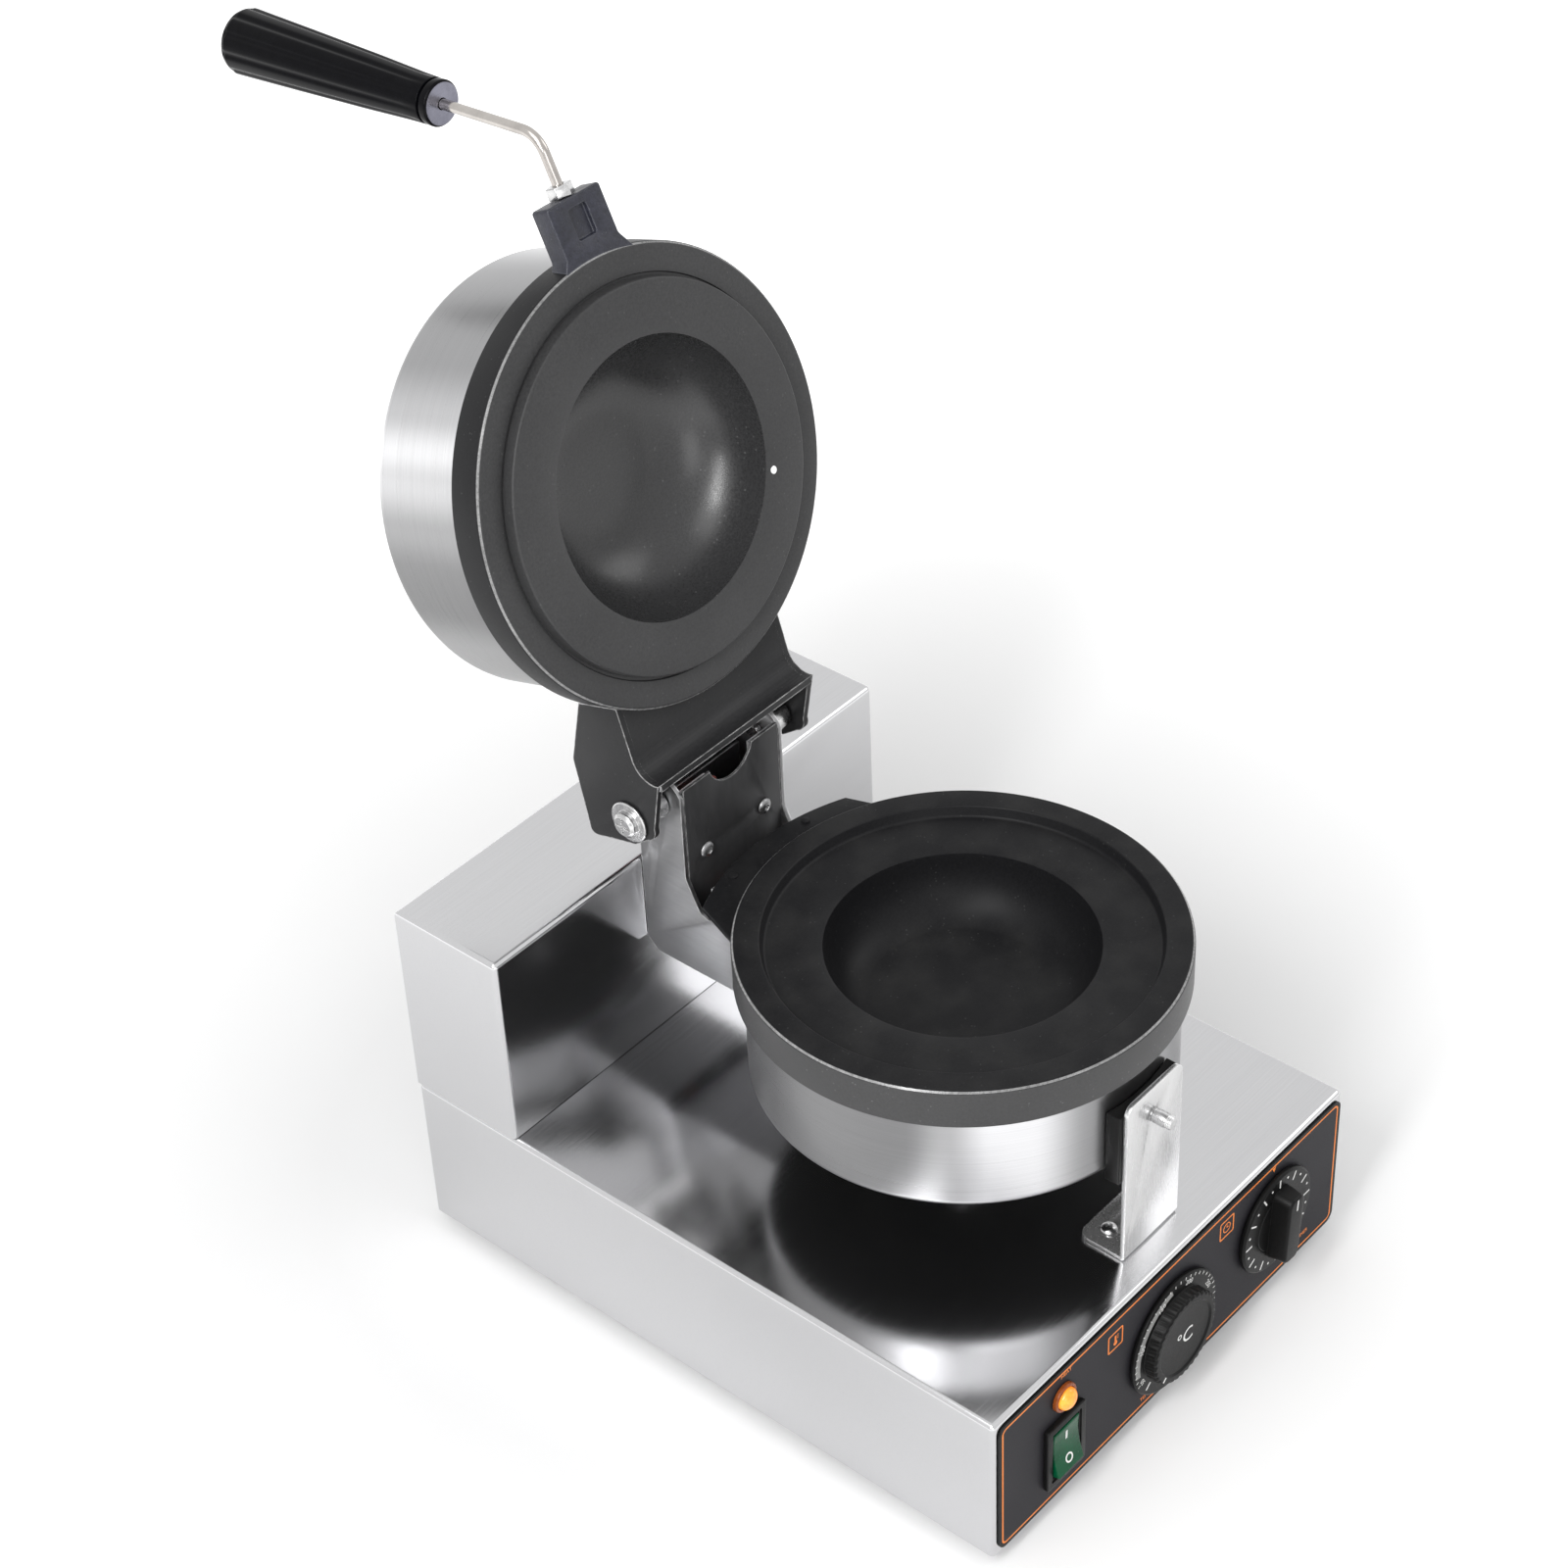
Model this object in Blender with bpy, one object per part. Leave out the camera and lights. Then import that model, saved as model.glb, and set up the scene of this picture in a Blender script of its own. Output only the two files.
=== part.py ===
"""Burger press for a countertop: two cast pans that close over a filled bun.

The lower pan stands over a sheet-metal cabinet, held by a bracket at the front and a hinge
bracket at the back. The upper pan is the lid: it turns on a yoke about one level axis and is
built here as it stands when open. Lengths are metres, +Z is up, +Y is towards the back, and
the origin is under the middle of the open machine, on the table.
"""
import math

import bmesh
import bpy
from mathutils import Matrix, Vector

MM = 0.001

# Fits that every piece shares
GAP = 0.3 * MM
OVERRUN = 4 * MM
ROUND_STEPS = 40
SMALL_STEPS = 12
SHARP_ANGLE = math.radians(35)

# Cabinet
BASE_WIDTH = 250 * MM
BASE_HEIGHT = 79 * MM
REAR_BOX_DEPTH = 60 * MM
REAR_BOX_BELOW_RIM = 15 * MM
SHEET = 1.2 * MM
SHEET_BEND = 2.5 * MM
SHEET_BEND_STEPS = 3
TRAY_LIP = 12 * MM
COVER_LIP = 12 * MM
VENT_LENGTH = 34 * MM
VENT_WIDTH = 4 * MM
VENT_PITCH = 11 * MM
VENT_COUNT = 5
WIRE_SLOT_WIDTH = 120 * MM
WIRE_SLOT_DEPTH = 34 * MM
WIRE_HOLE_RADIUS = 9 * MM

# Feet
FOOT_HEIGHT = 8 * MM
FOOT_RADIUS = 10 * MM
FOOT_TOP_RADIUS = 8.5 * MM
FOOT_INSET = 26 * MM
FOOT_STUD_RADIUS = 2.5 * MM
FOOT_STUD_LENGTH = 5 * MM

# Pans: distances behind the rim plane are depths, and both pans share one casting
RIM_GAP = 0.4 * MM
CAST_RADIUS = 96.5 * MM
CAST_EDGE = 1.5 * MM
CAST_DEPTH = 19 * MM
CAST_PLATE = 11 * MM
CAST_SKIRT = 3.3 * MM
LAND_WIDTH = 13.5 * MM
STEP_DRAFT = 1.5 * MM
RECESS = 5 * MM
RECESS_WIDTH = 25 * MM
BOWL_SWEEP = 20 * MM
BOWL_DEPTH = 28 * MM
BOWL_WALL = 6 * MM
BOWL_STEPS = 5
BOSS_RADIUS = 9 * MM
BOSS_HEIGHT = 6 * MM
BOSS_HOLE_DEPTH = 8 * MM

# Drums, heaters and filling
DRUM_INSET = 4.5 * MM
DRUM_SHEET = 1 * MM
DRUM_ROOM = 24 * MM
DRUM_ABOVE_DECK = 47 * MM
DRUM_CORNER = 5 * MM
DRUM_CORNER_STEPS = 3
DRUM_PORT_FROM_END = 24 * MM
DRUM_PORT_RADIUS = 7 * MM
HEATER_RING_INSET = 17 * MM
HEATER_TUBE_RADIUS = 4 * MM
HEATER_OPENING = math.radians(24)
HEATER_LEG = 14 * MM
HEATER_STEPS = 20
INSULATION_THICKNESS = 13.5 * MM
INSULATION_CLEARANCE = 1 * MM
PAN_BOLT_RADIUS = 4 * MM
PAN_BOLT_HEAD_RADIUS = 7.5 * MM
PAN_BOLT_HEAD = 5.3 * MM
PROBE_RADIUS = 2.5 * MM
PROBE_LENGTH = 40 * MM
PROBE_FROM_HEATER = 3 * MM
LEAD_RADIUS = 3 * MM

# Lobe of the lower casting, and the shelf that carries it
LOBE_PROUD = 18.5 * MM
LOBE_HALF_WIDTH = 47 * MM
LOBE_ROOT_HALF_WIDTH = 57 * MM
LOBE_DEPTH = 8 * MM
LOBE_THICKNESS = 8 * MM
LOBE_STEPS = 10
LOBE_SCREW_HALF_SPACING = 24 * MM
LOBE_SCREW_FROM_EDGE = 9 * MM

# Hinge axis, and how far the lid opens
HINGE_STANDOFF = 42.5 * MM
HINGE_TO_REAR_BOX = 13 * MM
PIVOT_ABOVE_RIM = 23 * MM
LID_OPENING = math.radians(107)

# Hinge bracket that stands on the rear box; drops are counted down from the lower rim
BRACKET_HALF_WIDTH = 33 * MM
BRACKET_SHEET = 2 * MM
BRACKET_FOOT_ABOVE_END = 4 * MM
BRACKET_FRONT_TO_AXIS = 12 * MM
BRACKET_TOP_RADIUS = 14.5 * MM
BRACKET_LIP = 17 * MM
BRACKET_CHAMFER = 6 * MM
BRACKET_ARC_STEPS = 8
BRACKET_WEB_DROP = 9 * MM
COVER_ABOVE_AXIS = 10 * MM
COVER_SHOULDER_DROP = 17 * MM
COVER_FOOT_DROP = 33 * MM
COVER_FOOT_HALF_WIDTH = 22 * MM
COVER_NOTCH_RADIUS = 14 * MM
COVER_NOTCH_HALF_WIDTH = 13.5 * MM
COVER_SCREW_HALF_SPACING = 19 * MM
COVER_SCREW_DROP = 6 * MM

# Screws
SCREW_RADIUS = 2 * MM
SCREW_HEAD_RADIUS = 3.8 * MM
SCREW_HEAD = 2 * MM
SCREW_LENGTH = 6 * MM
SCREW_SOCKET_RADIUS = 1.5 * MM
SCREW_SOCKET_DEPTH = 1.2 * MM

# Front bracket
FRONT_BRACKET_BACK = 13.5 * MM
FRONT_BRACKET_HALF_WIDTH = 19 * MM
FRONT_BRACKET_TOP_DROP = 29 * MM
FRONT_BRACKET_TO_DRUM = 7.5 * MM
FRONT_BRACKET_FOOT = 24 * MM
FRONT_BRACKET_CORNER = 5 * MM
FRONT_BRACKET_SCREW_BACK = 15 * MM
FRONT_BRACKET_SCREW_HALF_SPACING = 9 * MM
FRONT_BOLT_RADIUS = 3 * MM
FRONT_BOLT_HEAD_RADIUS = 5.5 * MM
FRONT_BOLT_HEAD = 4 * MM
FRONT_BOLT_TIP = 4 * MM
NUT_RADIUS = 5.8 * MM
NUT_HEIGHT = 5 * MM
SPACER_HALF_WIDTH = 21 * MM
SPACER_TOP_DROP = 25 * MM
SPACER_BELOW_DRUM = 2 * MM
CORNER_STEPS = 4

# Yoke under the lid, with ear places given from the hinge axis as the lid lies closed
YOKE_HALF_WIDTH = 50 * MM
YOKE_SHEET = 3 * MM
YOKE_WEB_DEPTH = 9 * MM
YOKE_WEB_PROUD = 11.5 * MM
YOKE_BEND = 11 * MM
YOKE_BEND_STEPS = 6
EAR_TOP_RISE = 7 * MM
EAR_BACK_FRONT = 27 * MM
EAR_BACK_RISE = 25 * MM
EAR_TAIL_BACK = 11 * MM
EAR_TAIL_RISE = 28.6 * MM
EAR_HEEL_BACK = 12 * MM
EAR_HEEL_RISE = 2 * MM
EAR_TOE_BACK = 8.5 * MM
EAR_TOE_FALL = 13.5 * MM
EAR_TOE_RADIUS = 6 * MM
LID_LOBE_HALF_WIDTH = 40 * MM
LID_LOBE_PROUD = 11.5 * MM
LID_LOBE_STEPS = 6
YOKE_SCREW_HALF_SPACING = 20 * MM
YOKE_SCREW_PROUD = 5 * MM
YOKE_SCREW_SKIN = 1 * MM
STOP_BAR_THICKNESS = 4 * MM
STOP_BAR_WIDTH = 10 * MM
STOP_BAR_BELOW_AXIS = 8 * MM

# Hinge bolts and bushes
HINGE_BOLT_RADIUS = 4 * MM
HINGE_WASHER_RADIUS = 9.8 * MM
HINGE_WASHER = 1.6 * MM
HINGE_HEAD_RADIUS = 6 * MM
HINGE_HEAD = 3.6 * MM
HINGE_BUSH_RADIUS = 7 * MM
HINGE_BOLT_TIP = 3 * MM

# Lug and handle
LUG_ACROSS = 5 * MM
LUG_ROOT_SUNK = 4.5 * MM
LUG_LEAN = math.radians(8)
LUG_HALF_WIDTH = 15 * MM
LUG_ROOT_HALF_WIDTH = 20 * MM
LUG_LENGTH = 30 * MM
LUG_NECK = 8 * MM
LUG_THICKNESS = 10 * MM
LUG_POCKET_WIDTH = 10 * MM
LUG_POCKET_HEIGHT = 13 * MM
LUG_POCKET_DEPTH = 1.2 * MM
ROD_RADIUS = 2.3 * MM
ROD_DEPTH = 6.2 * MM
ROD_SOCKET = 14 * MM
ROD_BEND_REACH = 48.7 * MM
ROD_BEND_RADIUS = 12 * MM
ROD_BEND_STEPS = 6
ROD_RUN = 45.3 * MM
ROD_IN_GRIP = 40 * MM
GRIP_TILT = math.radians(68.2)
GRIP_LENGTH = 120 * MM
GRIP_FRONT_RADIUS = 9.8 * MM
GRIP_END_RADIUS = 14.4 * MM
GRIP_COLLAR = 4 * MM
GRIP_GROOVE = 1.5 * MM
GRIP_GROOVE_DEPTH = 1 * MM
GRIP_FLUTES = 10
GRIP_FLUTE_DEPTH = 0.8 * MM
GRIP_END_ROUND = 2 * MM

# Vent plug in the lid casting
PLUG_FROM_STEP = 11 * MM
PLUG_BEARING = math.radians(23.7)
PLUG_RADIUS = 2 * MM
PLUG_PROUD = 0.6 * MM
PLUG_SHANK = 4 * MM

# Control overlay and what it carries, with heights as shares of the cabinet's height
OVERLAY_THICKNESS = 0.8 * MM
OVERLAY_SIDE_MARGIN = 2.5 * MM
OVERLAY_END_MARGIN = 2.5 * MM
OVERLAY_CORNER = 5 * MM
SWITCH_FROM_SIDE = 44.5 * MM
SWITCH_HEIGHT_SHARE = 0.405
BEZEL_WIDTH = 26 * MM
BEZEL_TALL = 36 * MM
BEZEL_THICKNESS = 2.5 * MM
BEZEL_EDGE = 1 * MM
SWITCH_BODY_WIDTH = 21 * MM
SWITCH_BODY_TALL = 29 * MM
SWITCH_BODY_DEPTH = 24 * MM
ROCKER_WIDTH = 17 * MM
ROCKER_TALL = 26 * MM
ROCKER_CLEARANCE = 0.5 * MM
ROCKER_TRAVEL = math.radians(14)
ROCKER_PROUD = 1.5 * MM
ROCKER_DISH = 1.6 * MM
ROCKER_TAPER = 1 * MM
ROCKER_SIDE = 5 * MM
ROCKER_KEEL_RADIUS = 4 * MM
ROCKER_WELL_DEPTH = 16 * MM
LAMP_ABOVE_SWITCH = 29 * MM
LAMP_FLANGE_RADIUS = 7 * MM
LAMP_FLANGE = 2 * MM
LAMP_BODY_RADIUS = 5 * MM
LAMP_BODY_LENGTH = 22 * MM
LAMP_LENS_RADIUS = 5.2 * MM
LAMP_LENS_SEAT = 1.2 * MM
LAMP_LENS_DOME = 3.4 * MM
LAMP_LENS_STEPS = 4
THERMOSTAT_ACROSS = -4.4 * MM
THERMOSTAT_HEIGHT_SHARE = 0.456
THERMOSTAT_SKIRT_RADIUS = 30 * MM
THERMOSTAT_SKIRT = 2.5 * MM
THERMOSTAT_CAP_RADIUS = 22.5 * MM
THERMOSTAT_CAP = 5.5 * MM
TIMER_FROM_SIDE = 54 * MM
TIMER_HEIGHT_SHARE = 0.55
TIMER_SKIRT_RADIUS = 26 * MM
TIMER_SKIRT = 3 * MM
TIMER_BAR_LENGTH = 38 * MM
TIMER_BAR_WIDTH = 13 * MM
TIMER_BAR_PROUD = 9 * MM
TIMER_BAR_TILT = math.radians(4)
KNOB_EDGE = 0.8 * MM
KNOB_STANDOFF = 0.6 * MM
SHAFT_RADIUS = 3 * MM
SHAFT_IN_BODY = 8 * MM
CONTROL_WIDTH = 38 * MM
CONTROL_TALL_SHARE = 0.48
CONTROL_DEPTH = 34 * MM

# Electrical pieces inside the cabinet
BLOCK_WIDTH = 50 * MM
BLOCK_DEPTH = 22 * MM
BLOCK_HEIGHT = 16 * MM
BLOCK_STEP = 5 * MM
BLOCK_FROM_SIDE = 65 * MM
BLOCK_FROM_REAR = 43 * MM
GLAND_FROM_SIDE = 45 * MM
GLAND_ABOVE_DECK = 26 * MM
GLAND_BODY_RADIUS = 8 * MM
GLAND_NUT_RADIUS = 12 * MM
GLAND_NUT = 6 * MM
GLAND_DOME = 10 * MM
GLAND_INSIDE = 8 * MM
GLAND_BORE_RADIUS = 4.5 * MM

# Places worked out from the sizes above, in the frame of the cabinet's lower front edge
HALF_WIDTH = BASE_WIDTH / 2
DECK = FOOT_HEIGHT + BASE_HEIGHT
STEP_RADIUS = CAST_RADIUS - LAND_WIDTH
BOWL_RADIUS = STEP_RADIUS - RECESS_WIDTH
BOWL_FLOOR_RADIUS = BOWL_RADIUS - BOWL_SWEEP
BOWL_BACK = RECESS + BOWL_DEPTH + BOWL_WALL
DRUM_RADIUS = CAST_RADIUS - DRUM_INSET
DRUM_DEPTH = BOWL_BACK + BOSS_HEIGHT + DRUM_ROOM
DRUM_PORT_DEPTH = DRUM_DEPTH - DRUM_PORT_FROM_END
HEATER_RING_RADIUS = DRUM_RADIUS - HEATER_RING_INSET
RIM = DECK + DRUM_ABOVE_DECK + DRUM_DEPTH
REAR_TOP = RIM - REAR_BOX_BELOW_RIM
PAN_CENTRE_BACK = FRONT_BRACKET_BACK + FRONT_BRACKET_TO_DRUM + DRUM_RADIUS
PIVOT = Vector((0, PAN_CENTRE_BACK + CAST_RADIUS + HINGE_STANDOFF, RIM + PIVOT_ABOVE_RIM))
REAR_FACE = PIVOT.y + HINGE_TO_REAR_BOX
BASE_DEPTH = REAR_FACE + REAR_BOX_DEPTH
BRACKET_FOOT = RIM - DRUM_DEPTH + BRACKET_FOOT_ABOVE_END
BRACKET_SHELF = RIM - LOBE_DEPTH - LOBE_THICKNESS - GAP
BRACKET_FRONT_BACK = PIVOT.y - BRACKET_FRONT_TO_AXIS
COVER_TOP = PIVOT.z + COVER_ABOVE_AXIS
COVER_SHOULDER = RIM - COVER_SHOULDER_DROP
COVER_SCREW_HEIGHT = RIM - COVER_SCREW_DROP
BOLT_HEIGHT = RIM - DRUM_PORT_DEPTH
LOBE_RADIUS = CAST_RADIUS + LOBE_PROUD
LID_LOBE_REACH = CAST_RADIUS + LID_LOBE_PROUD
YOKE_SCREW_REACH = CAST_RADIUS + YOKE_SCREW_PROUD
YOKE_WEB_END = CAST_RADIUS + YOKE_WEB_PROUD
PLUG_REACH = STEP_RADIUS - PLUG_FROM_STEP
PLUG_SPOT = (PLUG_REACH * math.cos(PLUG_BEARING), PLUG_REACH * math.sin(PLUG_BEARING), 0)
LID_CENTRE = Vector((0, PAN_CENTRE_BACK, RIM + RIM_GAP)) - PIVOT
OVERLAY_FACE = -GAP - OVERLAY_THICKNESS
CONTROL_FACE = SHEET + GAP
SWITCH_ACROSS = SWITCH_FROM_SIDE - HALF_WIDTH
SWITCH_MIDDLE = FOOT_HEIGHT + SWITCH_HEIGHT_SHARE * BASE_HEIGHT
LAMP_MIDDLE = SWITCH_MIDDLE + LAMP_ABOVE_SWITCH
THERMOSTAT_SPOT = (THERMOSTAT_ACROSS, FOOT_HEIGHT + THERMOSTAT_HEIGHT_SHARE * BASE_HEIGHT)
TIMER_SPOT = (HALF_WIDTH - TIMER_FROM_SIDE, FOOT_HEIGHT + TIMER_HEIGHT_SHARE * BASE_HEIGHT)
CONTROL_TALL = CONTROL_TALL_SHARE * BASE_HEIGHT
BLOCK_ACROSS = BLOCK_FROM_SIDE - HALF_WIDTH
BLOCK_BACK = BASE_DEPTH - BLOCK_FROM_REAR
GLAND_ACROSS = GLAND_FROM_SIDE - HALF_WIDTH
SHELL_INNER = HALF_WIDTH - SHEET
COVER_HALF_WIDTH = BRACKET_HALF_WIDTH - BRACKET_SHEET - GAP
COVER_FACE = BRACKET_FRONT_BACK - SHEET
LUG_PLACE = Matrix.Translation((LUG_ACROSS, LUG_ROOT_SUNK - CAST_RADIUS, GAP))
LUG_FRAME = LUG_PLACE @ Matrix.Rotation(-LUG_LEAN, 4, "X")


def open_lid(across, back, rise):
    """Turn a place in the closed lid, counted from the hinge axis, to where it stands open."""
    return Matrix.Rotation(-LID_OPENING, 3, "X") @ Vector((across, back, rise))


def grip_axis_point(along):
    """Give a place on the grip's axis in the lug's frame, counted from the grip's front end."""
    bend_end = (
        ROD_BEND_REACH + ROD_BEND_RADIUS * math.sin(GRIP_TILT),
        ROD_DEPTH + ROD_BEND_RADIUS * (1 - math.cos(GRIP_TILT)),
    )
    run = ROD_RUN + along
    return Vector((0, -bend_end[0] - run * math.cos(GRIP_TILT), bend_end[1] + run * math.sin(GRIP_TILT)))


def overall_middle():
    """Find the middle of the open machine from front to back, from its two outermost pieces."""
    grip_end = LID_CENTRE + LUG_FRAME @ grip_axis_point(GRIP_LENGTH)
    back = PIVOT.y + open_lid(*grip_end).y
    proud = max(THERMOSTAT_SKIRT + THERMOSTAT_CAP, TIMER_SKIRT + TIMER_BAR_PROUD)
    front = OVERLAY_FACE - KNOB_STANDOFF - proud
    return (front + back) / 2


class Shape:
    """A mesh built up from closed solids in the frame of the piece that it belongs to."""

    def __init__(self):
        self.mesh = bmesh.new()

    def absorb(self, other, matrix):
        """Move another mesh into this one."""
        bmesh.ops.transform(other, matrix=matrix, verts=other.verts)
        carrier = bpy.data.meshes.new("carrier")
        other.to_mesh(carrier)
        other.free()
        self.mesh.from_mesh(carrier)
        bpy.data.meshes.remove(carrier)
        return self

    def box(self, low, high):
        """Add a box between two opposite corners."""
        for vert in bmesh.ops.create_cube(self.mesh, size=1)["verts"]:
            vert.co = Vector(high[i] if vert.co[i] > 0 else low[i] for i in range(3))
        return self

    def prism(self, outline, axis, start, end):
        """Push a flat outline along X, Y or Z; its points hold the two other coordinates."""
        order = {"X": (2, 0, 1), "Y": (0, 2, 1), "Z": (0, 1, 2)}[axis]
        part = bmesh.new()
        corners = [part.verts.new([(a, b, start)[i] for i in order]) for a, b in outline]
        face = part.faces.new(corners)
        pushed = bmesh.ops.extrude_face_region(part, geom=[face])["geom"]
        step = [(0, 0, end - start)[i] for i in order]
        moved = [item for item in pushed if isinstance(item, bmesh.types.BMVert)]
        bmesh.ops.translate(part, verts=moved, vec=step)
        return self.absorb(part, Matrix())

    def turned(self, profile, matrix=Matrix(), steps=ROUND_STEPS, ring=False):
        """Turn a profile of radius and height about Z, then place it."""
        part = bmesh.new()
        points = [part.verts.new((radius, 0, height)) for radius, height in profile]
        pairs = list(zip(points, points[1:]))
        if ring:
            pairs.append((points[-1], points[0]))
        edges = [part.edges.new(pair) for pair in pairs]
        bmesh.ops.spin(
            part, geom=points + edges, cent=(0, 0, 0), axis=(0, 0, 1), dvec=(0, 0, 0),
            angle=math.tau, steps=steps, use_merge=True, use_duplicate=False,
        )
        bmesh.ops.remove_doubles(part, verts=part.verts, dist=GAP / 100)
        return self.absorb(part, matrix)

    def rod(self, centre, axis, radius, length, steps=SMALL_STEPS):
        """Add a plain cylinder that starts at a centre and runs along X, Y or Z."""
        profile = [(0, 0), (radius, 0), (radius, length), (0, length)]
        return self.turned(profile, along(axis, centre), steps)

    def soften(self, radius, steps, chosen):
        """Round the edges that a test picks by their middle and direction."""
        edges = []
        for edge in self.mesh.edges:
            start, end = edge.verts[0].co, edge.verts[1].co
            if chosen((start + end) / 2, (end - start).normalized()):
                edges.append(edge)
        bmesh.ops.bevel(
            self.mesh, geom=edges, offset=radius, segments=steps, profile=0.5, affect="EDGES",
        )
        return self

    def finish(self, name):
        """Close the work and hand over an ordinary mesh, smooth where the surface is round."""
        bmesh.ops.recalc_face_normals(self.mesh, faces=self.mesh.faces)
        mesh = bpy.data.meshes.new(name)
        self.mesh.to_mesh(mesh)
        self.mesh.free()
        mesh.shade_smooth()
        mesh.set_sharp_from_angle(angle=SHARP_ANGLE)
        return mesh


def along(axis, centre):
    """Give the placement that lays local +Z along a named axis, at a centre."""
    turn = {
        "X": Matrix.Rotation(math.radians(90), 4, "Y"),
        "Y": Matrix.Rotation(math.radians(-90), 4, "X"),
        "-Y": Matrix.Rotation(math.radians(90), 4, "X"),
        "Z": Matrix(),
        "-Z": Matrix.Rotation(math.radians(180), 4, "X"),
        "-X": Matrix.Rotation(math.radians(-90), 4, "Y"),
    }[axis]
    return Matrix.Translation(centre) @ turn


def arc(centre, radius, first, last, steps):
    """List points along a circular arc between two angles, ends included."""
    for i in range(steps + 1):
        angle = first + (last - first) * i / steps
        yield centre[0] + radius * math.cos(angle), centre[1] + radius * math.sin(angle)


def rounded_rectangle(left, right, bottom, top, radius, steps=CORNER_STEPS):
    """Outline a rectangle with round corners."""
    quarter = math.radians(90)
    corners = [(right, top), (left, top), (left, bottom), (right, bottom)]
    outline = []
    for i, (across, up) in enumerate(corners):
        centre = (
            across - math.copysign(radius, across - (left + right) / 2),
            up - math.copysign(radius, up - (bottom + top) / 2),
        )
        outline.extend(arc(centre, radius, i * quarter, (i + 1) * quarter, steps))
    return outline


def coating(name, colour, roughness, metallic):
    """Make the material of one piece."""
    made = bpy.data.materials.new(name)
    made.use_nodes = True
    surface = made.node_tree.nodes["Principled BSDF"]
    surface.inputs["Base Color"].default_value = (*colour, 1)
    surface.inputs["Roughness"].default_value = roughness
    surface.inputs["Metallic"].default_value = metallic
    made.diffuse_color = (*colour, 1)
    return made


FINISHES = {
    "stainless": ((0.72, 0.72, 0.73), 0.28, 1.0),
    "zinc": ((0.78, 0.78, 0.76), 0.3, 1.0),
    "steel": ((0.42, 0.42, 0.43), 0.4, 1.0),
    "cast": ((0.055, 0.056, 0.06), 0.55, 0.0),
    "dark_paint": ((0.06, 0.06, 0.065), 0.4, 0.0),
    "black_plastic": ((0.02, 0.02, 0.022), 0.4, 0.0),
    "gloss_black": ((0.01, 0.01, 0.012), 0.12, 0.0),
    "overlay": ((0.035, 0.034, 0.042), 0.45, 0.0),
    "green": ((0.0, 0.12, 0.045), 0.2, 0.0),
    "amber": ((0.85, 0.3, 0.03), 0.2, 0.0),
    "rubber": ((0.02, 0.02, 0.02), 0.8, 0.0),
    "wool": ((0.7, 0.68, 0.6), 0.95, 0.0),
    "copper": ((0.6, 0.3, 0.2), 0.35, 1.0),
    "silicone": ((0.5, 0.07, 0.05), 0.6, 0.0),
    "ceramic": ((0.75, 0.73, 0.68), 0.5, 0.0),
}


def place(data, name, finish, parent, location=(0, 0, 0), rotation=(0, 0, 0)):
    """Put one named piece under its parent with a material of its own."""
    piece = bpy.data.objects.new(name, data)
    data.materials.append(coating(f"{name}_material", *FINISHES[finish]))
    piece.parent = parent
    piece.location = location
    piece.rotation_euler = rotation
    bpy.context.collection.objects.link(piece)
    return piece


def piece_of(shape, name, finish, parent, location=(0, 0, 0), rotation=(0, 0, 0)):
    """Finish a shape and place it as one named piece."""
    return place(shape.finish(name), name, finish, parent, location, rotation)


def work(piece, shape, operation):
    """Cut a shape out of a piece, or fuse it on, with a live Boolean in the piece's frame."""
    name = f"{piece.name}_{operation.lower()}_{len(piece.modifiers)}"
    tool = bpy.data.objects.new(name, shape.finish(name))
    tool.parent = piece
    tool.hide_render = True
    tool.display_type = "WIRE"
    bpy.context.collection.objects.link(tool)
    step = piece.modifiers.new(name, "BOOLEAN")
    step.operation = operation
    step.solver = "EXACT"
    step.object = tool
    return piece


def cut(piece, shape):
    """Cut a shape out of a piece."""
    return work(piece, shape, "DIFFERENCE")


def fuse(piece, shape):
    """Fuse a shape onto a piece."""
    return work(piece, shape, "UNION")


def pivot_empty(name, parent, location, rotation=(0, 0, 0)):
    """Add an empty that carries pieces, with its origin on their axis."""
    empty = bpy.data.objects.new(name, None)
    empty.parent = parent
    empty.location = location
    empty.rotation_euler = rotation
    empty.empty_display_size = BASE_HEIGHT
    bpy.context.collection.objects.link(empty)
    return empty


def tube(name, points, radius, finish, parent, resolution=2):
    """Lay a round tube with filled ends along a list of points."""
    data = bpy.data.curves.new(name, "CURVE")
    data.dimensions = "3D"
    spline = data.splines.new("POLY")
    spline.points.add(len(points) - 1)
    for point, place_of in zip(spline.points, points):
        point.co = (*place_of, 1)
    data.bevel_depth = radius
    data.bevel_resolution = resolution
    data.use_fill_caps = True
    return place(data, name, finish, parent)


def smooth_route(knots, steps):
    """Read points from a smooth curve that passes through every knot."""
    places = [Vector(knot) for knot in knots]
    padded = [2 * places[0] - places[1], *places, 2 * places[-1] - places[-2]]
    route = []
    for before, start, end, after in zip(padded, padded[1:], padded[2:], padded[3:]):
        for i in range(steps):
            t = i / steps
            route.append(
                0.5 * (2 * start + (end - before) * t + (2 * before - 5 * start + 4 * end - after) * t**2
                       + (3 * start - before - 3 * end + after) * t**3)
            )
    route.append(places[-1])
    return route


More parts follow.
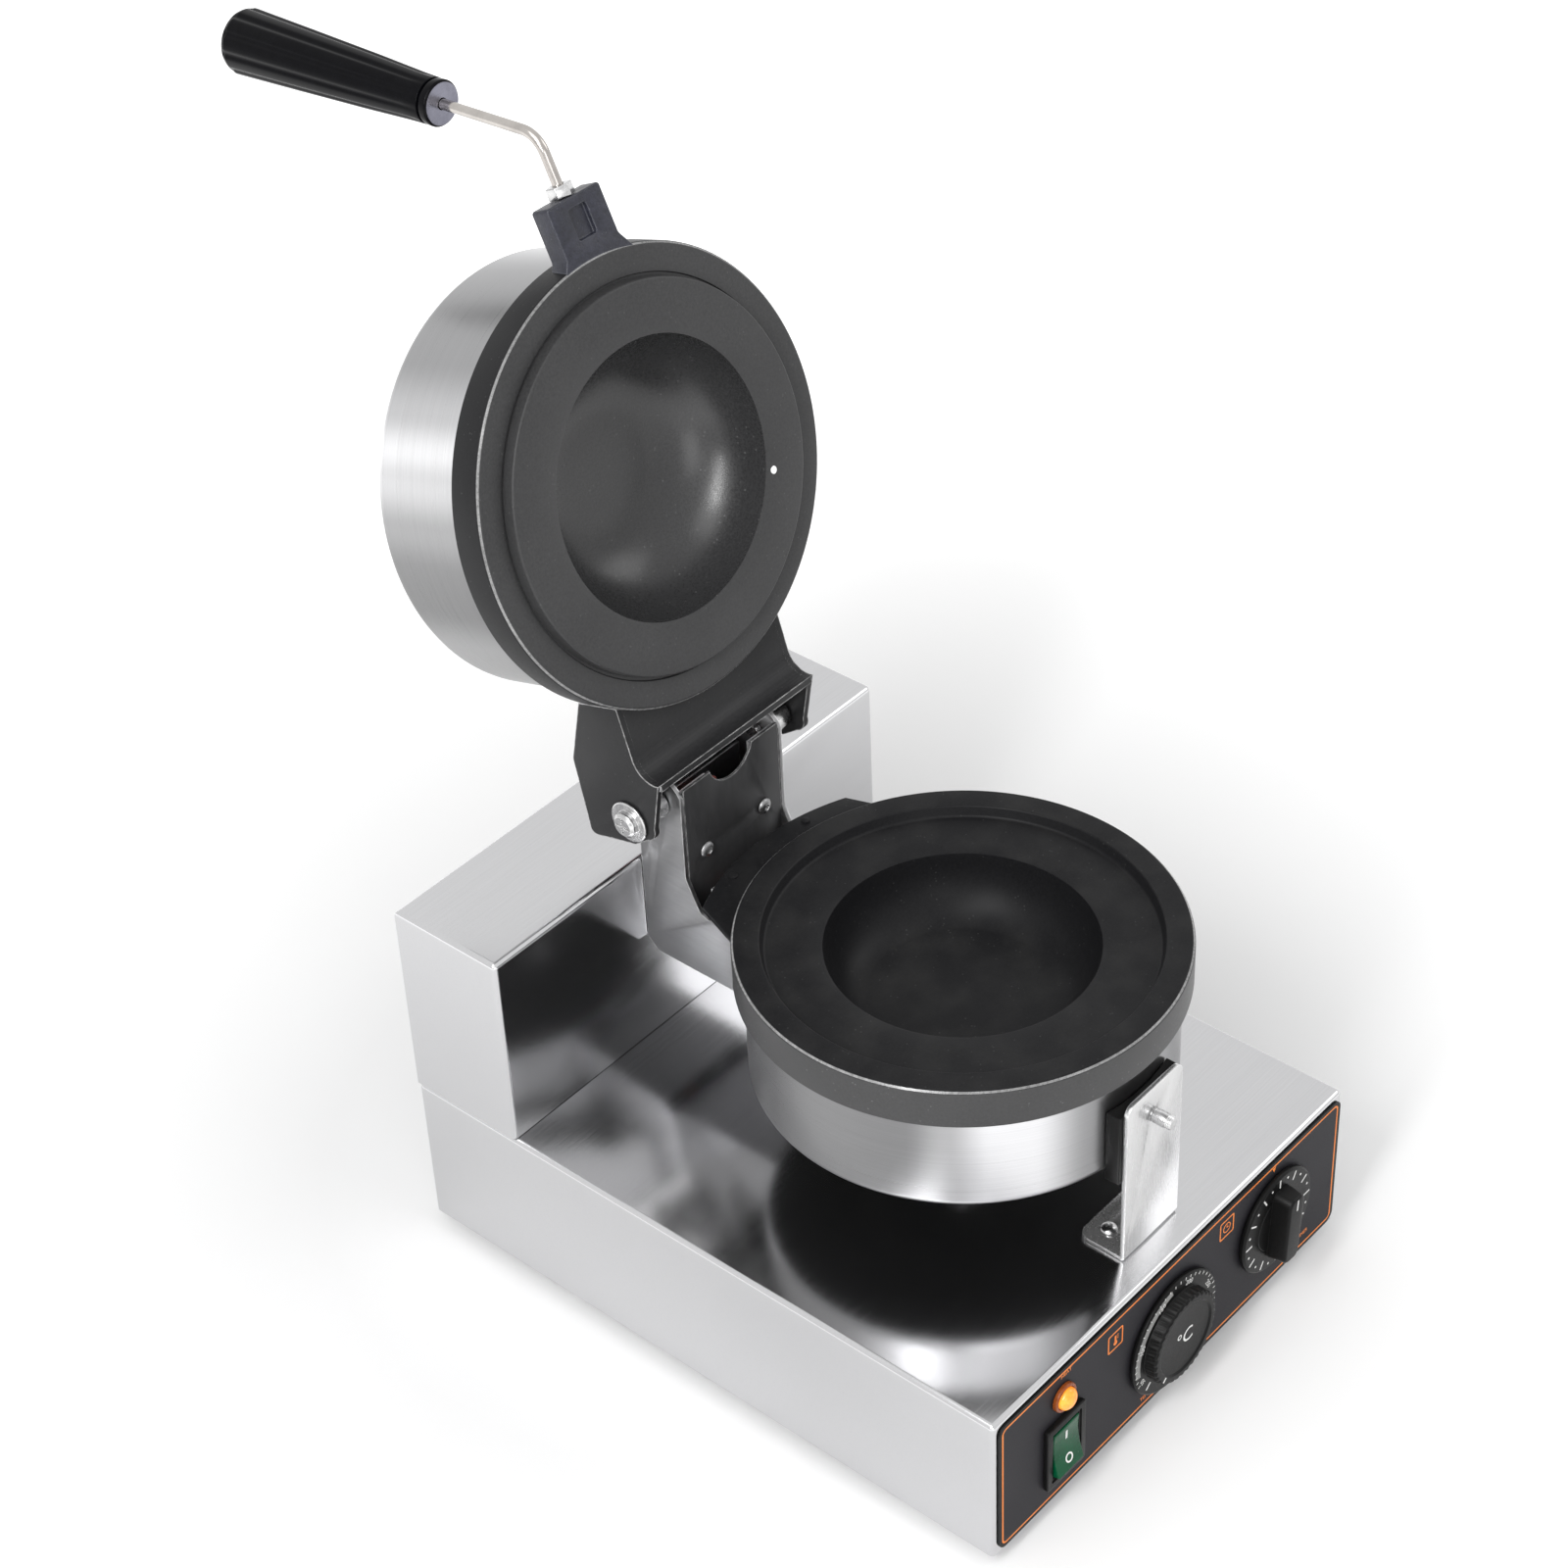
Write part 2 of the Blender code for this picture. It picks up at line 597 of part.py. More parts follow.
def screw(name, parent, centre, axis, length=SCREW_LENGTH):
    """Make a round-head screw whose head starts at a centre and whose shank runs back from it."""
    dome = arc((0, 0), 1, 0, math.radians(90), CORNER_STEPS // 2)
    head = [(r * SCREW_HEAD_RADIUS, h * SCREW_HEAD) for r, h in dome]
    profile = [(0, -length), (SCREW_RADIUS, -length), (SCREW_RADIUS, 0), *head[:-1], (0, SCREW_HEAD)]
    made = piece_of(Shape().turned(profile, steps=SMALL_STEPS), name, "zinc", parent)
    made.matrix_local = along(axis, centre)
    socket = Shape().rod(
        (0, 0, SCREW_HEAD - SCREW_SOCKET_DEPTH), "Z", SCREW_SOCKET_RADIUS, SCREW_SOCKET_DEPTH + OVERRUN, 6)
    return cut(made, socket)


def build_base(root):
    """Fold the lower cabinet, its bottom tray and its feet."""
    low, high = (-HALF_WIDTH, 0, FOOT_HEIGHT), (HALF_WIDTH, BASE_DEPTH, DECK)

    def outer_bend(middle, direction):
        """Pick the upright corners and the edges round the deck."""
        return abs(direction.z) > 0.5 or middle.z > DECK - GAP

    outer = Shape().box(low, high).soften(SHEET_BEND, SHEET_BEND_STEPS, outer_bend)
    shell = piece_of(outer, "base_shell", "stainless", root)
    cut(shell, Shape().box(
        (-SHELL_INNER, SHEET, FOOT_HEIGHT - OVERRUN),
        (SHELL_INNER, BASE_DEPTH - SHEET, DECK - SHEET),
    ))
    slot_back = REAR_FACE + (REAR_BOX_DEPTH - WIRE_SLOT_DEPTH) / 2
    openings = Shape().box(
        (-WIRE_SLOT_WIDTH / 2, slot_back, DECK - OVERRUN),
        (WIRE_SLOT_WIDTH / 2, slot_back + WIRE_SLOT_DEPTH, DECK + OVERRUN),
    )
    openings.box(
        (SWITCH_ACROSS - SWITCH_BODY_WIDTH / 2 - GAP, -OVERRUN,
         SWITCH_MIDDLE - SWITCH_BODY_TALL / 2 - GAP),
        (SWITCH_ACROSS + SWITCH_BODY_WIDTH / 2 + GAP, OVERRUN,
         SWITCH_MIDDLE + SWITCH_BODY_TALL / 2 + GAP),
    )
    openings.rod((SWITCH_ACROSS, -OVERRUN, LAMP_MIDDLE), "Y", LAMP_BODY_RADIUS + GAP, 2 * OVERRUN)
    for across, height in (THERMOSTAT_SPOT, TIMER_SPOT):
        openings.rod((across, -OVERRUN, height), "Y", SHAFT_RADIUS + GAP, 2 * OVERRUN)
    for side in (-1, 1):
        spot = (side * FRONT_BRACKET_SCREW_HALF_SPACING,
                FRONT_BRACKET_BACK + FRONT_BRACKET_SCREW_BACK, DECK - OVERRUN)
        openings.rod(spot, "Z", SCREW_RADIUS + GAP, 2 * OVERRUN)
    cut(shell, openings)

    inset = SHEET + GAP
    tray = piece_of(Shape().box(
        (-HALF_WIDTH + inset, inset, FOOT_HEIGHT),
        (HALF_WIDTH - inset, BASE_DEPTH - inset, FOOT_HEIGHT + TRAY_LIP),
    ), "bottom_plate", "stainless", root)
    hollow = inset + SHEET
    cut(tray, Shape().box(
        (-HALF_WIDTH + hollow, hollow, FOOT_HEIGHT + SHEET),
        (HALF_WIDTH - hollow, BASE_DEPTH - hollow, FOOT_HEIGHT + TRAY_LIP + OVERRUN),
    ))
    through = Shape()
    for side in (-1, 1):
        for i in range(VENT_COUNT):
            middle = BASE_DEPTH / 2 + (i - (VENT_COUNT - 1) / 2) * VENT_PITCH
            across = side * BASE_WIDTH / 4
            through.box(
                (across - VENT_LENGTH / 2, middle - VENT_WIDTH / 2, FOOT_HEIGHT - OVERRUN),
                (across + VENT_LENGTH / 2, middle + VENT_WIDTH / 2, FOOT_HEIGHT + OVERRUN),
            )
    foot_places = {
        f"foot_{row}_{'left' if side < 0 else 'right'}": (side * (HALF_WIDTH - FOOT_INSET), back)
        for row, back in (("front", FOOT_INSET), ("rear", BASE_DEPTH - FOOT_INSET))
        for side in (-1, 1)
    }
    for across, back in foot_places.values():
        through.rod((across, back, FOOT_HEIGHT - OVERRUN), "Z", FOOT_STUD_RADIUS + GAP, 2 * OVERRUN)
    cut(tray, through)

    top = FOOT_HEIGHT - GAP
    foot_profile = [
        (0, 0), (FOOT_RADIUS, 0), (FOOT_TOP_RADIUS, top), (FOOT_STUD_RADIUS, top),
        (FOOT_STUD_RADIUS, top + FOOT_STUD_LENGTH), (0, top + FOOT_STUD_LENGTH),
    ]
    for name, (across, back) in foot_places.items():
        piece_of(Shape().turned(foot_profile, steps=SMALL_STEPS), name, "rubber", root, (across, back, 0))


def build_rear_box(root):
    """Fold the tall box at the back, with its cover, screws and cable gland."""
    bottom = DECK + GAP

    def outer_bend(middle, direction):
        """Pick the front upright corners and the edges round the top."""
        return (abs(direction.z) > 0.5 and middle.y < BASE_DEPTH - GAP) or middle.z > REAR_TOP - GAP

    outer = Shape().box((-HALF_WIDTH, REAR_FACE, bottom), (HALF_WIDTH, BASE_DEPTH, REAR_TOP))
    outer.soften(SHEET_BEND, SHEET_BEND_STEPS, outer_bend)
    housing = piece_of(outer, "rear_housing", "stainless", root)
    cover_front = BASE_DEPTH - SHEET
    lip_front = cover_front - GAP - SHEET
    cut(housing, Shape().box(
        (-SHELL_INNER, REAR_FACE + SHEET, bottom - OVERRUN),
        (SHELL_INNER, lip_front, REAR_TOP - SHEET),
    ))
    lip_inner = SHELL_INNER - COVER_LIP
    window = Shape().box(
        (-lip_inner, lip_front - OVERRUN, bottom + COVER_LIP),
        (lip_inner, BASE_DEPTH + OVERRUN, REAR_TOP - SHEET - COVER_LIP),
    )
    cut(housing, window)
    cut(housing, Shape().box(
        (-SHELL_INNER, cover_front - GAP, bottom + SHEET),
        (SHELL_INNER, BASE_DEPTH + OVERRUN, REAR_TOP - SHEET),
    ))
    port = (0, REAR_FACE - OVERRUN, RIM - DRUM_PORT_DEPTH)
    holes = Shape().rod(port, "Y", WIRE_HOLE_RADIUS, 2 * OVERRUN)
    screw_across = SHELL_INNER - COVER_LIP / 2
    screw_row = (bottom + REAR_TOP) / 2
    spots = [(side * screw_across, screw_row) for side in (-1, 1)]
    for across, row in spots:
        holes.rod((across, cover_front - OVERRUN, row), "Y", SCREW_RADIUS + GAP, 2 * OVERRUN)
    cut(housing, holes)

    cover = piece_of(Shape().box(
        (-SHELL_INNER + GAP, cover_front, bottom + SHEET + GAP),
        (SHELL_INNER - GAP, BASE_DEPTH, REAR_TOP - SHEET - GAP),
    ), "rear_cover", "stainless", root)
    gland_height = DECK + GLAND_ABOVE_DECK
    openings = Shape().rod(
        (GLAND_ACROSS, cover_front - OVERRUN, gland_height), "Y", GLAND_BODY_RADIUS + GAP, 3 * OVERRUN)
    for across, row in spots:
        openings.rod((across, cover_front - OVERRUN, row), "Y", SCREW_RADIUS + GAP, 3 * OVERRUN)
    vent_middle = (DECK + REAR_TOP) / 2
    for i in range(VENT_COUNT):
        height = vent_middle + (i - (VENT_COUNT - 1) / 2) * VENT_PITCH
        openings.box(
            (BASE_WIDTH / 4 - VENT_LENGTH / 2, cover_front - OVERRUN, height - VENT_WIDTH / 2),
            (BASE_WIDTH / 4 + VENT_LENGTH / 2, BASE_DEPTH + OVERRUN, height + VENT_WIDTH / 2),
        )
    cut(cover, openings)
    for side, (across, row) in zip(("left", "right"), spots):
        screw(f"rear_cover_screw_{side}", root, (across, BASE_DEPTH + GAP, row), "Y")

    face = BASE_DEPTH + GAP
    gland = [
        (GLAND_BORE_RADIUS, -GLAND_INSIDE), (GLAND_BODY_RADIUS, -GLAND_INSIDE), (GLAND_BODY_RADIUS, 0),
        (GLAND_NUT_RADIUS, 0), (GLAND_NUT_RADIUS, GLAND_NUT), (GLAND_BODY_RADIUS, GLAND_NUT + KNOB_EDGE),
        (GLAND_BODY_RADIUS, GLAND_NUT + GLAND_DOME / 2),
        (GLAND_BORE_RADIUS + SHEET, GLAND_NUT + GLAND_DOME),
        (GLAND_BORE_RADIUS, GLAND_NUT + GLAND_DOME),
    ]
    spot = along("Y", (GLAND_ACROSS, face, gland_height))
    piece_of(Shape().turned(gland, spot, SMALL_STEPS, ring=True), "cable_gland", "black_plastic", root)


def build_controls(root):
    """Fit the overlay, switch, lamp, thermostat and timer to the front wall."""
    overlay = piece_of(Shape().prism(rounded_rectangle(
        -HALF_WIDTH + OVERLAY_SIDE_MARGIN, HALF_WIDTH - OVERLAY_SIDE_MARGIN,
        FOOT_HEIGHT + OVERLAY_END_MARGIN, DECK - OVERLAY_END_MARGIN, OVERLAY_CORNER,
    ), "Y", OVERLAY_FACE, -GAP), "control_overlay", "overlay", root)
    openings = Shape().box(
        (SWITCH_ACROSS - SWITCH_BODY_WIDTH / 2 - GAP, OVERLAY_FACE - OVERRUN,
         SWITCH_MIDDLE - SWITCH_BODY_TALL / 2 - GAP),
        (SWITCH_ACROSS + SWITCH_BODY_WIDTH / 2 + GAP, OVERRUN,
         SWITCH_MIDDLE + SWITCH_BODY_TALL / 2 + GAP),
    )
    openings.rod((SWITCH_ACROSS, -OVERRUN, LAMP_MIDDLE), "Y", LAMP_BODY_RADIUS + GAP, 2 * OVERRUN)
    for across, height in (THERMOSTAT_SPOT, TIMER_SPOT):
        openings.rod((across, -OVERRUN, height), "Y", SHAFT_RADIUS + GAP, 2 * OVERRUN)
    cut(overlay, openings)
    build_switch(root, SWITCH_MIDDLE)
    build_lamp(root, LAMP_MIDDLE)
    build_dial_bodies(root)
    build_thermostat_knob(root)
    build_timer_knob(root)


def build_switch(root, middle):
    """Fit the rocker switch; its rocker rests in the on position, with its upper end pressed in."""
    front = OVERLAY_FACE - GAP - BEZEL_THICKNESS
    outline = rounded_rectangle(
        SWITCH_ACROSS - BEZEL_WIDTH / 2, SWITCH_ACROSS + BEZEL_WIDTH / 2,
        middle - BEZEL_TALL / 2, middle + BEZEL_TALL / 2, BEZEL_EDGE,
    )
    housing = piece_of(
        Shape().prism(outline, "Y", front, OVERLAY_FACE - GAP), "switch_housing", "black_plastic", root)
    fuse(housing, Shape().box(
        (SWITCH_ACROSS - SWITCH_BODY_WIDTH / 2, front + BEZEL_EDGE, middle - SWITCH_BODY_TALL / 2),
        (SWITCH_ACROSS + SWITCH_BODY_WIDTH / 2, SWITCH_BODY_DEPTH, middle + SWITCH_BODY_TALL / 2),
    ))
    half_width = ROCKER_WIDTH / 2 + GAP
    half_tall = ROCKER_TALL / 2 + ROCKER_CLEARANCE
    cut(housing, Shape().box(
        (SWITCH_ACROSS - half_width, front - OVERRUN, middle - half_tall),
        (SWITCH_ACROSS + half_width, front + ROCKER_WELL_DEPTH, middle + half_tall),
    ))

    axis_place = (SWITCH_ACROSS, front + ROCKER_SIDE, middle)
    axis = pivot_empty("power_rocker_axis", root, axis_place, (-ROCKER_TRAVEL / 2, 0, 0))
    half = ROCKER_TALL / 2
    face = -ROCKER_SIDE - ROCKER_PROUD
    keel = list(arc((0, 0), ROCKER_KEEL_RADIUS, math.radians(-60), math.radians(60), CORNER_STEPS))
    tip = half - ROCKER_TAPER
    profile = [(face, -tip), (face + ROCKER_DISH, 0), (face, tip), (0, half), *reversed(keel), (0, -half)]
    piece_of(
        Shape().prism(profile, "X", -ROCKER_WIDTH / 2, ROCKER_WIDTH / 2), "switch_rocker", "green", axis)


def build_lamp(root, middle):
    """Fit the indicator lamp: a collar through the wall and a domed lens in it."""
    face = OVERLAY_FACE - GAP
    seat = LAMP_LENS_RADIUS + GAP
    holder = [
        (0, -LAMP_BODY_LENGTH), (LAMP_BODY_RADIUS, -LAMP_BODY_LENGTH), (LAMP_BODY_RADIUS, 0),
        (LAMP_FLANGE_RADIUS, 0), (LAMP_FLANGE_RADIUS, LAMP_FLANGE - KNOB_EDGE / 2),
        (LAMP_FLANGE_RADIUS - KNOB_EDGE / 2, LAMP_FLANGE), (seat, LAMP_FLANGE),
        (seat, LAMP_FLANGE - LAMP_LENS_SEAT), (0, LAMP_FLANGE - LAMP_LENS_SEAT),
    ]
    spot = along("-Y", (SWITCH_ACROSS, face, middle))
    piece_of(Shape().turned(holder, spot, SMALL_STEPS + SMALL_STEPS // 2), "lamp_holder", "amber", root)
    floor = LAMP_FLANGE - LAMP_LENS_SEAT + GAP
    quarter = arc((0, 0), 1, 0, math.radians(90), LAMP_LENS_STEPS)
    dome = [(r * LAMP_LENS_RADIUS, floor + LAMP_LENS_SEAT + h * LAMP_LENS_DOME) for r, h in quarter]
    lens = [(0, floor), (LAMP_LENS_RADIUS, floor), *dome[:-1], (0, dome[-1][1])]
    piece_of(Shape().turned(lens, spot, SMALL_STEPS + SMALL_STEPS // 2), "lamp_lens", "amber", root)


def build_dial_bodies(root):
    """Hang the thermostat and the timer works behind the front wall."""
    for name, (across, height) in (("thermostat_body", THERMOSTAT_SPOT), ("timer_body", TIMER_SPOT)):
        body = piece_of(Shape().box(
            (across - CONTROL_WIDTH / 2, CONTROL_FACE, height - CONTROL_TALL / 2),
            (across + CONTROL_WIDTH / 2, CONTROL_FACE + CONTROL_DEPTH, height + CONTROL_TALL / 2),
        ), name, "steel", root)
        bore = SHAFT_IN_BODY + GAP + OVERRUN
        cut(body, Shape().rod((across, CONTROL_FACE - OVERRUN, height), "Y", SHAFT_RADIUS + GAP, bore))


def knob_profile(skirt_radius, skirt, cap_radius, cap):
    """Outline a knob with a skirt and a cap, and the shaft that it turns."""
    shaft_end = -(KNOB_STANDOFF - OVERLAY_FACE + CONTROL_FACE + SHAFT_IN_BODY)
    return [
        (0, shaft_end), (SHAFT_RADIUS, shaft_end), (SHAFT_RADIUS, 0), (skirt_radius - KNOB_EDGE, 0),
        (skirt_radius, KNOB_EDGE), (skirt_radius, skirt - KNOB_EDGE), (skirt_radius - KNOB_EDGE, skirt),
        (cap_radius, skirt), (cap_radius, skirt + cap - KNOB_EDGE), (cap_radius - KNOB_EDGE, skirt + cap),
        (0, skirt + cap),
    ]


def build_thermostat_knob(root):
    """Make the thermostat knob: a numbered skirt with a round cap in front."""
    spot = (THERMOSTAT_SPOT[0], OVERLAY_FACE - KNOB_STANDOFF, THERMOSTAT_SPOT[1])
    axis = pivot_empty("thermostat_axis", root, spot)
    profile = knob_profile(THERMOSTAT_SKIRT_RADIUS, THERMOSTAT_SKIRT, THERMOSTAT_CAP_RADIUS, THERMOSTAT_CAP)
    shape = Shape().turned(profile, along("-Y", (0, 0, 0)))
    piece_of(shape, "thermostat_knob", "black_plastic", axis)


def build_timer_knob(root):
    """Make the timer knob: a numbered disc with a bar to hold."""
    spot = (TIMER_SPOT[0], OVERLAY_FACE - KNOB_STANDOFF, TIMER_SPOT[1])
    axis = pivot_empty("timer_axis", root, spot)
    hub = TIMER_BAR_WIDTH / 2
    profile = knob_profile(TIMER_SKIRT_RADIUS, TIMER_SKIRT, hub, KNOB_STANDOFF)
    disc = piece_of(Shape().turned(profile, along("-Y", (0, 0, 0))), "timer_knob", "black_plastic", axis)
    face = -TIMER_SKIRT - TIMER_BAR_PROUD
    bar = Shape().prism(rounded_rectangle(
        -TIMER_BAR_WIDTH / 2, TIMER_BAR_WIDTH / 2, -TIMER_BAR_LENGTH / 2, TIMER_BAR_LENGTH / 2,
        TIMER_BAR_WIDTH / 4,
    ), "Y", face, -TIMER_SKIRT + KNOB_EDGE)
    bmesh.ops.rotate(
        bar.mesh, verts=bar.mesh.verts, cent=(0, 0, 0), matrix=Matrix.Rotation(TIMER_BAR_TILT, 3, "Y"))
    fuse(disc, bar)


def build_terminal_block(root):
    """Stand the terminal block on the bottom tray."""
    floor = FOOT_HEIGHT + SHEET + GAP
    across, back = BLOCK_ACROSS, BLOCK_BACK
    half_width, half_depth = BLOCK_WIDTH / 2, BLOCK_DEPTH / 2
    block = [
        (back - half_depth, floor), (back + half_depth, floor),
        (back + half_depth, floor + BLOCK_HEIGHT - BLOCK_STEP),
        (back + half_depth - BLOCK_STEP, floor + BLOCK_HEIGHT - BLOCK_STEP),
        (back + half_depth - BLOCK_STEP, floor + BLOCK_HEIGHT),
        (back - half_depth + BLOCK_STEP, floor + BLOCK_HEIGHT),
        (back - half_depth + BLOCK_STEP, floor + BLOCK_HEIGHT - BLOCK_STEP),
        (back - half_depth, floor + BLOCK_HEIGHT - BLOCK_STEP),
    ]
    shape = Shape().prism(block, "X", across - half_width, across + half_width)
    piece_of(shape, "terminal_block", "ceramic", root)


def pan_profile():
    """Outline half of a pan casting: bowl, land, rim, skirt and the back of the bowl."""
    quarter = math.radians(90)
    spread = BOWL_RADIUS - BOWL_FLOOR_RADIUS
    unit = list(arc((0, 0), 1, 0, quarter, BOWL_STEPS))
    inside = [(BOWL_FLOOR_RADIUS + spread * a, RECESS + BOWL_DEPTH * b) for a, b in unit]
    outer_spread = spread + BOWL_WALL
    rise = BOWL_BACK - CAST_PLATE
    outside = [(BOWL_FLOOR_RADIUS + outer_spread * a, CAST_PLATE + rise * b) for a, b in unit]
    bore = PAN_BOLT_RADIUS + GAP
    boss_end = BOWL_BACK + BOSS_HEIGHT
    return [
        (0, RECESS + BOWL_DEPTH), *reversed(inside),
        (STEP_RADIUS, RECESS), (STEP_RADIUS + STEP_DRAFT, 0),
        (CAST_RADIUS - CAST_EDGE, 0), (CAST_RADIUS, CAST_EDGE), (CAST_RADIUS, CAST_DEPTH),
        (CAST_RADIUS - CAST_SKIRT, CAST_DEPTH), (CAST_RADIUS - CAST_SKIRT, CAST_PLATE),
        *outside,
        (BOSS_RADIUS, BOWL_BACK), (BOSS_RADIUS, boss_end), (bore, boss_end),
        (bore, boss_end - BOSS_HOLE_DEPTH), (0, boss_end - BOSS_HOLE_DEPTH),
    ]


def lobe_outline(reach, half_width, root_half_width, steps):
    """Outline a lobe on the hinge side of a casting, rooted inside the skirt."""
    inner = CAST_RADIUS - CAST_SKIRT / 2
    quarter = math.radians(90)
    tip = math.asin(half_width / reach)
    root = math.asin(root_half_width / inner)
    return [
        *arc((0, 0), reach, quarter - tip, quarter + tip, steps),
        *arc((0, 0), inner, quarter + root, quarter - root, steps),
    ]


def build_pan(prefix, carrier, port_radius):
    """Build one pan in its own frame: rim plane at zero, depth along +Z, hinge towards +Y."""
    casting = piece_of(Shape().turned(pan_profile()), f"{prefix}_plate", "cast", carrier)

    wall = DRUM_SHEET
    quarter = math.radians(90)
    corner = (DRUM_RADIUS - DRUM_CORNER, DRUM_DEPTH - DRUM_CORNER)
    bore = PAN_BOLT_RADIUS + GAP
    drum = [
        (DRUM_RADIUS, CAST_PLATE + GAP),
        *arc(corner, DRUM_CORNER, 0, quarter, DRUM_CORNER_STEPS),
        (bore, DRUM_DEPTH), (bore, DRUM_DEPTH - wall),
        *arc(corner, DRUM_CORNER - wall, quarter, 0, DRUM_CORNER_STEPS),
        (DRUM_RADIUS - wall, CAST_PLATE + GAP),
    ]
    can = piece_of(Shape().turned(drum, ring=True), f"{prefix}_drum", "stainless", carrier)
    port = (0, DRUM_RADIUS - OVERRUN, DRUM_PORT_DEPTH)
    cut(can, Shape().rod(port, "Y", port_radius, 2 * OVERRUN))

    level = CAST_PLATE + GAP + HEATER_TUBE_RADIUS
    ring = [
        (x, y, level)
        for x, y in arc((0, 0), HEATER_RING_RADIUS, quarter + HEATER_OPENING,
                        quarter - HEATER_OPENING + math.tau, HEATER_STEPS)
    ]
    leg_start = (*ring[0][:2], level + HEATER_LEG)
    leg_end = (*ring[-1][:2], level + HEATER_LEG)
    tube(f"{prefix}_heater", [leg_start, *ring, leg_end], HEATER_TUBE_RADIUS, "steel", carrier)

    floor = DRUM_DEPTH - wall - GAP
    wool_radius = DRUM_RADIUS - wall - INSULATION_CLEARANCE
    wool_bore = PAN_BOLT_RADIUS + INSULATION_CLEARANCE
    wool = [
        (wool_bore, floor - INSULATION_THICKNESS), (wool_radius, floor - INSULATION_THICKNESS),
        (wool_radius, floor - DRUM_CORNER), (wool_radius - DRUM_CORNER, floor), (wool_bore, floor),
    ]
    piece_of(
        Shape().turned(wool, steps=2 * SMALL_STEPS, ring=True), f"{prefix}_insulation", "wool", carrier)

    tip = BOWL_BACK + BOSS_HEIGHT - BOSS_HOLE_DEPTH + GAP
    head = DRUM_DEPTH + GAP
    shank = Shape().rod((0, 0, tip), "Z", PAN_BOLT_RADIUS, head - tip + GAP)
    bolt = piece_of(shank, f"{prefix}_pan_bolt", "zinc", carrier)
    fuse(bolt, Shape().rod((0, 0, head), "Z", PAN_BOLT_HEAD_RADIUS, PAN_BOLT_HEAD, 6))
    return casting, can


def lobe_screw_places():
    """List where the two lobe screws stand, in the pan's frame."""
    back = LOBE_RADIUS - LOBE_SCREW_FROM_EDGE
    return [(side * LOBE_SCREW_HALF_SPACING, back) for side in (-1, 1)]


def build_lower_pan(root):
    """Build the fixed pan with its lobe, screws and temperature probe."""
    carrier = pivot_empty("lower_pan", root, (0, PAN_CENTRE_BACK, RIM), (0, math.radians(180), 0))
    casting, can = build_pan("lower", carrier, DRUM_PORT_RADIUS)
    lobe = lobe_outline(LOBE_RADIUS, LOBE_HALF_WIDTH, LOBE_ROOT_HALF_WIDTH, LOBE_STEPS)
    fuse(casting, Shape().prism(lobe, "Z", LOBE_DEPTH, LOBE_DEPTH + LOBE_THICKNESS))
    under = LOBE_DEPTH + LOBE_THICKNESS
    taps = Shape()
    for across, back in lobe_screw_places():
        taps.rod((across, back, under - LOBE_THICKNESS / 2), "Z", SCREW_RADIUS + GAP, LOBE_THICKNESS)
    cut(casting, taps)
    bolt_hole = (0, -DRUM_RADIUS - OVERRUN, RIM - BOLT_HEIGHT)
    cut(can, Shape().rod(bolt_hole, "Y", FRONT_BOLT_RADIUS + GAP, 2 * OVERRUN))

    seat = under + 2 * GAP + BRACKET_SHEET
    for side, (across, back) in zip(("right", "left"), lobe_screw_places()):
        screw(f"lobe_screw_{side}", carrier, (across, back, seat), "Z",
              BRACKET_SHEET + GAP + LOBE_THICKNESS / 2)

    probe_back = HEATER_RING_RADIUS + HEATER_TUBE_RADIUS + PROBE_FROM_HEATER + PROBE_RADIUS
    level = CAST_PLATE + GAP + PROBE_RADIUS
    bulb = Shape().rod(
        (-PROBE_LENGTH / 2, probe_back, level), "X", PROBE_RADIUS, PROBE_LENGTH, SMALL_STEPS // 2)
    piece_of(bulb, "temperature_probe", "copper", carrier)


def bracket_side_outline():
    """Outline one side plate of the hinge bracket as points of back and height."""
    back = REAR_FACE - GAP
    foot, shelf = BRACKET_FOOT, BRACKET_SHELF
    inner = BRACKET_HALF_WIDTH - BRACKET_SHEET
    drum_side = PAN_CENTRE_BACK + math.sqrt((DRUM_RADIUS + GAP) ** 2 - inner**2)
    skirt_side = PAN_CENTRE_BACK + math.sqrt((CAST_RADIUS + GAP) ** 2 - inner**2)
    skirt_foot = RIM - CAST_DEPTH - GAP
    reach = BRACKET_TOP_RADIUS
    front_angle = math.acos((COVER_FACE - PIVOT.y) / reach)
    back_angle = math.acos((back - PIVOT.y) / reach)
    return [
        (drum_side, foot), (back - BRACKET_CHAMFER, foot), (back, foot + BRACKET_CHAMFER),
        *arc((PIVOT.y, PIVOT.z), reach, back_angle, front_angle, BRACKET_ARC_STEPS),
        (COVER_FACE, shelf), (skirt_side, shelf), (skirt_side, skirt_foot), (drum_side, skirt_foot),
    ]


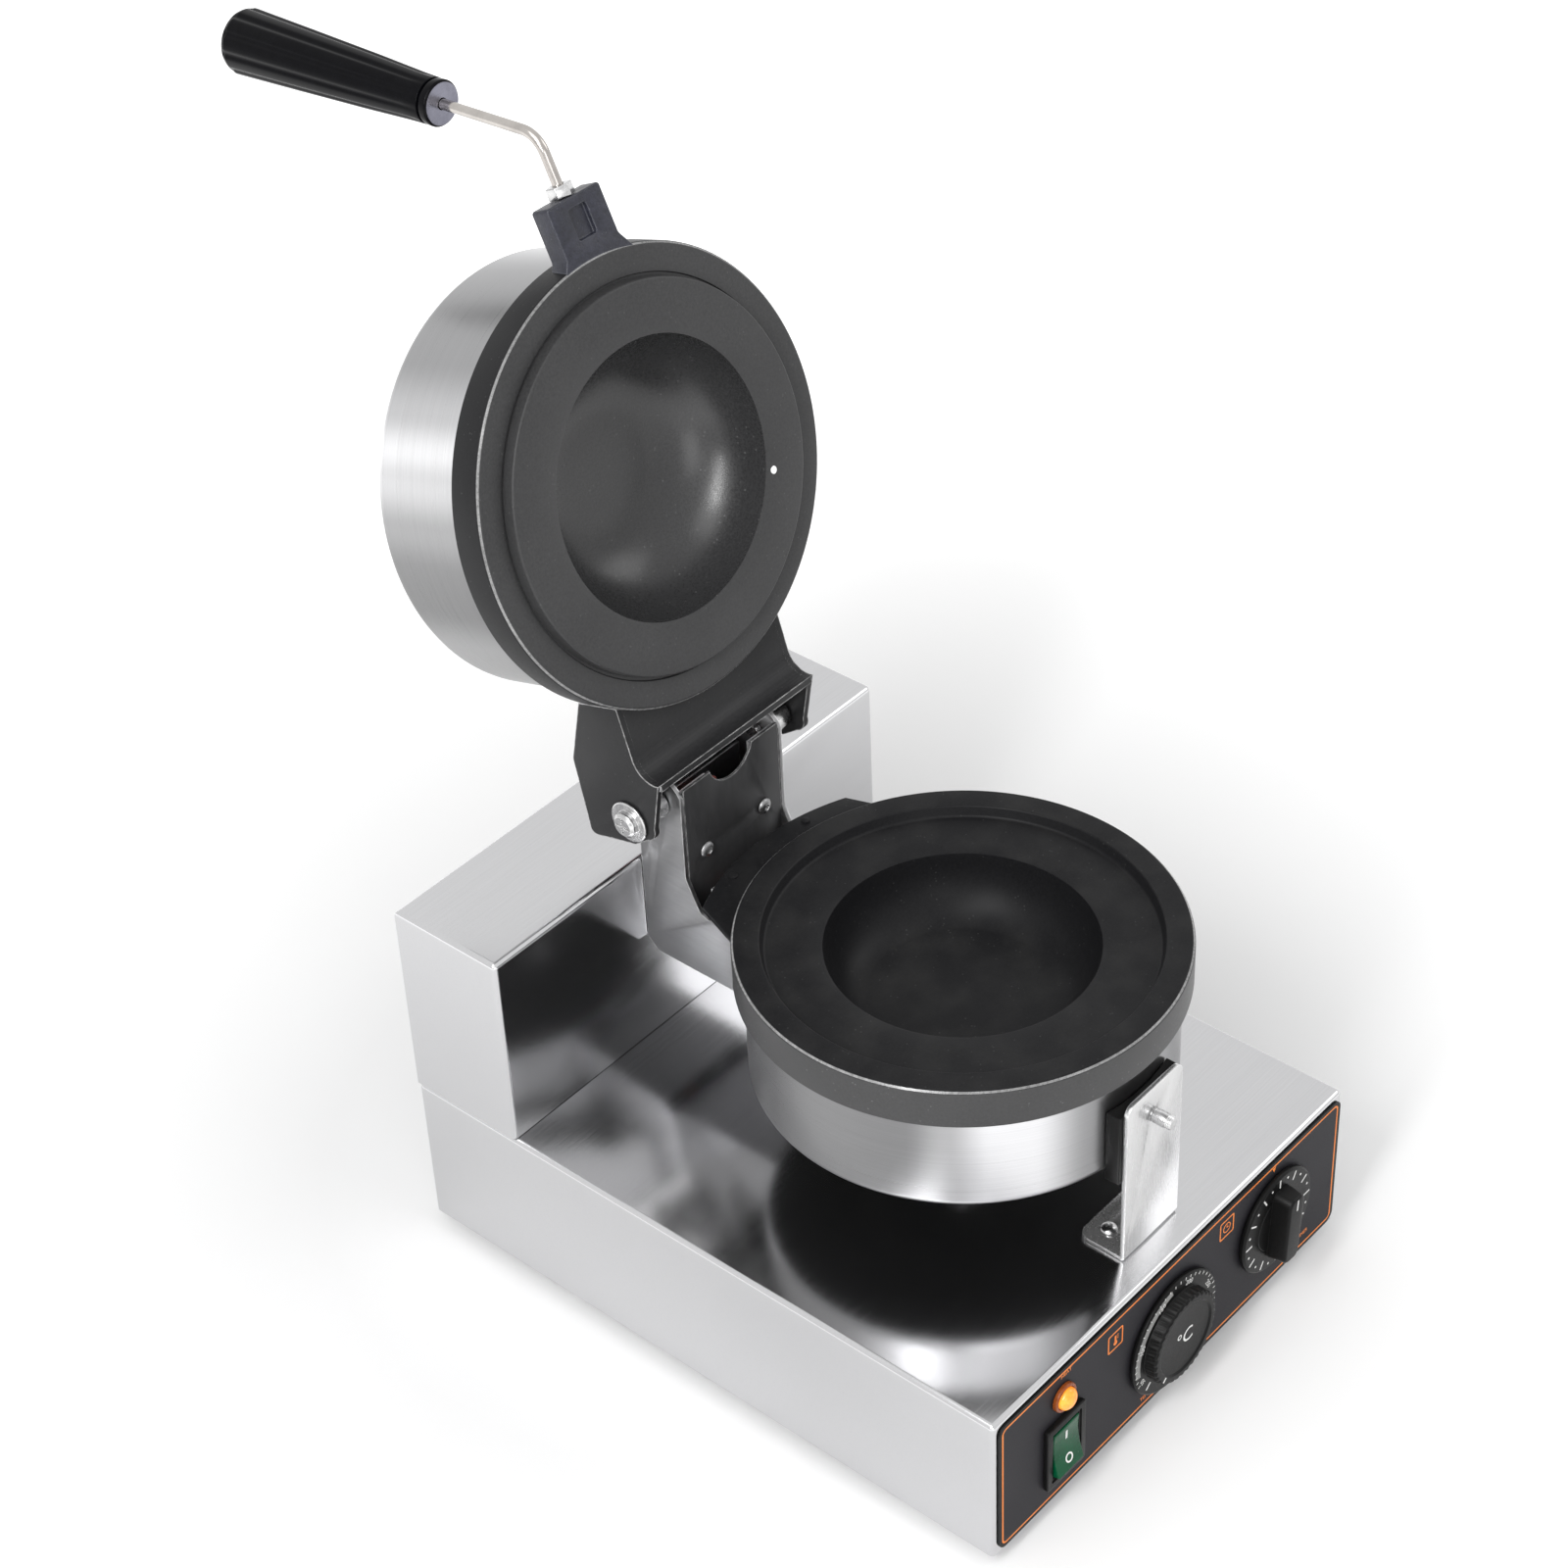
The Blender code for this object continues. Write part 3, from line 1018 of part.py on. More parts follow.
def build_hinge_bracket(root):
    """Build the bracket that joins the rear box to the lower pan and carries the hinge."""
    outline = bracket_side_outline()
    half, sheet = BRACKET_HALF_WIDTH, BRACKET_SHEET
    foot, shelf = BRACKET_FOOT, BRACKET_SHELF
    back = REAR_FACE - GAP
    front = BRACKET_FRONT_BACK + GAP
    bracket = piece_of(Shape().prism(outline, "X", -half, -half + sheet), "hinge_bracket", "steel", root)
    fuse(bracket, Shape().prism(outline, "X", half - sheet, half))
    web_top = RIM - BRACKET_WEB_DROP
    fuse(bracket, Shape().box(
        (-half + sheet / 2, back - sheet, foot + BRACKET_CHAMFER), (half - sheet / 2, back, web_top)))
    drum_back = PAN_CENTRE_BACK + DRUM_RADIUS + GAP
    fuse(bracket, Shape().box(
        (-half + sheet / 2, drum_back, foot), (half - sheet / 2, back - BRACKET_CHAMFER, foot + sheet)))
    lip_start = PAN_CENTRE_BACK + CAST_RADIUS + GAP
    inner = half - sheet / 2
    for side in (-1, 1):
        near, far = sorted((side * inner, side * (half - sheet - BRACKET_LIP)))
        fuse(bracket, Shape().box((near, lip_start, shelf - sheet), (far, COVER_FACE - GAP, shelf)))
        cover_lip_foot = COVER_SHOULDER + sheet
        fuse(bracket, Shape().box(
            (near, front, cover_lip_foot), (far, front + sheet, COVER_TOP - sheet)))
    outside = half + OVERRUN
    holes = Shape().rod((-outside, PIVOT.y, PIVOT.z), "X", HINGE_BOLT_RADIUS + GAP, 2 * outside)
    cut(bracket, holes)
    drilled = Shape().rod(
        (0, back - sheet - OVERRUN, RIM - DRUM_PORT_DEPTH), "Y", WIRE_HOLE_RADIUS, 2 * OVERRUN)
    for side in (-1, 1):
        spot = (side * COVER_SCREW_HALF_SPACING, front - OVERRUN, COVER_SCREW_HEIGHT)
        drilled.rod(spot, "Y", SCREW_RADIUS + GAP, 3 * OVERRUN)
    cut(bracket, drilled)
    taps = Shape()
    for across, reach in lobe_screw_places():
        taps.rod((across, PAN_CENTRE_BACK + reach, shelf - OVERRUN), "Z", SCREW_RADIUS + GAP, 2 * OVERRUN)
    cut(bracket, taps)
    build_bracket_cover(root)


def build_bracket_cover(root):
    """Build the front cover of the hinge bracket, with its notch for the lid's lead."""
    top = COVER_TOP
    notch_rise = math.sqrt(COVER_NOTCH_RADIUS**2 - COVER_NOTCH_HALF_WIDTH**2)
    notch_angle = math.asin(notch_rise / COVER_NOTCH_RADIUS)
    notch = arc((0, top + notch_rise), COVER_NOTCH_RADIUS, -notch_angle,
                -math.radians(180) + notch_angle, 2 * CORNER_STEPS)
    outline = [
        (-COVER_FOOT_HALF_WIDTH, RIM - COVER_FOOT_DROP), (COVER_FOOT_HALF_WIDTH, RIM - COVER_FOOT_DROP),
        (COVER_HALF_WIDTH, COVER_SHOULDER), (COVER_HALF_WIDTH, top), *notch,
        (-COVER_HALF_WIDTH, top), (-COVER_HALF_WIDTH, COVER_SHOULDER),
    ]
    shape = Shape().prism(outline, "Y", COVER_FACE, BRACKET_FRONT_BACK)
    cover = piece_of(shape, "bracket_cover", "steel", root)
    holes = Shape()
    height = COVER_SCREW_HEIGHT
    for side in (-1, 1):
        spot = (side * COVER_SCREW_HALF_SPACING, COVER_FACE - OVERRUN, height)
        holes.rod(spot, "Y", SCREW_RADIUS + GAP, 3 * OVERRUN)
    cut(cover, holes)
    for name, side in (("left", -1), ("right", 1)):
        spot = (side * COVER_SCREW_HALF_SPACING, COVER_FACE - GAP, height)
        screw(f"bracket_cover_screw_{name}", root, spot, "-Y")


def build_front_bracket(root):
    """Build the bracket in front of the lower pan, with its spacer, bolt, nut and screws."""
    half, sheet = FRONT_BRACKET_HALF_WIDTH, BRACKET_SHEET
    floor = DECK + GAP
    top = RIM - FRONT_BRACKET_TOP_DROP
    back = FRONT_BRACKET_BACK
    corner = FRONT_BRACKET_CORNER
    half_turn, quarter = math.radians(180), math.radians(90)
    upright = [
        (-half, floor), (half, floor),
        *arc((half - corner, top - corner), corner, 0, quarter, CORNER_STEPS),
        *arc((corner - half, top - corner), corner, quarter, half_turn, CORNER_STEPS),
    ]
    bracket = piece_of(Shape().prism(upright, "Y", back, back + sheet), "front_bracket", "zinc", root)
    tail = back + FRONT_BRACKET_FOOT
    foot = [
        (half, back), *arc((half - corner, tail - corner), corner, 0, quarter, CORNER_STEPS),
        *arc((corner - half, tail - corner), corner, quarter, half_turn, CORNER_STEPS), (-half, back),
    ]
    fuse(bracket, Shape().prism(foot, "Z", floor, floor + sheet))
    holes = Shape().rod((0, back - OVERRUN, BOLT_HEIGHT), "Y", FRONT_BOLT_RADIUS + GAP, 3 * OVERRUN)
    screw_back = back + FRONT_BRACKET_SCREW_BACK
    for name, side in (("left", -1), ("right", 1)):
        across = side * FRONT_BRACKET_SCREW_HALF_SPACING
        holes.rod((across, screw_back, floor - OVERRUN), "Z", SCREW_RADIUS + GAP, 3 * OVERRUN)
        screw(f"front_bracket_screw_{name}", root, (across, screw_back, floor + sheet + GAP), "Z")
    cut(bracket, holes)

    block = Shape().box(
        (-SPACER_HALF_WIDTH, back + sheet + GAP, RIM - DRUM_DEPTH - SPACER_BELOW_DRUM),
        (SPACER_HALF_WIDTH, PAN_CENTRE_BACK - DRUM_RADIUS + OVERRUN, RIM - SPACER_TOP_DROP),
    )
    spacer = piece_of(block, "front_spacer", "black_plastic", root)
    cut(spacer, Shape().rod(
        (0, PAN_CENTRE_BACK, FOOT_HEIGHT), "Z", DRUM_RADIUS + GAP, RIM, ROUND_STEPS))
    cut(spacer, Shape().rod((0, back, BOLT_HEIGHT), "Y", FRONT_BOLT_RADIUS + GAP, 5 * OVERRUN))

    head_back = PAN_CENTRE_BACK - DRUM_RADIUS + DRUM_SHEET + 2 * GAP
    tip = back - GAP - NUT_HEIGHT - FRONT_BOLT_TIP
    head = Shape().rod((0, head_back, BOLT_HEIGHT), "Y", FRONT_BOLT_HEAD_RADIUS, FRONT_BOLT_HEAD, 6)
    bolt = piece_of(head, "front_bolt", "zinc", root)
    fuse(bolt, Shape().rod((0, tip, BOLT_HEIGHT), "Y", FRONT_BOLT_RADIUS, head_back - tip + GAP))
    nut = piece_of(
        Shape().rod((0, back - GAP - NUT_HEIGHT, BOLT_HEIGHT), "Y", NUT_RADIUS, NUT_HEIGHT, 6),
        "front_nut", "zinc", root)
    cut(nut, Shape().rod((0, tip, BOLT_HEIGHT), "Y", FRONT_BOLT_RADIUS + GAP, 4 * OVERRUN))


def yoke_ear_outline():
    """Outline one ear in the closed lid, as distances behind and above the hinge axis."""
    reach = LID_CENTRE.y
    lip_bend = (reach + YOKE_WEB_END, LID_CENTRE.z + YOKE_WEB_DEPTH - YOKE_BEND)
    quarter = math.radians(90)
    start = reach + CAST_RADIUS * math.cos(math.asin(YOKE_HALF_WIDTH / CAST_RADIUS)) - OVERRUN
    toe = (EAR_TOE_BACK, -EAR_TOE_FALL)
    toe_centre = (toe[0] - EAR_TOE_RADIUS, toe[1] + EAR_TOE_RADIUS)
    return [
        (start, LID_CENTRE.z + YOKE_WEB_DEPTH),
        *arc(lip_bend, YOKE_BEND, quarter, 0, YOKE_BEND_STEPS),
        *arc(toe_centre, EAR_TOE_RADIUS, -quarter, 0, CORNER_STEPS),
        (EAR_HEEL_BACK, EAR_HEEL_RISE), (EAR_TAIL_BACK, EAR_TAIL_RISE),
        (-EAR_BACK_FRONT, EAR_BACK_RISE), (start, EAR_TOP_RISE),
    ]


def build_yoke(hinge):
    """Build the yoke that carries the lid: two ears, a bent web, a stop bar and screws."""
    half, sheet = YOKE_HALF_WIDTH, YOKE_SHEET
    outline = yoke_ear_outline()
    yoke = piece_of(Shape().prism(outline, "X", -half, -half + sheet), "lid_yoke", "dark_paint", hinge)
    fuse(yoke, Shape().prism(outline, "X", half - sheet, half))
    quarter = math.radians(90)
    front = LID_CENTRE.z + YOKE_WEB_DEPTH
    bend = (LID_CENTRE.y + YOKE_WEB_END, front - YOKE_BEND)
    start = LID_CENTRE.y + STEP_RADIUS
    web = [
        (start, front), *arc(bend, YOKE_BEND, quarter, 0, YOKE_BEND_STEPS),
        *arc(bend, YOKE_BEND + sheet, 0, quarter, YOKE_BEND_STEPS), (start, front + sheet),
    ]
    fuse(yoke, Shape().prism(web, "X", -half + sheet / 2, half - sheet / 2))
    cut(yoke, Shape().rod(
        LID_CENTRE, "Z", CAST_RADIUS + GAP, DRUM_DEPTH, ROUND_STEPS + ROUND_STEPS))
    holes = Shape().rod((-half - OVERRUN, 0, 0), "X", HINGE_BOLT_RADIUS + GAP, 2 * (half + OVERRUN))
    screw_back = LID_CENTRE.y + YOKE_SCREW_REACH
    for side in (-1, 1):
        spot = (side * YOKE_SCREW_HALF_SPACING, screw_back, front + YOKE_SCREW_SKIN)
        holes.rod(spot, "Z", SCREW_RADIUS + GAP, sheet + OVERRUN)
    cut(yoke, holes)
    head = LID_CENTRE.z + CAST_DEPTH + GAP
    for name, side in (("left", -1), ("right", 1)):
        spot = (side * YOKE_SCREW_HALF_SPACING, screw_back, head)
        screw(f"yoke_screw_{name}", hinge, spot, "Z", CAST_DEPTH - YOKE_WEB_DEPTH - YOKE_SCREW_SKIN)

    inner = half - sheet - GAP
    rest = Vector((0, REAR_FACE - GAP, PIVOT.z - STOP_BAR_BELOW_AXIS)) - PIVOT
    bar = Shape().box(
        (-inner, rest.y + GAP, rest.z - STOP_BAR_WIDTH), (inner, rest.y + GAP + STOP_BAR_THICKNESS, rest.z))
    piece_of(bar, "stop_bar", "dark_paint", hinge, rotation=(LID_OPENING, 0, 0))


def build_upper_pan(hinge):
    """Build the lid's pan with its lug, handle, lobe and vent plug."""
    carrier = pivot_empty("upper_pan", hinge, LID_CENTRE)
    casting, _ = build_pan("upper", carrier, LEAD_RADIUS + 3 * GAP)
    lobe = lobe_outline(LID_LOBE_REACH, LID_LOBE_HALF_WIDTH, LID_LOBE_HALF_WIDTH, LID_LOBE_STEPS)
    lobe_front = YOKE_WEB_DEPTH + YOKE_SHEET + GAP
    fuse(casting, Shape().prism(lobe, "Z", lobe_front, CAST_DEPTH - GAP))
    lug = [
        (-LUG_HALF_WIDTH, -LUG_LENGTH), (LUG_HALF_WIDTH, -LUG_LENGTH), (LUG_HALF_WIDTH, -LUG_NECK),
        (LUG_ROOT_HALF_WIDTH, 0), (-LUG_ROOT_HALF_WIDTH, 0), (-LUG_HALF_WIDTH, -LUG_NECK),
    ]
    fuse(casting, Shape().absorb(Shape().prism(lug, "Z", 0, LUG_THICKNESS).mesh, LUG_FRAME))
    bore = Shape().rod((0, -LUG_LENGTH - OVERRUN, ROD_DEPTH), "Y", ROD_RADIUS + GAP, ROD_SOCKET + OVERRUN)
    pocket_end = (LUG_LENGTH + LUG_NECK + LUG_POCKET_HEIGHT) / 2
    bore.box(
        (-LUG_POCKET_WIDTH / 2, -pocket_end, -OVERRUN),
        (LUG_POCKET_WIDTH / 2, LUG_POCKET_HEIGHT - pocket_end, LUG_POCKET_DEPTH),
    )
    holes = Shape().absorb(bore.mesh, LUG_FRAME)
    for side in (-1, 1):
        spot = (side * YOKE_SCREW_HALF_SPACING, YOKE_SCREW_REACH, lobe_front - OVERRUN)
        holes.rod(spot, "Z", SCREW_RADIUS + GAP, 4 * OVERRUN)
    holes.rod(PLUG_SPOT, "Z", PLUG_RADIUS / 2 + GAP, 4 * OVERRUN)
    cut(casting, holes)

    plug_face = RECESS - GAP - PLUG_PROUD
    plug = [
        (0, plug_face), (PLUG_RADIUS, plug_face), (PLUG_RADIUS, RECESS - GAP),
        (PLUG_RADIUS / 2, RECESS - GAP), (PLUG_RADIUS / 2, RECESS + PLUG_SHANK), (0, RECESS + PLUG_SHANK),
    ]
    piece_of(Shape().turned(plug, steps=SMALL_STEPS), "vent_plug", "stainless", carrier, PLUG_SPOT)
    build_handle(carrier)


def build_handle(carrier):
    """Build the cranked rod in the lug, its lock nut and the fluted grip."""
    mount = pivot_empty("lug", carrier, LUG_FRAME.translation, (-LUG_LEAN, 0, 0))
    quarter = math.radians(90)
    bend = arc((ROD_BEND_REACH, ROD_DEPTH + ROD_BEND_RADIUS), ROD_BEND_RADIUS,
               -quarter, GRIP_TILT - quarter, ROD_BEND_STEPS)
    route = [(0, ROD_SOCKET - GAP - LUG_LENGTH, ROD_DEPTH)]
    route += [(0, -reach, depth) for reach, depth in bend]
    route.append(tuple(grip_axis_point(ROD_IN_GRIP - GAP)))
    tube("handle_rod", route, ROD_RADIUS, "zinc", mount)

    nut_back = -LUG_LENGTH - GAP - NUT_HEIGHT
    nut = piece_of(
        Shape().rod((0, nut_back, ROD_DEPTH), "Y", NUT_RADIUS, NUT_HEIGHT, 6), "handle_nut", "zinc", mount)
    cut(nut, Shape().rod(
        (0, nut_back - OVERRUN, ROD_DEPTH), "Y", ROD_RADIUS + GAP, NUT_HEIGHT + 2 * OVERRUN))

    collar = GRIP_FRONT_RADIUS
    groove = collar - GRIP_GROOVE_DEPTH
    stations = [
        (0, collar - GRIP_END_ROUND / 2, 0), (GRIP_END_ROUND / 2, collar, 0), (GRIP_COLLAR, collar, 0),
        (GRIP_COLLAR, groove, 0), (GRIP_COLLAR + GRIP_GROOVE, groove, 0),
        (GRIP_COLLAR + GRIP_GROOVE, collar, GRIP_FLUTE_DEPTH),
        (GRIP_LENGTH - GRIP_END_ROUND, GRIP_END_RADIUS, GRIP_FLUTE_DEPTH),
        (GRIP_LENGTH, GRIP_END_RADIUS - GRIP_END_ROUND, GRIP_FLUTE_DEPTH),
    ]
    grip = piece_of(fluted(stations, GRIP_FLUTES), "handle_grip", "gloss_black", mount,
                    grip_axis_point(0), (quarter - GRIP_TILT, 0, 0))
    cut(grip, Shape().rod((0, 0, -OVERRUN), "Z", ROD_RADIUS + GAP, ROD_IN_GRIP + OVERRUN))


def fluted(stations, flutes):
    """Loft rings of height, radius and flute depth into one closed grip."""
    shape = Shape()
    mesh = shape.mesh
    count = 4 * flutes
    rings = []
    for height, radius, depth in stations:
        ring = []
        for i in range(count):
            angle = math.tau * i / count
            reach = radius - depth * (1 + math.cos(angle * flutes)) / 2
            ring.append(mesh.verts.new((reach * math.cos(angle), reach * math.sin(angle), height)))
        rings.append(ring)
    for lower, upper in zip(rings, rings[1:]):
        for i in range(count):
            j = (i + 1) % count
            mesh.faces.new((lower[i], lower[j], upper[j], upper[i]))
    mesh.faces.new(rings[0])
    mesh.faces.new(rings[-1])
    return shape


def build_hinge_bolts(root):
    """Put a washer-head bolt and a bush through each side of the hinge."""
    ear_outer = YOKE_HALF_WIDTH + GAP
    tip = ear_outer - (BRACKET_HALF_WIDTH - BRACKET_SHEET) + HINGE_BOLT_TIP
    bolt = [
        (0, -tip), (HINGE_BOLT_RADIUS, -tip), (HINGE_BOLT_RADIUS, 0), (HINGE_WASHER_RADIUS, 0),
        (HINGE_WASHER_RADIUS, HINGE_WASHER), (HINGE_HEAD_RADIUS, HINGE_WASHER),
        (HINGE_HEAD_RADIUS, HINGE_WASHER + HINGE_HEAD / 2),
        (HINGE_HEAD_RADIUS - HINGE_HEAD / 2, HINGE_WASHER + HINGE_HEAD), (0, HINGE_WASHER + HINGE_HEAD),
    ]
    inner, outer = BRACKET_HALF_WIDTH + GAP, YOKE_HALF_WIDTH - YOKE_SHEET - GAP
    bore = HINGE_BOLT_RADIUS + GAP
    bush = [(bore, inner), (HINGE_BUSH_RADIUS, inner), (HINGE_BUSH_RADIUS, outer), (bore, outer)]
    for name, axis, side in (("left", "-X", -1), ("right", "X", 1)):
        spot = along(axis, PIVOT + Vector((side * ear_outer, 0, 0)))
        steps = SMALL_STEPS + SMALL_STEPS // 2
        piece_of(Shape().turned(bolt, spot, steps), f"hinge_bolt_{name}", "zinc", root)
        ring = Shape().turned(bush, along(axis, PIVOT), steps, ring=True)
        piece_of(ring, f"hinge_bush_{name}", "zinc", root)


def build_leads(root, hinge):
    """Lay the leads and the probe's capillary through the hinge bracket."""
    port = RIM - DRUM_PORT_DEPTH
    drum_back = PAN_CENTRE_BACK + DRUM_RADIUS
    inside = REAR_FACE + REAR_BOX_DEPTH / 2
    floor = FOOT_HEIGHT + SHEET + BLOCK_HEIGHT
    apart = LEAD_RADIUS + 2 * GAP
    tube("lid_supply_lead", smooth_route([
        (apart, inside, port - WIRE_HOLE_RADIUS),
        (apart, REAR_FACE, port),
        (apart, PIVOT.y, port + 4 * LEAD_RADIUS),
        (0, PIVOT.y, PIVOT.z - 3 * LEAD_RADIUS),
    ], 4), LEAD_RADIUS, "silicone", root)
    lid_port = LID_CENTRE + Vector((0, DRUM_RADIUS - LEAD_RADIUS, DRUM_PORT_DEPTH))
    start = lid_port.normalized() * 2 * LEAD_RADIUS
    outside = lid_port + Vector((0, 3 * LEAD_RADIUS, 0))
    rise = smooth_route([start, (start + outside) / 2, outside, lid_port], 3)
    tube("lid_lead", rise, LEAD_RADIUS, "silicone", hinge)
    tube("pan_lead", smooth_route([
        (-LEAD_RADIUS, drum_back - 2 * LEAD_RADIUS, port),
        (-LEAD_RADIUS, drum_back + 2 * LEAD_RADIUS, port),
        (-apart, REAR_FACE, port),
        (BLOCK_ACROSS / 2, inside, DECK + 4 * LEAD_RADIUS),
        (BLOCK_ACROSS, BLOCK_BACK, floor + 2 * LEAD_RADIUS),
    ], 4), LEAD_RADIUS, "silicone", root)


def main():
    """Clear the scene and build the machine under one frame at its origin."""
    for old in list(bpy.data.objects):
        bpy.data.objects.remove(old)
    root = pivot_empty("machine", None, (0, -overall_middle(), 0))
    hinge = pivot_empty("lid_hinge", root, PIVOT, (-LID_OPENING, 0, 0))
    build_base(root)
    build_rear_box(root)
    build_controls(root)
    build_terminal_block(root)
    build_lower_pan(root)
    build_hinge_bracket(root)
    build_front_bracket(root)
    build_hinge_bolts(root)
    build_yoke(hinge)
    build_upper_pan(hinge)
    build_leads(root, hinge)


main()
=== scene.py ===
"""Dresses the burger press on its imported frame: cabinet, pans, hinge, handle and controls.

Every piece is modelled at its real size, in the place where the frame has it. Lengths are
metres, +Z is up and the control panel faces -Y. A pan's own frame has its rim plane at zero,
its depth along +Z and its hinge towards +Y, so both pans come from one set of sizes.
"""
import logging
import math
from dataclasses import dataclass, field, replace
from enum import Enum
from typing import Callable, Optional, Sequence

import bmesh
import bpy
from mathutils import Matrix, Vector


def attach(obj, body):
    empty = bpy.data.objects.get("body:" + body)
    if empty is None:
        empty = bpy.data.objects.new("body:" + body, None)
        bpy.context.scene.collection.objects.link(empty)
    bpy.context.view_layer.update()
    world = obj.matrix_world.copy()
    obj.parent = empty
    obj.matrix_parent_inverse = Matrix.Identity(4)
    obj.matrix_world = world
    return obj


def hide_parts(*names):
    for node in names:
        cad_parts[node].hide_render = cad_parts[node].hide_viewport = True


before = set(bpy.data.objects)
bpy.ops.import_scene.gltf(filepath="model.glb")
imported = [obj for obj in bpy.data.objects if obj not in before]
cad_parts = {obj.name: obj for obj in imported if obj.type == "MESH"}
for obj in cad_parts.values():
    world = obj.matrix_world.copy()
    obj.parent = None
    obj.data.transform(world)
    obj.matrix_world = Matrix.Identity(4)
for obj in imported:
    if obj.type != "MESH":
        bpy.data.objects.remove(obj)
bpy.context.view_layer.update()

logging.basicConfig(level=logging.INFO, format="%(message)s")
LOG = logging.getLogger("press")

Flat = tuple[float, float]
Point = tuple[float, float, float]
Colour = tuple[float, float, float]
Piece = bpy.types.Object
Material = bpy.types.Material
Tree = bpy.types.NodeTree
Test = Callable[[Vector, Vector], bool]

MM = 0.001
FRONT_WALL = -243.65035 * MM
PAN_BACK = 113 * MM
RIM = 203 * MM
DECK = 87 * MM
GAP = 0.3 * MM
SCREW_HOLE = 2.3 * MM
BOLT_HOLE = 3.3 * MM
PORT_RADIUS = 9 * MM

# These are in millimetres, like the outlines and places that they are used in.
PIVOT_BACK = 252
PIVOT_HEIGHT = 226
HINGE_HOLE = 4.3
DRUM_ROOM = 92.3
CASTING_ROOM = 96.8
LID_PAN_BACK = -139
LID_RIM_HEIGHT = -22.6
LOBE_SCREWS = 24
LOBE_SCREW_BACK = 106
YOKE_SCREWS = 20
YOKE_SCREW_BACK = 101.5
PORT_HEIGHT = 158
CONTROL_HOLES = ((-80.5, 69, 5.3), (-4.4, 44.024, 3.3), (71, 51.45, 3.3))

OPEN_ANGLE = 107
DUST_COLOUR = (0.5, 0.49, 0.46)
SIDES = (("left", -1), ("right", 1))
PIVOT = Vector((0, PIVOT_BACK * MM + FRONT_WALL, PIVOT_HEIGHT * MM))
LOWER_PAN = Matrix.Translation((0, PAN_BACK + FRONT_WALL, RIM)) @ Matrix.Rotation(math.pi, 4, "Y")
HINGE = Matrix.Translation(PIVOT) @ Matrix.Rotation(-math.radians(OPEN_ANGLE), 4, "X")
UPPER_PAN = HINGE @ Matrix.Translation((0, LID_PAN_BACK * MM, LID_RIM_HEIGHT * MM))
LUG = (
    UPPER_PAN @ Matrix.Translation((5 * MM, -92 * MM, 0.3 * MM))
    @ Matrix.Rotation(-math.radians(8), 4, "X"))
SIDEWAYS = Matrix(((0, 0, 1, 0), (1, 0, 0, 0), (0, 1, 0, 0), (0, 0, 0, 1)))


class Body(Enum):
    """The bodies of the frame that pieces ride on."""

    BASE = "base"
    LID = "lid"
    ROCKER = "rocker"
    THERMOSTAT = "thermostat_dial"
    TIMER = "timer_dial"


class Slot(Enum):
    """The record's material slots."""

    STAINLESS = "stainless"
    STEEL = "steel"
    ZINC = "zinc"
    BLACK = "black_plastic"
    OVERLAY = "overlay"
    RUBBER = "rubber"
    GRIP = "gloss_black"
    AMBER = "amber"
    PAINT = "dark_paint"
    CAST = "cast"
    GREEN = "green"


class Pick(Enum):
    """What an edit-mode selection is made of."""

    VERTS = "VERT"
    EDGES = "EDGE"
    FACES = "FACE"


def millimetres(*values: float) -> tuple[float, ...]:
    """Give lengths in metres for lengths in millimetres."""
    return tuple(value * MM for value in values)


def arc(centre: Flat, radius: float, first: float, last: float, steps: int) -> list[Flat]:
    """Give points on an arc.

    Args:
        centre: middle of the arc.
        radius: radius of the arc.
        first: angle of the first point, in degrees.
        last: angle of the last point, in degrees.
        steps: number of stretches between points.

    Returns:
        The points, ends included.
    """
    angles = [math.radians(first + (last - first) * i / steps) for i in range(steps + 1)]
    return [(centre[0] + radius * math.cos(a), centre[1] + radius * math.sin(a)) for a in angles]


def rounded_box(
    half_width: float, low: float, high: float, radius: float, steps: int = 8,
) -> list[Flat]:
    """Give the outline of a rectangle with round corners, centred across.

    Args:
        half_width: half of its width.
        low: height of its lower edge.
        high: height of its upper edge.
        radius: radius of its corners.
        steps: number of stretches in each corner.

    Returns:
        The points, once round.
    """
    inner, bottom, top = half_width - radius, low + radius, high - radius
    return [
        *arc((inner, bottom), radius, -90, 0, steps), *arc((inner, top), radius, 0, 90, steps),
        *arc((-inner, top), radius, 90, 180, steps), *arc((-inner, bottom), radius, 180, 270, steps),
    ]


def filleted(corners: Sequence[Point], steps: int = 4, closed: bool = False) -> list[Flat]:
    """Round the corners of a path.

    Args:
        corners: the path's corners as (x, y, corner radius), in millimetres.
        steps: stretches in each round corner.
        closed: whether the last corner joins the first.

    Returns:
        The path's points in metres.
    """
    path: list[Flat] = []
    count = len(corners)
    for i, (x, y, radius) in enumerate(corners):
        here = Vector((x, y))
        if radius <= 0 or (not closed and i in (0, count - 1)):
            path.append((x * MM, y * MM))
            continue
        before, after = corners[i - 1], corners[(i + 1) % count]
        back = (Vector(before[:2]) - here).normalized()
        ahead = (Vector(after[:2]) - here).normalized()
        opening = back.angle(ahead)
        centre = here + (back + ahead).normalized() * (radius / math.sin(opening / 2))
        reach = radius / math.tan(opening / 2)
        start, end = here + back * reach - centre, here + ahead * reach - centre
        sweep = math.pi - opening
        for k in range(steps + 1):
            share = k / steps
            spoke = start * math.sin((1 - share) * sweep) + end * math.sin(share * sweep)
            spoke = spoke / math.sin(sweep)
            path.append(((centre.x + spoke.x) * MM, (centre.y + spoke.y) * MM))
    return path


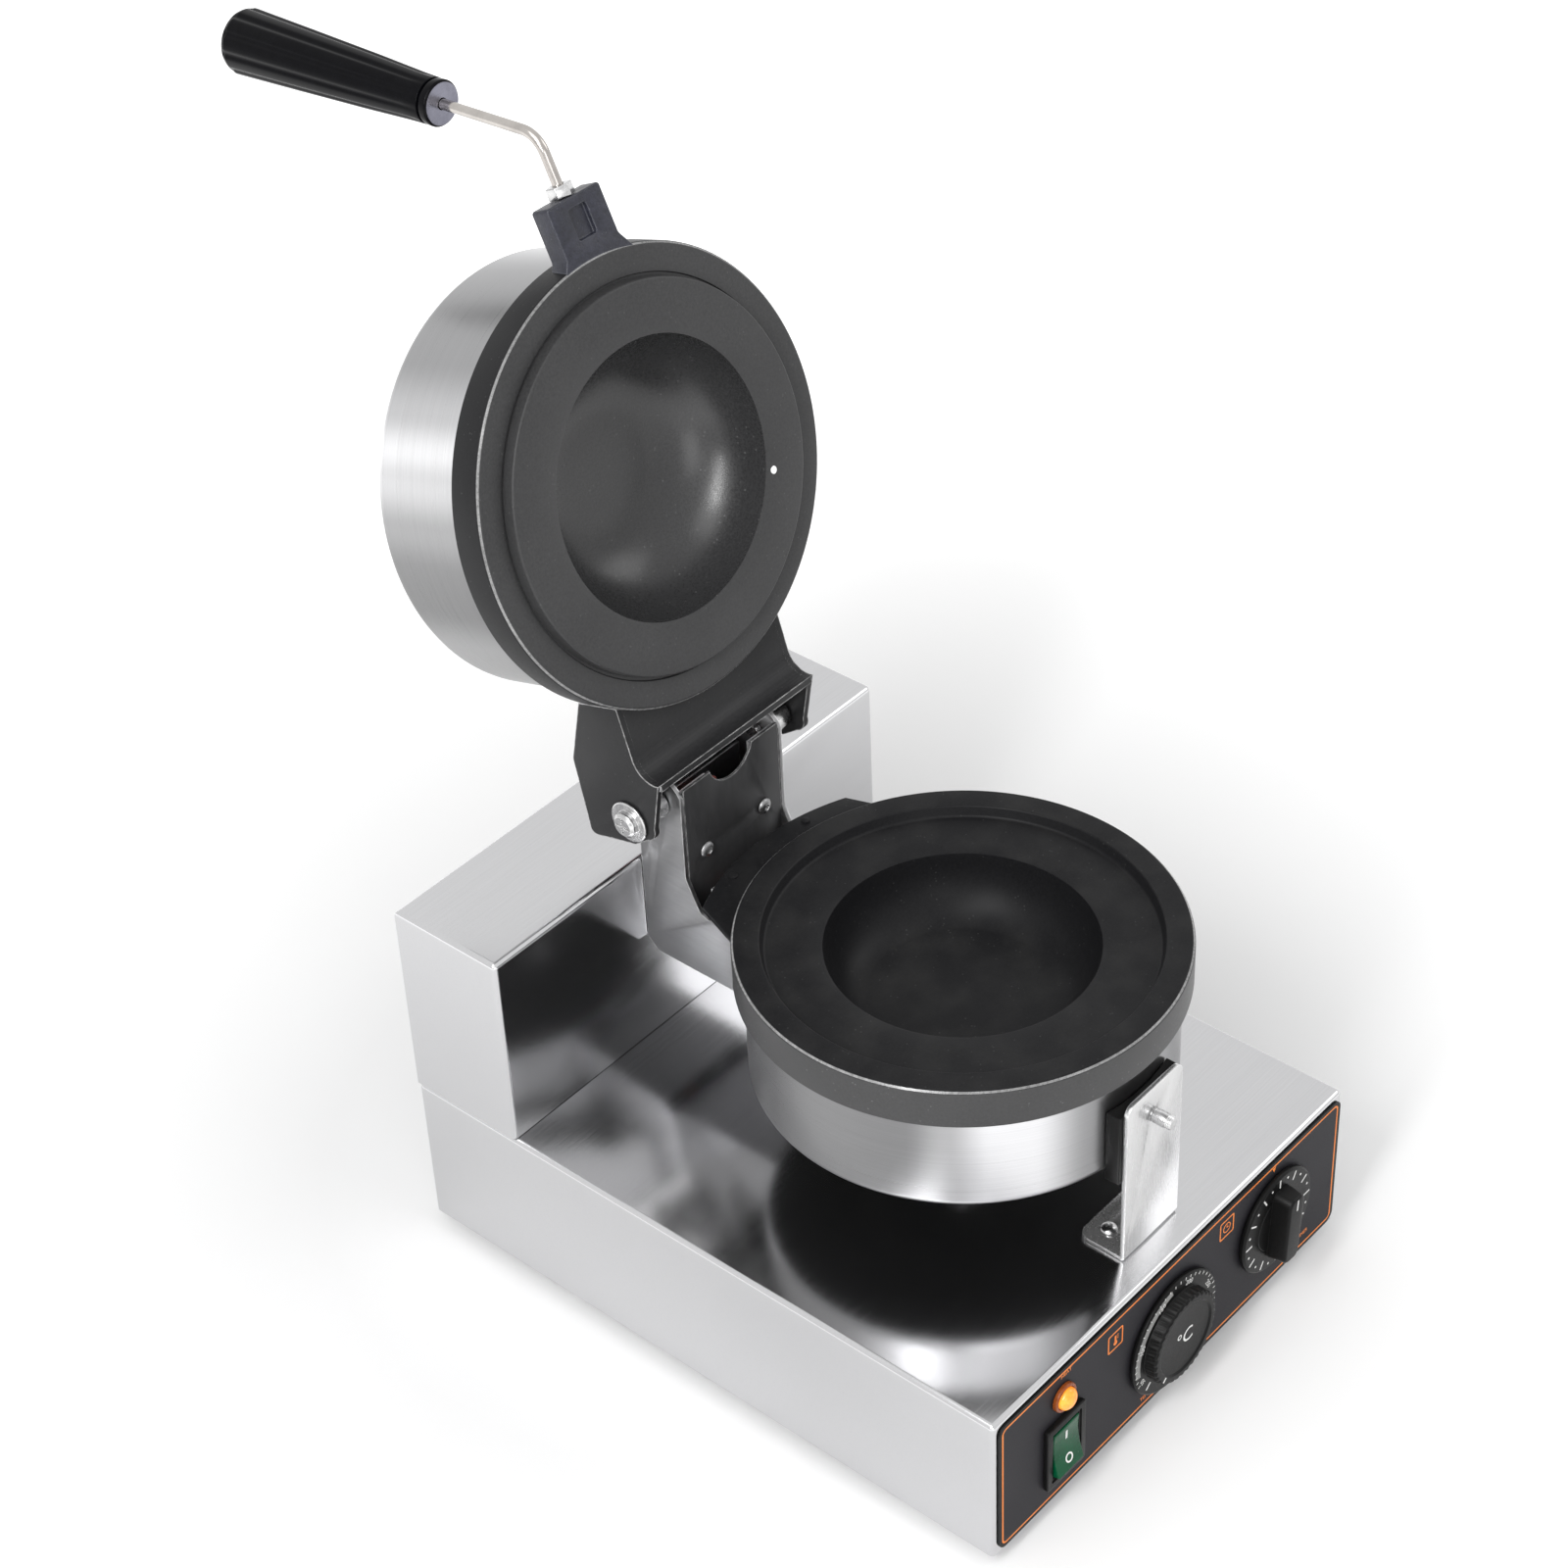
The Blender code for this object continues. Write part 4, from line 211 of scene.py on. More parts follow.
def on_front(across: float, height: float, back: float) -> Matrix:
    """Give a frame on the control panel: its X to the right, its Y up and its Z towards the user."""
    return Matrix.Translation((across, back, height)) @ Matrix.Rotation(math.pi / 2, 4, "X")


def along(axis: str, place: Sequence[float]) -> Matrix:
    """Give a frame at a place whose Z points along a named axis.

    Args:
        axis: X, Y or Z, after a minus sign for the other way.
        place: where the frame is.

    Returns:
        The frame.
    """
    direction = {"X": (1, 0, 0), "Y": (0, 1, 0), "Z": (0, 0, 1)}[axis[-1]]
    way = Vector(direction) * (-1 if axis.startswith("-") else 1)
    turn = Vector((0, 0, 1)).rotation_difference(way).to_matrix().to_4x4()
    return Matrix.Translation(place) @ turn


def at(*values: float) -> Matrix:
    """Give a frame at a place in millimetres."""
    return Matrix.Translation(millimetres(*values))


def spun(axis: str, degrees: float) -> Matrix:
    """Give a frame that is turned about a named axis."""
    return Matrix.Rotation(math.radians(degrees), 4, axis)


def bow(centre: Flat, radii: Flat, first: float, last: float, steps: int) -> list[Point]:
    """Give corners of a path, in millimetres, on an arc that may be stretched."""
    spokes = arc((0, 0), 1, first, last, steps)
    return [(centre[0] + radii[0] * x, centre[1] + radii[1] * y, 0) for x, y in spokes]


class Bench:
    """Blender's own modelling operators, used as they are by hand."""

    @staticmethod
    def put_down() -> None:
        """Leave edit mode with nothing selected."""
        active = bpy.context.view_layer.objects.active
        if active is not None and active.mode != "OBJECT":
            bpy.ops.object.mode_set(mode="OBJECT")
        bpy.ops.object.select_all(action="DESELECT")

    @staticmethod
    def hold(piece: Piece) -> None:
        """Make one piece the only one selected, in object mode.

        Args:
            piece: the piece.
        """
        Bench.put_down()
        piece.select_set(True)
        bpy.context.view_layer.objects.active = piece

    @staticmethod
    def open(piece: Piece) -> None:
        """Take one piece into edit mode."""
        Bench.hold(piece)
        bpy.ops.object.mode_set(mode="EDIT")

    @staticmethod
    def named(name: str) -> Piece:
        """Name the piece that an operator has just added.

        Args:
            name: its name, and that of its mesh.

        Returns:
            The piece.
        """
        piece = bpy.context.object
        piece.name = piece.data.name = name
        return piece

    @staticmethod
    def select(piece: Piece, kind: Pick, test: Test) -> int:
        """Select what passes a test, in edit mode.

        Args:
            piece: the piece that is open.
            kind: vertices, edges or faces.
            test: takes a middle and a direction: a normal, or an edge's run.

        Returns:
            How many are selected.
        """
        bpy.ops.mesh.select_mode(type=kind.value)
        bpy.ops.mesh.select_all(action="DESELECT")
        mesh = bmesh.from_edit_mesh(piece.data)
        if kind is Pick.VERTS:
            chosen = [v for v in mesh.verts if test(v.co, v.normal)]
        elif kind is Pick.EDGES:
            chosen = []
            for edge in mesh.edges:
                start, end = (vertex.co for vertex in edge.verts)
                if test((start + end) / 2, (end - start).normalized()):
                    chosen.append(edge)
        else:
            chosen = [f for f in mesh.faces if test(f.calc_center_median(), f.normal)]
        for part in chosen:
            part.select_set(True)
        mesh.select_flush_mode()
        bmesh.update_edit_mesh(piece.data)
        return len(chosen)

    @staticmethod
    def trace(name: str, points: Sequence[Point]) -> Piece:
        """Draw a line of points by extruding one vertex, and leave it open in edit mode.

        Args:
            name: name of the piece.
            points: where the line goes.

        Returns:
            The piece, all of it selected.
        """
        Bench.put_down()
        bpy.ops.mesh.primitive_plane_add(size=MM)
        piece = Bench.named(name)
        bpy.ops.object.mode_set(mode="EDIT")
        bpy.ops.mesh.select_mode(type="VERT")
        bpy.ops.mesh.select_all(action="SELECT")
        bpy.ops.mesh.merge(type="CENTER")
        bpy.ops.transform.translate(value=points[0])
        for here, there in zip(points, points[1:]):
            step = Vector(there) - Vector(here)
            bpy.ops.mesh.extrude_vertices_move(TRANSFORM_OT_translate={"value": step})
        bpy.ops.mesh.select_all(action="SELECT")
        return piece

    @staticmethod
    def tidy() -> None:
        """Merge doubles and turn faces outwards, in edit mode."""
        bpy.ops.mesh.select_all(action="SELECT")
        bpy.ops.mesh.remove_doubles(threshold=1e-6)
        bpy.ops.mesh.normals_make_consistent(inside=False)

    @staticmethod
    def turned(name: str, profile: Sequence[Flat], steps: int = 96) -> Piece:
        """Turn a profile of (radius, height) about Z.

        Args:
            name: name of the piece.
            profile: the outline, from the axis to the axis, or closed on itself.
            steps: facets round the axis.

        Returns:
            The piece, in object mode.
        """
        piece = Bench.trace(name, [(radius, 0, height) for radius, height in profile])
        bpy.ops.mesh.spin(steps=steps, angle=math.tau, center=(0, 0, 0), axis=(0, 0, 1))
        Bench.tidy()
        Bench.put_down()
        return piece

    @staticmethod
    def plate(name: str, outline: Sequence[Flat], low: float, high: float) -> Piece:
        """Fill an outline and extrude it between two heights.

        Args:
            name: name of the piece.
            outline: the outline, once round.
            low: its lower height.
            high: its upper height.

        Returns:
            The piece, in object mode.
        """
        loop = [(x, y, low) for x, y in outline]
        piece = Bench.trace(name, [*loop, loop[0]])
        bpy.ops.mesh.remove_doubles(threshold=1e-6)
        bpy.ops.mesh.edge_face_add()
        bpy.ops.mesh.extrude_region_move(TRANSFORM_OT_translate={"value": (0, 0, high - low)})
        Bench.tidy()
        Bench.put_down()
        return piece

    @staticmethod
    def block(name: str, low: Point, high: Point) -> Piece:
        """Add a box between two corners.

        Args:
            name: name of the piece.
            low: the box's lowest corner.
            high: the box's highest corner.

        Returns:
            The piece.
        """
        Bench.put_down()
        middle = [(a + b) / 2 for a, b in zip(low, high)]
        size = [b - a for a, b in zip(low, high)]
        bpy.ops.mesh.primitive_cube_add(size=1, location=middle, scale=size)
        return Bench.settle(Bench.named(name))

    @staticmethod
    def rod(name: str, spot: Matrix, radius: float, length: float, sides: int = 48) -> Piece:
        """Add a round bar that starts at a frame and runs along its Z.

        Args:
            name: name of the piece.
            spot: the frame.
            radius: the bar's radius.
            length: the bar's length.
            sides: facets round it.

        Returns:
            The piece.
        """
        Bench.put_down()
        bpy.ops.mesh.primitive_cylinder_add(
            vertices=sides, radius=radius, depth=length, location=(0, 0, length / 2))
        piece = Bench.settle(Bench.named(name))
        return Bench.settle(piece, spot)

    @staticmethod
    def folded(
        name: str, low: Point, high: Point, bend: float, sheet: float,
        creased: Test, missing: Test,
    ) -> Piece:
        """Fold a box from sheet.

        Args:
            name: name of the piece.
            low: the box's lowest corner.
            high: the box's highest corner.
            bend: outer radius of the folds.
            sheet: thickness of the sheet.
            creased: tells the edges that are folds.
            missing: tells the faces that are left out.

        Returns:
            The piece, in object mode.
        """
        box = Bench.block(name, low, high)
        Bench.open(box)
        Bench.select(box, Pick.EDGES, creased)
        bpy.ops.mesh.bevel(offset=bend, segments=6, affect="EDGES")
        Bench.select(box, Pick.FACES, missing)
        bpy.ops.mesh.delete(type="FACE")
        Bench.tidy()
        Bench.put_down()
        Bench.apply(box, "SOLIDIFY", thickness=sheet, offset=-1.0)
        return box

    @staticmethod
    def settle(piece: Piece, place: Optional[Matrix] = None) -> Piece:
        """Move a piece to a frame and apply its place to its mesh.

        Args:
            piece: the piece.
            place: the frame, or None where it has its place already.

        Returns:
            The piece.
        """
        Bench.hold(piece)
        if place is not None:
            piece.matrix_world = place
        bpy.ops.object.transform_apply(location=True, rotation=True, scale=True)
        return piece

    @staticmethod
    def apply(piece: Piece, kind: str, **values: object) -> None:
        """Add a modifier with these values and apply it.

        Args:
            piece: the piece.
            kind: Blender's name for the modifier's kind.
            values: the modifier's settings.
        """
        Bench.hold(piece)
        modifier = piece.modifiers.new(kind.lower(), kind)
        for key, value in values.items():
            setattr(modifier, key, value)
        bpy.ops.object.modifier_apply(modifier=modifier.name)

    @staticmethod
    def carve(piece: Piece, *tools: Piece) -> Piece:
        """Cut pieces out of a piece and throw them away.

        Args:
            piece: the piece.
            tools: what is cut out of it.

        Returns:
            The piece.
        """
        for tool in tools:
            Bench.apply(piece, "BOOLEAN", object=tool, operation="DIFFERENCE", solver="EXACT")
            bpy.data.objects.remove(tool)
        return piece

    @staticmethod
    def weld(piece: Piece, *others: Piece) -> Piece:
        """Join pieces into one closed body.

        Args:
            piece: the piece.
            others: what is joined to it.

        Returns:
            The piece.
        """
        for other in others:
            Bench.apply(piece, "BOOLEAN", object=other, operation="UNION", solver="EXACT")
            bpy.data.objects.remove(other)
        return piece

    @staticmethod
    def soften(piece: Piece, width: float, segments: int = 2, angle: float = 40) -> Piece:
        """Round the edges of a piece that are sharper than an angle in degrees.

        Args:
            piece: the piece.
            width: width of the rounding.
            segments: facets across it.
            angle: the angle.

        Returns:
            The piece.
        """
        Bench.apply(
            piece, "BEVEL", width=width, segments=segments, limit_method="ANGLE",
            angle_limit=math.radians(angle), use_clamp_overlap=True, miter_outer="MITER_ARC")
        return piece

    @staticmethod
    def copied(piece: Piece, name: str, place: Matrix) -> Piece:
        """Copy a piece with its own mesh to a frame.

        Args:
            piece: the model.
            name: name of the copy.
            place: the frame.

        Returns:
            The copy.
        """
        twin = piece.copy()
        twin.data = piece.data.copy()
        twin.name = twin.data.name = name
        bpy.context.collection.objects.link(twin)
        return Bench.settle(twin, place)

    @staticmethod
    def ring_of(piece: Piece, name: str, turns: Sequence[float]) -> Piece:
        """Copy a piece about Z to each of these turns in degrees, join them and drop the first.

        Args:
            piece: the model, which is dropped.
            name: name of the result.
            turns: the turns.

        Returns:
            All copies as one piece.
        """
        copies = [Bench.copied(piece, name, spun("Z", turn)) for turn in turns]
        bpy.data.objects.remove(piece)
        return Bench.joined(name, copies)

    @staticmethod
    def joined(name: str, pieces: Sequence[Piece]) -> Piece:
        """Join pieces into one object without welding them.

        Args:
            name: name of the result.
            pieces: the pieces.

        Returns:
            The one object.
        """
        Bench.hold(pieces[0])
        for piece in pieces[1:]:
            piece.select_set(True)
        if len(pieces) > 1:
            bpy.ops.object.join()
        return Bench.named(name)

    @staticmethod
    def zone(piece: Piece, coat: Material, test: Test) -> None:
        """Give the faces whose middle and normal pass a test a material of their own.

        Args:
            piece: the piece.
            coat: the material.
            test: takes a middle and a normal.
        """
        piece.data.materials.append(coat)
        index = len(piece.data.materials) - 1
        for face in piece.data.polygons:
            if test(face.center, face.normal):
                face.material_index = index

    @staticmethod
    def lettering(name: str, text: str, height: float, place: Matrix) -> Piece:
        """Write a number, a mark or a plain word as a thin printed layer.

        Args:
            name: name of the piece.
            text: what it says.
            height: size of the type.
            place: the frame that it lies in.

        Returns:
            The piece.
        """
        Bench.put_down()
        bpy.ops.object.text_add()
        piece = Bench.named(name)
        piece.data.body = text
        piece.data.size = height
        piece.data.extrude = 0.02 * MM
        piece.data.align_x = "CENTER"
        piece.data.align_y = "CENTER"
        piece.data.resolution_u = 3
        bpy.ops.object.convert(target="MESH")
        return Bench.settle(bpy.context.object, place)


def control_openings() -> list[Piece]:
    """Make the tools that cut the holes for the switch, the lamp and the dials.

    Returns:
        The tools, which reach through the overlay and the cabinet.
    """
    tools = [Bench.block("hole", millimetres(-91.3, -248, 25.2), millimetres(-69.7, -240, 54.8))]
    for across, height, radius in CONTROL_HOLES:
        spot = along("Y", millimetres(across, -248, height))
        tools.append(Bench.rod("hole", spot, radius * MM, 8 * MM, 32))
    return tools


def fill(tree: Tree, node: bpy.types.Node, inputs: dict[object, object]) -> None:
    """Give each named input of a node a socket to follow, or a value.

    Args:
        tree: the tree that the node is in.
        node: the node.
        inputs: what each input gets, by the input's name or number.
    """
    for key, value in inputs.items():
        if isinstance(value, bpy.types.NodeSocket):
            tree.links.new(value, node.inputs[key])
        else:
            node.inputs[key].default_value = value


def wired(
    tree: Tree, kind: str, inputs: dict[object, object], **settings: object,
) -> bpy.types.Node:
    """Add a node, set it up and fill its inputs.

    Args:
        tree: the tree that gets the node.
        kind: Blender's name for its kind.
        inputs: what each input gets, by the input's name or number.
        settings: its own settings.

    Returns:
        The node.
    """
    node = tree.nodes.new(kind)
    for key, value in settings.items():
        setattr(node, key, value)
    fill(tree, node, inputs)
    return node


def even(value: float) -> Point:
    """Give a grey, or a grain that is the same all ways."""
    return (value, value, value)


@dataclass(frozen=True)
class Finish:
    """How one surface looks: its colours, gloss, grain, relief, worn edges that double as painted edge
    highlights, painted emission, and painted reflections on drums.
    """

    name: str
    colour: Colour
    tint: Colour
    roughness: float
    metallic: float = 0.0
    specular: float = 0.5
    coat: float = 0.0
    spread: float = 0.08
    grain: Point = even(400)
    grain_depth: float = 0.02
    grain_colour: float = 0.15
    blotch: float = 18
    blotch_share: float = 0.5
    # Worn edges that also serve as a painted highlight along edges: amount and colour.
    wear_and_highlight: float = 0.0
    wear_and_highlight_colour: Colour = even(0.6)
    specks: float = 0.0
    speck_colour: Colour = even(0.2)
    dust: float = 0.0
    # Emission: the amber lens emits light as its lamp; the inks, the rocker and the vent plug emit
    # painted light, as they are no lamps.
    painted_glow_and_lamp_glow: float = 0.0
    # Painted reflections: colour levels by angle round a drum's axis, standing in for the room seen in
    # its steel.
    painted_reflection_bands: tuple[Flat, ...] = ()


STAINLESS = Finish(
    "stainless_sheet", (0.62, 0.62, 0.63), (0.56, 0.56, 0.57), 0.15, 1.0, grain=(20, 2200, 2200),
    grain_depth=0.0006, grain_colour=0.035, blotch=5, spread=0.03, wear_and_highlight=0.08,
    wear_and_highlight_colour=even(0.8))
DRUM_STEEL = Finish(
    "brushed_drum", (0.8, 0.8, 0.81), (0.74, 0.74, 0.76), 0.3, 1.0, grain=(6, 6, 3600),
    grain_depth=0.0012, grain_colour=0.07, blotch=6, spread=0.05)
# Painted shade: the lower drum's end face, which faces the deck, is near black so that the deck shows a
# dark pool beneath the drum.
PAINTED_SHADE_UNDERSIDE = Finish(
    "painted_shade_underside", even(0.012), even(0.008), 0.6, specular=0.15,
    grain=even(500), grain_depth=0.03, grain_colour=0.3, blotch=40)
TRAY_STEEL = Finish(
    "tray_sheet", (0.6, 0.6, 0.61), (0.5, 0.5, 0.52), 0.35, 1.0, grain=(12, 700, 700),
    grain_depth=0.004)
# Painted highlight with real scuffing: the bright edge colour of the bracket and its cover stands in
# for light along their edges.
BRACKET_STEEL = Finish(
    "bracket_steel", (0.3, 0.3, 0.305), (0.24, 0.24, 0.245), 0.4, 1.0, grain=(500, 60, 500),
    grain_depth=0.003, grain_colour=0.1, blotch=30, wear_and_highlight=1.0, wear_and_highlight_colour=even(0.9))
COVER_STEEL = Finish(
    "cover_steel", (0.07, 0.07, 0.072), (0.055, 0.055, 0.057), 0.45, 0.5, specular=0.25,
    grain=(500, 500, 60), grain_depth=0.003, grain_colour=0.12, blotch=26, wear_and_highlight=1.0,
    wear_and_highlight_colour=even(0.85))
HEATER_STEEL = Finish(
    "heater_tube", (0.3, 0.29, 0.28), (0.22, 0.19, 0.17), 0.5, 1.0, grain=even(600), blotch=60)
ZINC = Finish(
    "bright_zinc", even(0.6), (0.4, 0.4, 0.41), 0.22, 1.0, grain=even(300),
    grain_depth=0.008, grain_colour=0.12, blotch=140, wear_and_highlight=0.4, wear_and_highlight_colour=even(0.95))
TAB_ZINC = Finish(
    "tab_zinc", even(0.66), (0.56, 0.56, 0.57), 0.24, 0.85, grain=(700, 700, 60),
    grain_depth=0.0005, grain_colour=0.03, blotch=24, spread=0.05, wear_and_highlight=0.6,
    wear_and_highlight_colour=even(0.95))
ROD_STEEL = Finish(
    "polished_rod", (0.56, 0.53, 0.5), (0.26, 0.24, 0.23), 0.16, 1.0, grain=even(60),
    grain_depth=0.006, grain_colour=0.12, blotch=60)
CASTING = Finish(
    "nonstick_casting", (0.042, 0.042, 0.043), (0.032, 0.032, 0.033), 0.44, specular=0.3,
    grain=even(900), grain_depth=0.02, grain_colour=0.25, blotch=22, spread=0.06,
    specks=0.4, speck_colour=even(0.12))
# Painted shade: the lid's bowl is a darker copy of the coating, for the shade in its hollow; it is also
# glossier.
SHADED_BOWL_COAT = replace(
    CASTING, name="painted_shade_bowl_coating", colour=(0.036, 0.036, 0.037), tint=(0.029, 0.029, 0.03),
    roughness=0.27, specular=0.5, grain_depth=0.03, blotch=30, specks=0.8,
    speck_colour=even(0.16))
# Painted shade: the lower pan's face, bowl and lobe are a darker copy of the same coating.
SHADED_CASTING = replace(
    CASTING, name="painted_shade_casting", colour=(0.011, 0.011, 0.012), tint=(0.008, 0.008, 0.009),
    roughness=0.42, specular=0.13, speck_colour=even(0.07), dust=0.02)
# Painted light: the lower pan's skirt is a lighter copy of the coating, for the light falling on its
# side.
LIT_SKIRT_COAT = Finish(
    "painted_light_skirt_coating", (0.05, 0.05, 0.051), (0.036, 0.036, 0.037), 0.38, specular=0.4,
    grain=even(900), grain_depth=0.02, grain_colour=0.2, blotch=16, spread=0.06,
    specks=0.5, speck_colour=even(0.2))
# Painted shade: the lid's skirt is a darker copy of the coating.
SHADED_SKIRT = replace(
    LIT_SKIRT_COAT, name="painted_shade_skirt_coating", colour=(0.016, 0.016, 0.017), tint=(0.012, 0.012, 0.013),
    roughness=0.42, specular=0.16, specks=0.4, speck_colour=even(0.1))
# Painted highlight: a light grey on the rim's rounded outer edge, for the bright line of light along
# it.
PAINTED_HIGHLIGHT_RIM = Finish(
    "painted_highlight_rim_edge", even(0.26), even(0.1), 0.26, specular=0.8, grain=even(500),
    grain_depth=0.02, grain_colour=0.3, blotch=45)
LUG_IRON = Finish(
    "rough_casting", (0.025, 0.026, 0.038), (0.011, 0.012, 0.018), 0.34, specular=0.4,
    grain=even(420), grain_depth=0.16, grain_colour=0.35, blotch=90, wear_and_highlight=0.5,
    wear_and_highlight_colour=(0.2, 0.21, 0.24), specks=0.4, speck_colour=(0.12, 0.12, 0.14))
# Painted highlight with real scuffing: the yoke's edges are mixed to a light grey.
YOKE_PAINT = Finish(
    "heatproof_paint", (0.024, 0.024, 0.025), (0.018, 0.018, 0.019), 0.4, specular=0.2,
    grain=even(700), grain_depth=0.012, grain_colour=0.2, blotch=25, wear_and_highlight=1.0,
    wear_and_highlight_colour=even(0.7), specks=0.25, speck_colour=even(0.14))
PANEL_INK = Finish(
    "panel_charcoal", (0.027, 0.026, 0.03), (0.022, 0.021, 0.025), 0.5, specular=0.13,
    grain=even(1500), grain_depth=0.006, grain_colour=0.12, blotch=12)
BORDER_INK = Finish(
    "panel_black", even(0.006), even(0.004), 0.42, specular=0.15,
    grain=even(1500), grain_depth=0.006, grain_colour=0.12)
# Painted light: the orange and white inks emit a little light, though they are no lamps.
ORANGE_INK = Finish(
    "orange_ink", (0.9, 0.27, 0.06), (0.8, 0.2, 0.04), 0.5, specular=0.2, grain=even(1800),
    grain_depth=0.002, grain_colour=0.15, blotch=60, painted_glow_and_lamp_glow=0.15)
WHITE_INK = Finish(
    "white_ink", (0.8, 0.8, 0.78), (0.66, 0.66, 0.65), 0.5, grain=even(1800),
    grain_depth=0.002, grain_colour=0.12, blotch=80, painted_glow_and_lamp_glow=0.15)
BLACK_MOULDING = Finish(
    "black_moulding", even(0.006), even(0.004), 0.34, specular=0.14,
    grain=even(1300), grain_depth=0.01, grain_colour=0.25, blotch=30, wear_and_highlight=0.3,
    wear_and_highlight_colour=even(0.07), dust=0.015)
BLACK_BAKELITE = Finish(
    "bakelite", (0.003, 0.003, 0.004), (0.002, 0.002, 0.003), 0.14, specular=0.08,
    grain=even(260), grain_depth=0.006, grain_colour=0.3, blotch=35, spread=0.04)
RUBBER = Finish(
    "foot_rubber", even(0.018), even(0.03), 0.72, specular=0.3,
    grain=even(900), grain_depth=0.05, grain_colour=0.3, dust=0.1)
# Painted light: the rocker emits a little light, though it is no lamp.
GREEN_ROCKER = Finish(
    "green_rocker", (0.0, 0.075, 0.028), (0.0, 0.045, 0.017), 0.2, specular=0.2, coat=0.05,
    grain=even(700), grain_depth=0.004, grain_colour=0.15, blotch=90, painted_glow_and_lamp_glow=0.1)
FERRULE = Finish(
    "grip_ferrule", (0.2, 0.2, 0.24), (0.12, 0.12, 0.15), 0.3, 1.0, grain=even(500),
    grain_depth=0.008, grain_colour=0.15, blotch=90)
SCALE_INK = Finish(
    "scale_grey", (0.36, 0.36, 0.35), even(0.26), 0.5, specular=0.2, grain=even(1800),
    grain_depth=0.002, grain_colour=0.2, blotch=120)
AMBER_LENS = Finish(
    "amber_lens", (0.95, 0.27, 0.015), (1.0, 0.45, 0.07), 0.12, specular=0.4, coat=0.3,
    grain=even(260), grain_depth=0.02, grain_colour=0.2, blotch=160, painted_glow_and_lamp_glow=0.5)
AMBER_COLLAR = Finish(
    "amber_collar", (0.3, 0.07, 0.012), (0.2, 0.045, 0.01), 0.24, specular=0.3, coat=0.1,
    grain=even(700), grain_depth=0.01, grain_colour=0.2)
WOOL = Finish(
    "mineral_wool", (0.7, 0.68, 0.6), (0.55, 0.52, 0.44), 0.95, specular=0.1, grain=(300, 300, 60),
    grain_depth=0.6, grain_colour=0.5)
SILICONE = Finish(
    "silicone_sleeve", (0.5, 0.07, 0.05), (0.4, 0.05, 0.04), 0.55, grain=even(800),
    grain_depth=0.02)
COPPER = Finish(
    "copper_bulb", (0.6, 0.3, 0.2), (0.4, 0.2, 0.14), 0.35, 1.0, grain=even(500))
STEATITE = Finish(
    "steatite", (0.75, 0.73, 0.68), (0.66, 0.63, 0.58), 0.6, grain=even(700), grain_depth=0.03)
# Painted highlight and painted light: the vent plug is near white and emits light, for the bright dot
# on it.
PAINTED_GLOW_VENT_STEEL = Finish(
    "vent_plug_painted_glow", even(0.9), even(0.8), 0.3, 1.0, grain=even(500), painted_glow_and_lamp_glow=0.4)

# Painted reflections on the two drums, as (share of a turn, level): lighter and darker streaks in place
# of reflected surroundings; levels above 1 are painted highlights.
LOWER_PAINTED_REFLECTIONS = (
    (0.0, 0.5), (0.08, 0.32), (0.14, 0.5), (0.2, 0.33), (0.26, 0.44), (0.3, 0.42), (0.345, 1.05),
    (0.375, 1.05), (0.405, 0.56), (0.435, 0.32), (0.5, 0.37), (0.55, 0.3), (0.62, 0.55), (0.72, 0.95),
    (0.85, 0.5), (1.0, 0.5),
)
UPPER_PAINTED_REFLECTIONS = (
    (0.0, 0.3), (0.03, 0.4), (0.065, 0.8), (0.085, 1.15), (0.11, 0.75), (0.15, 0.48), (0.24, 0.5),
    (0.35, 0.9), (0.45, 0.5), (0.55, 0.8), (0.65, 0.5), (0.75, 0.9), (0.88, 0.42), (0.925, 0.48),
    (0.965, 0.3), (1.0, 0.3),
)


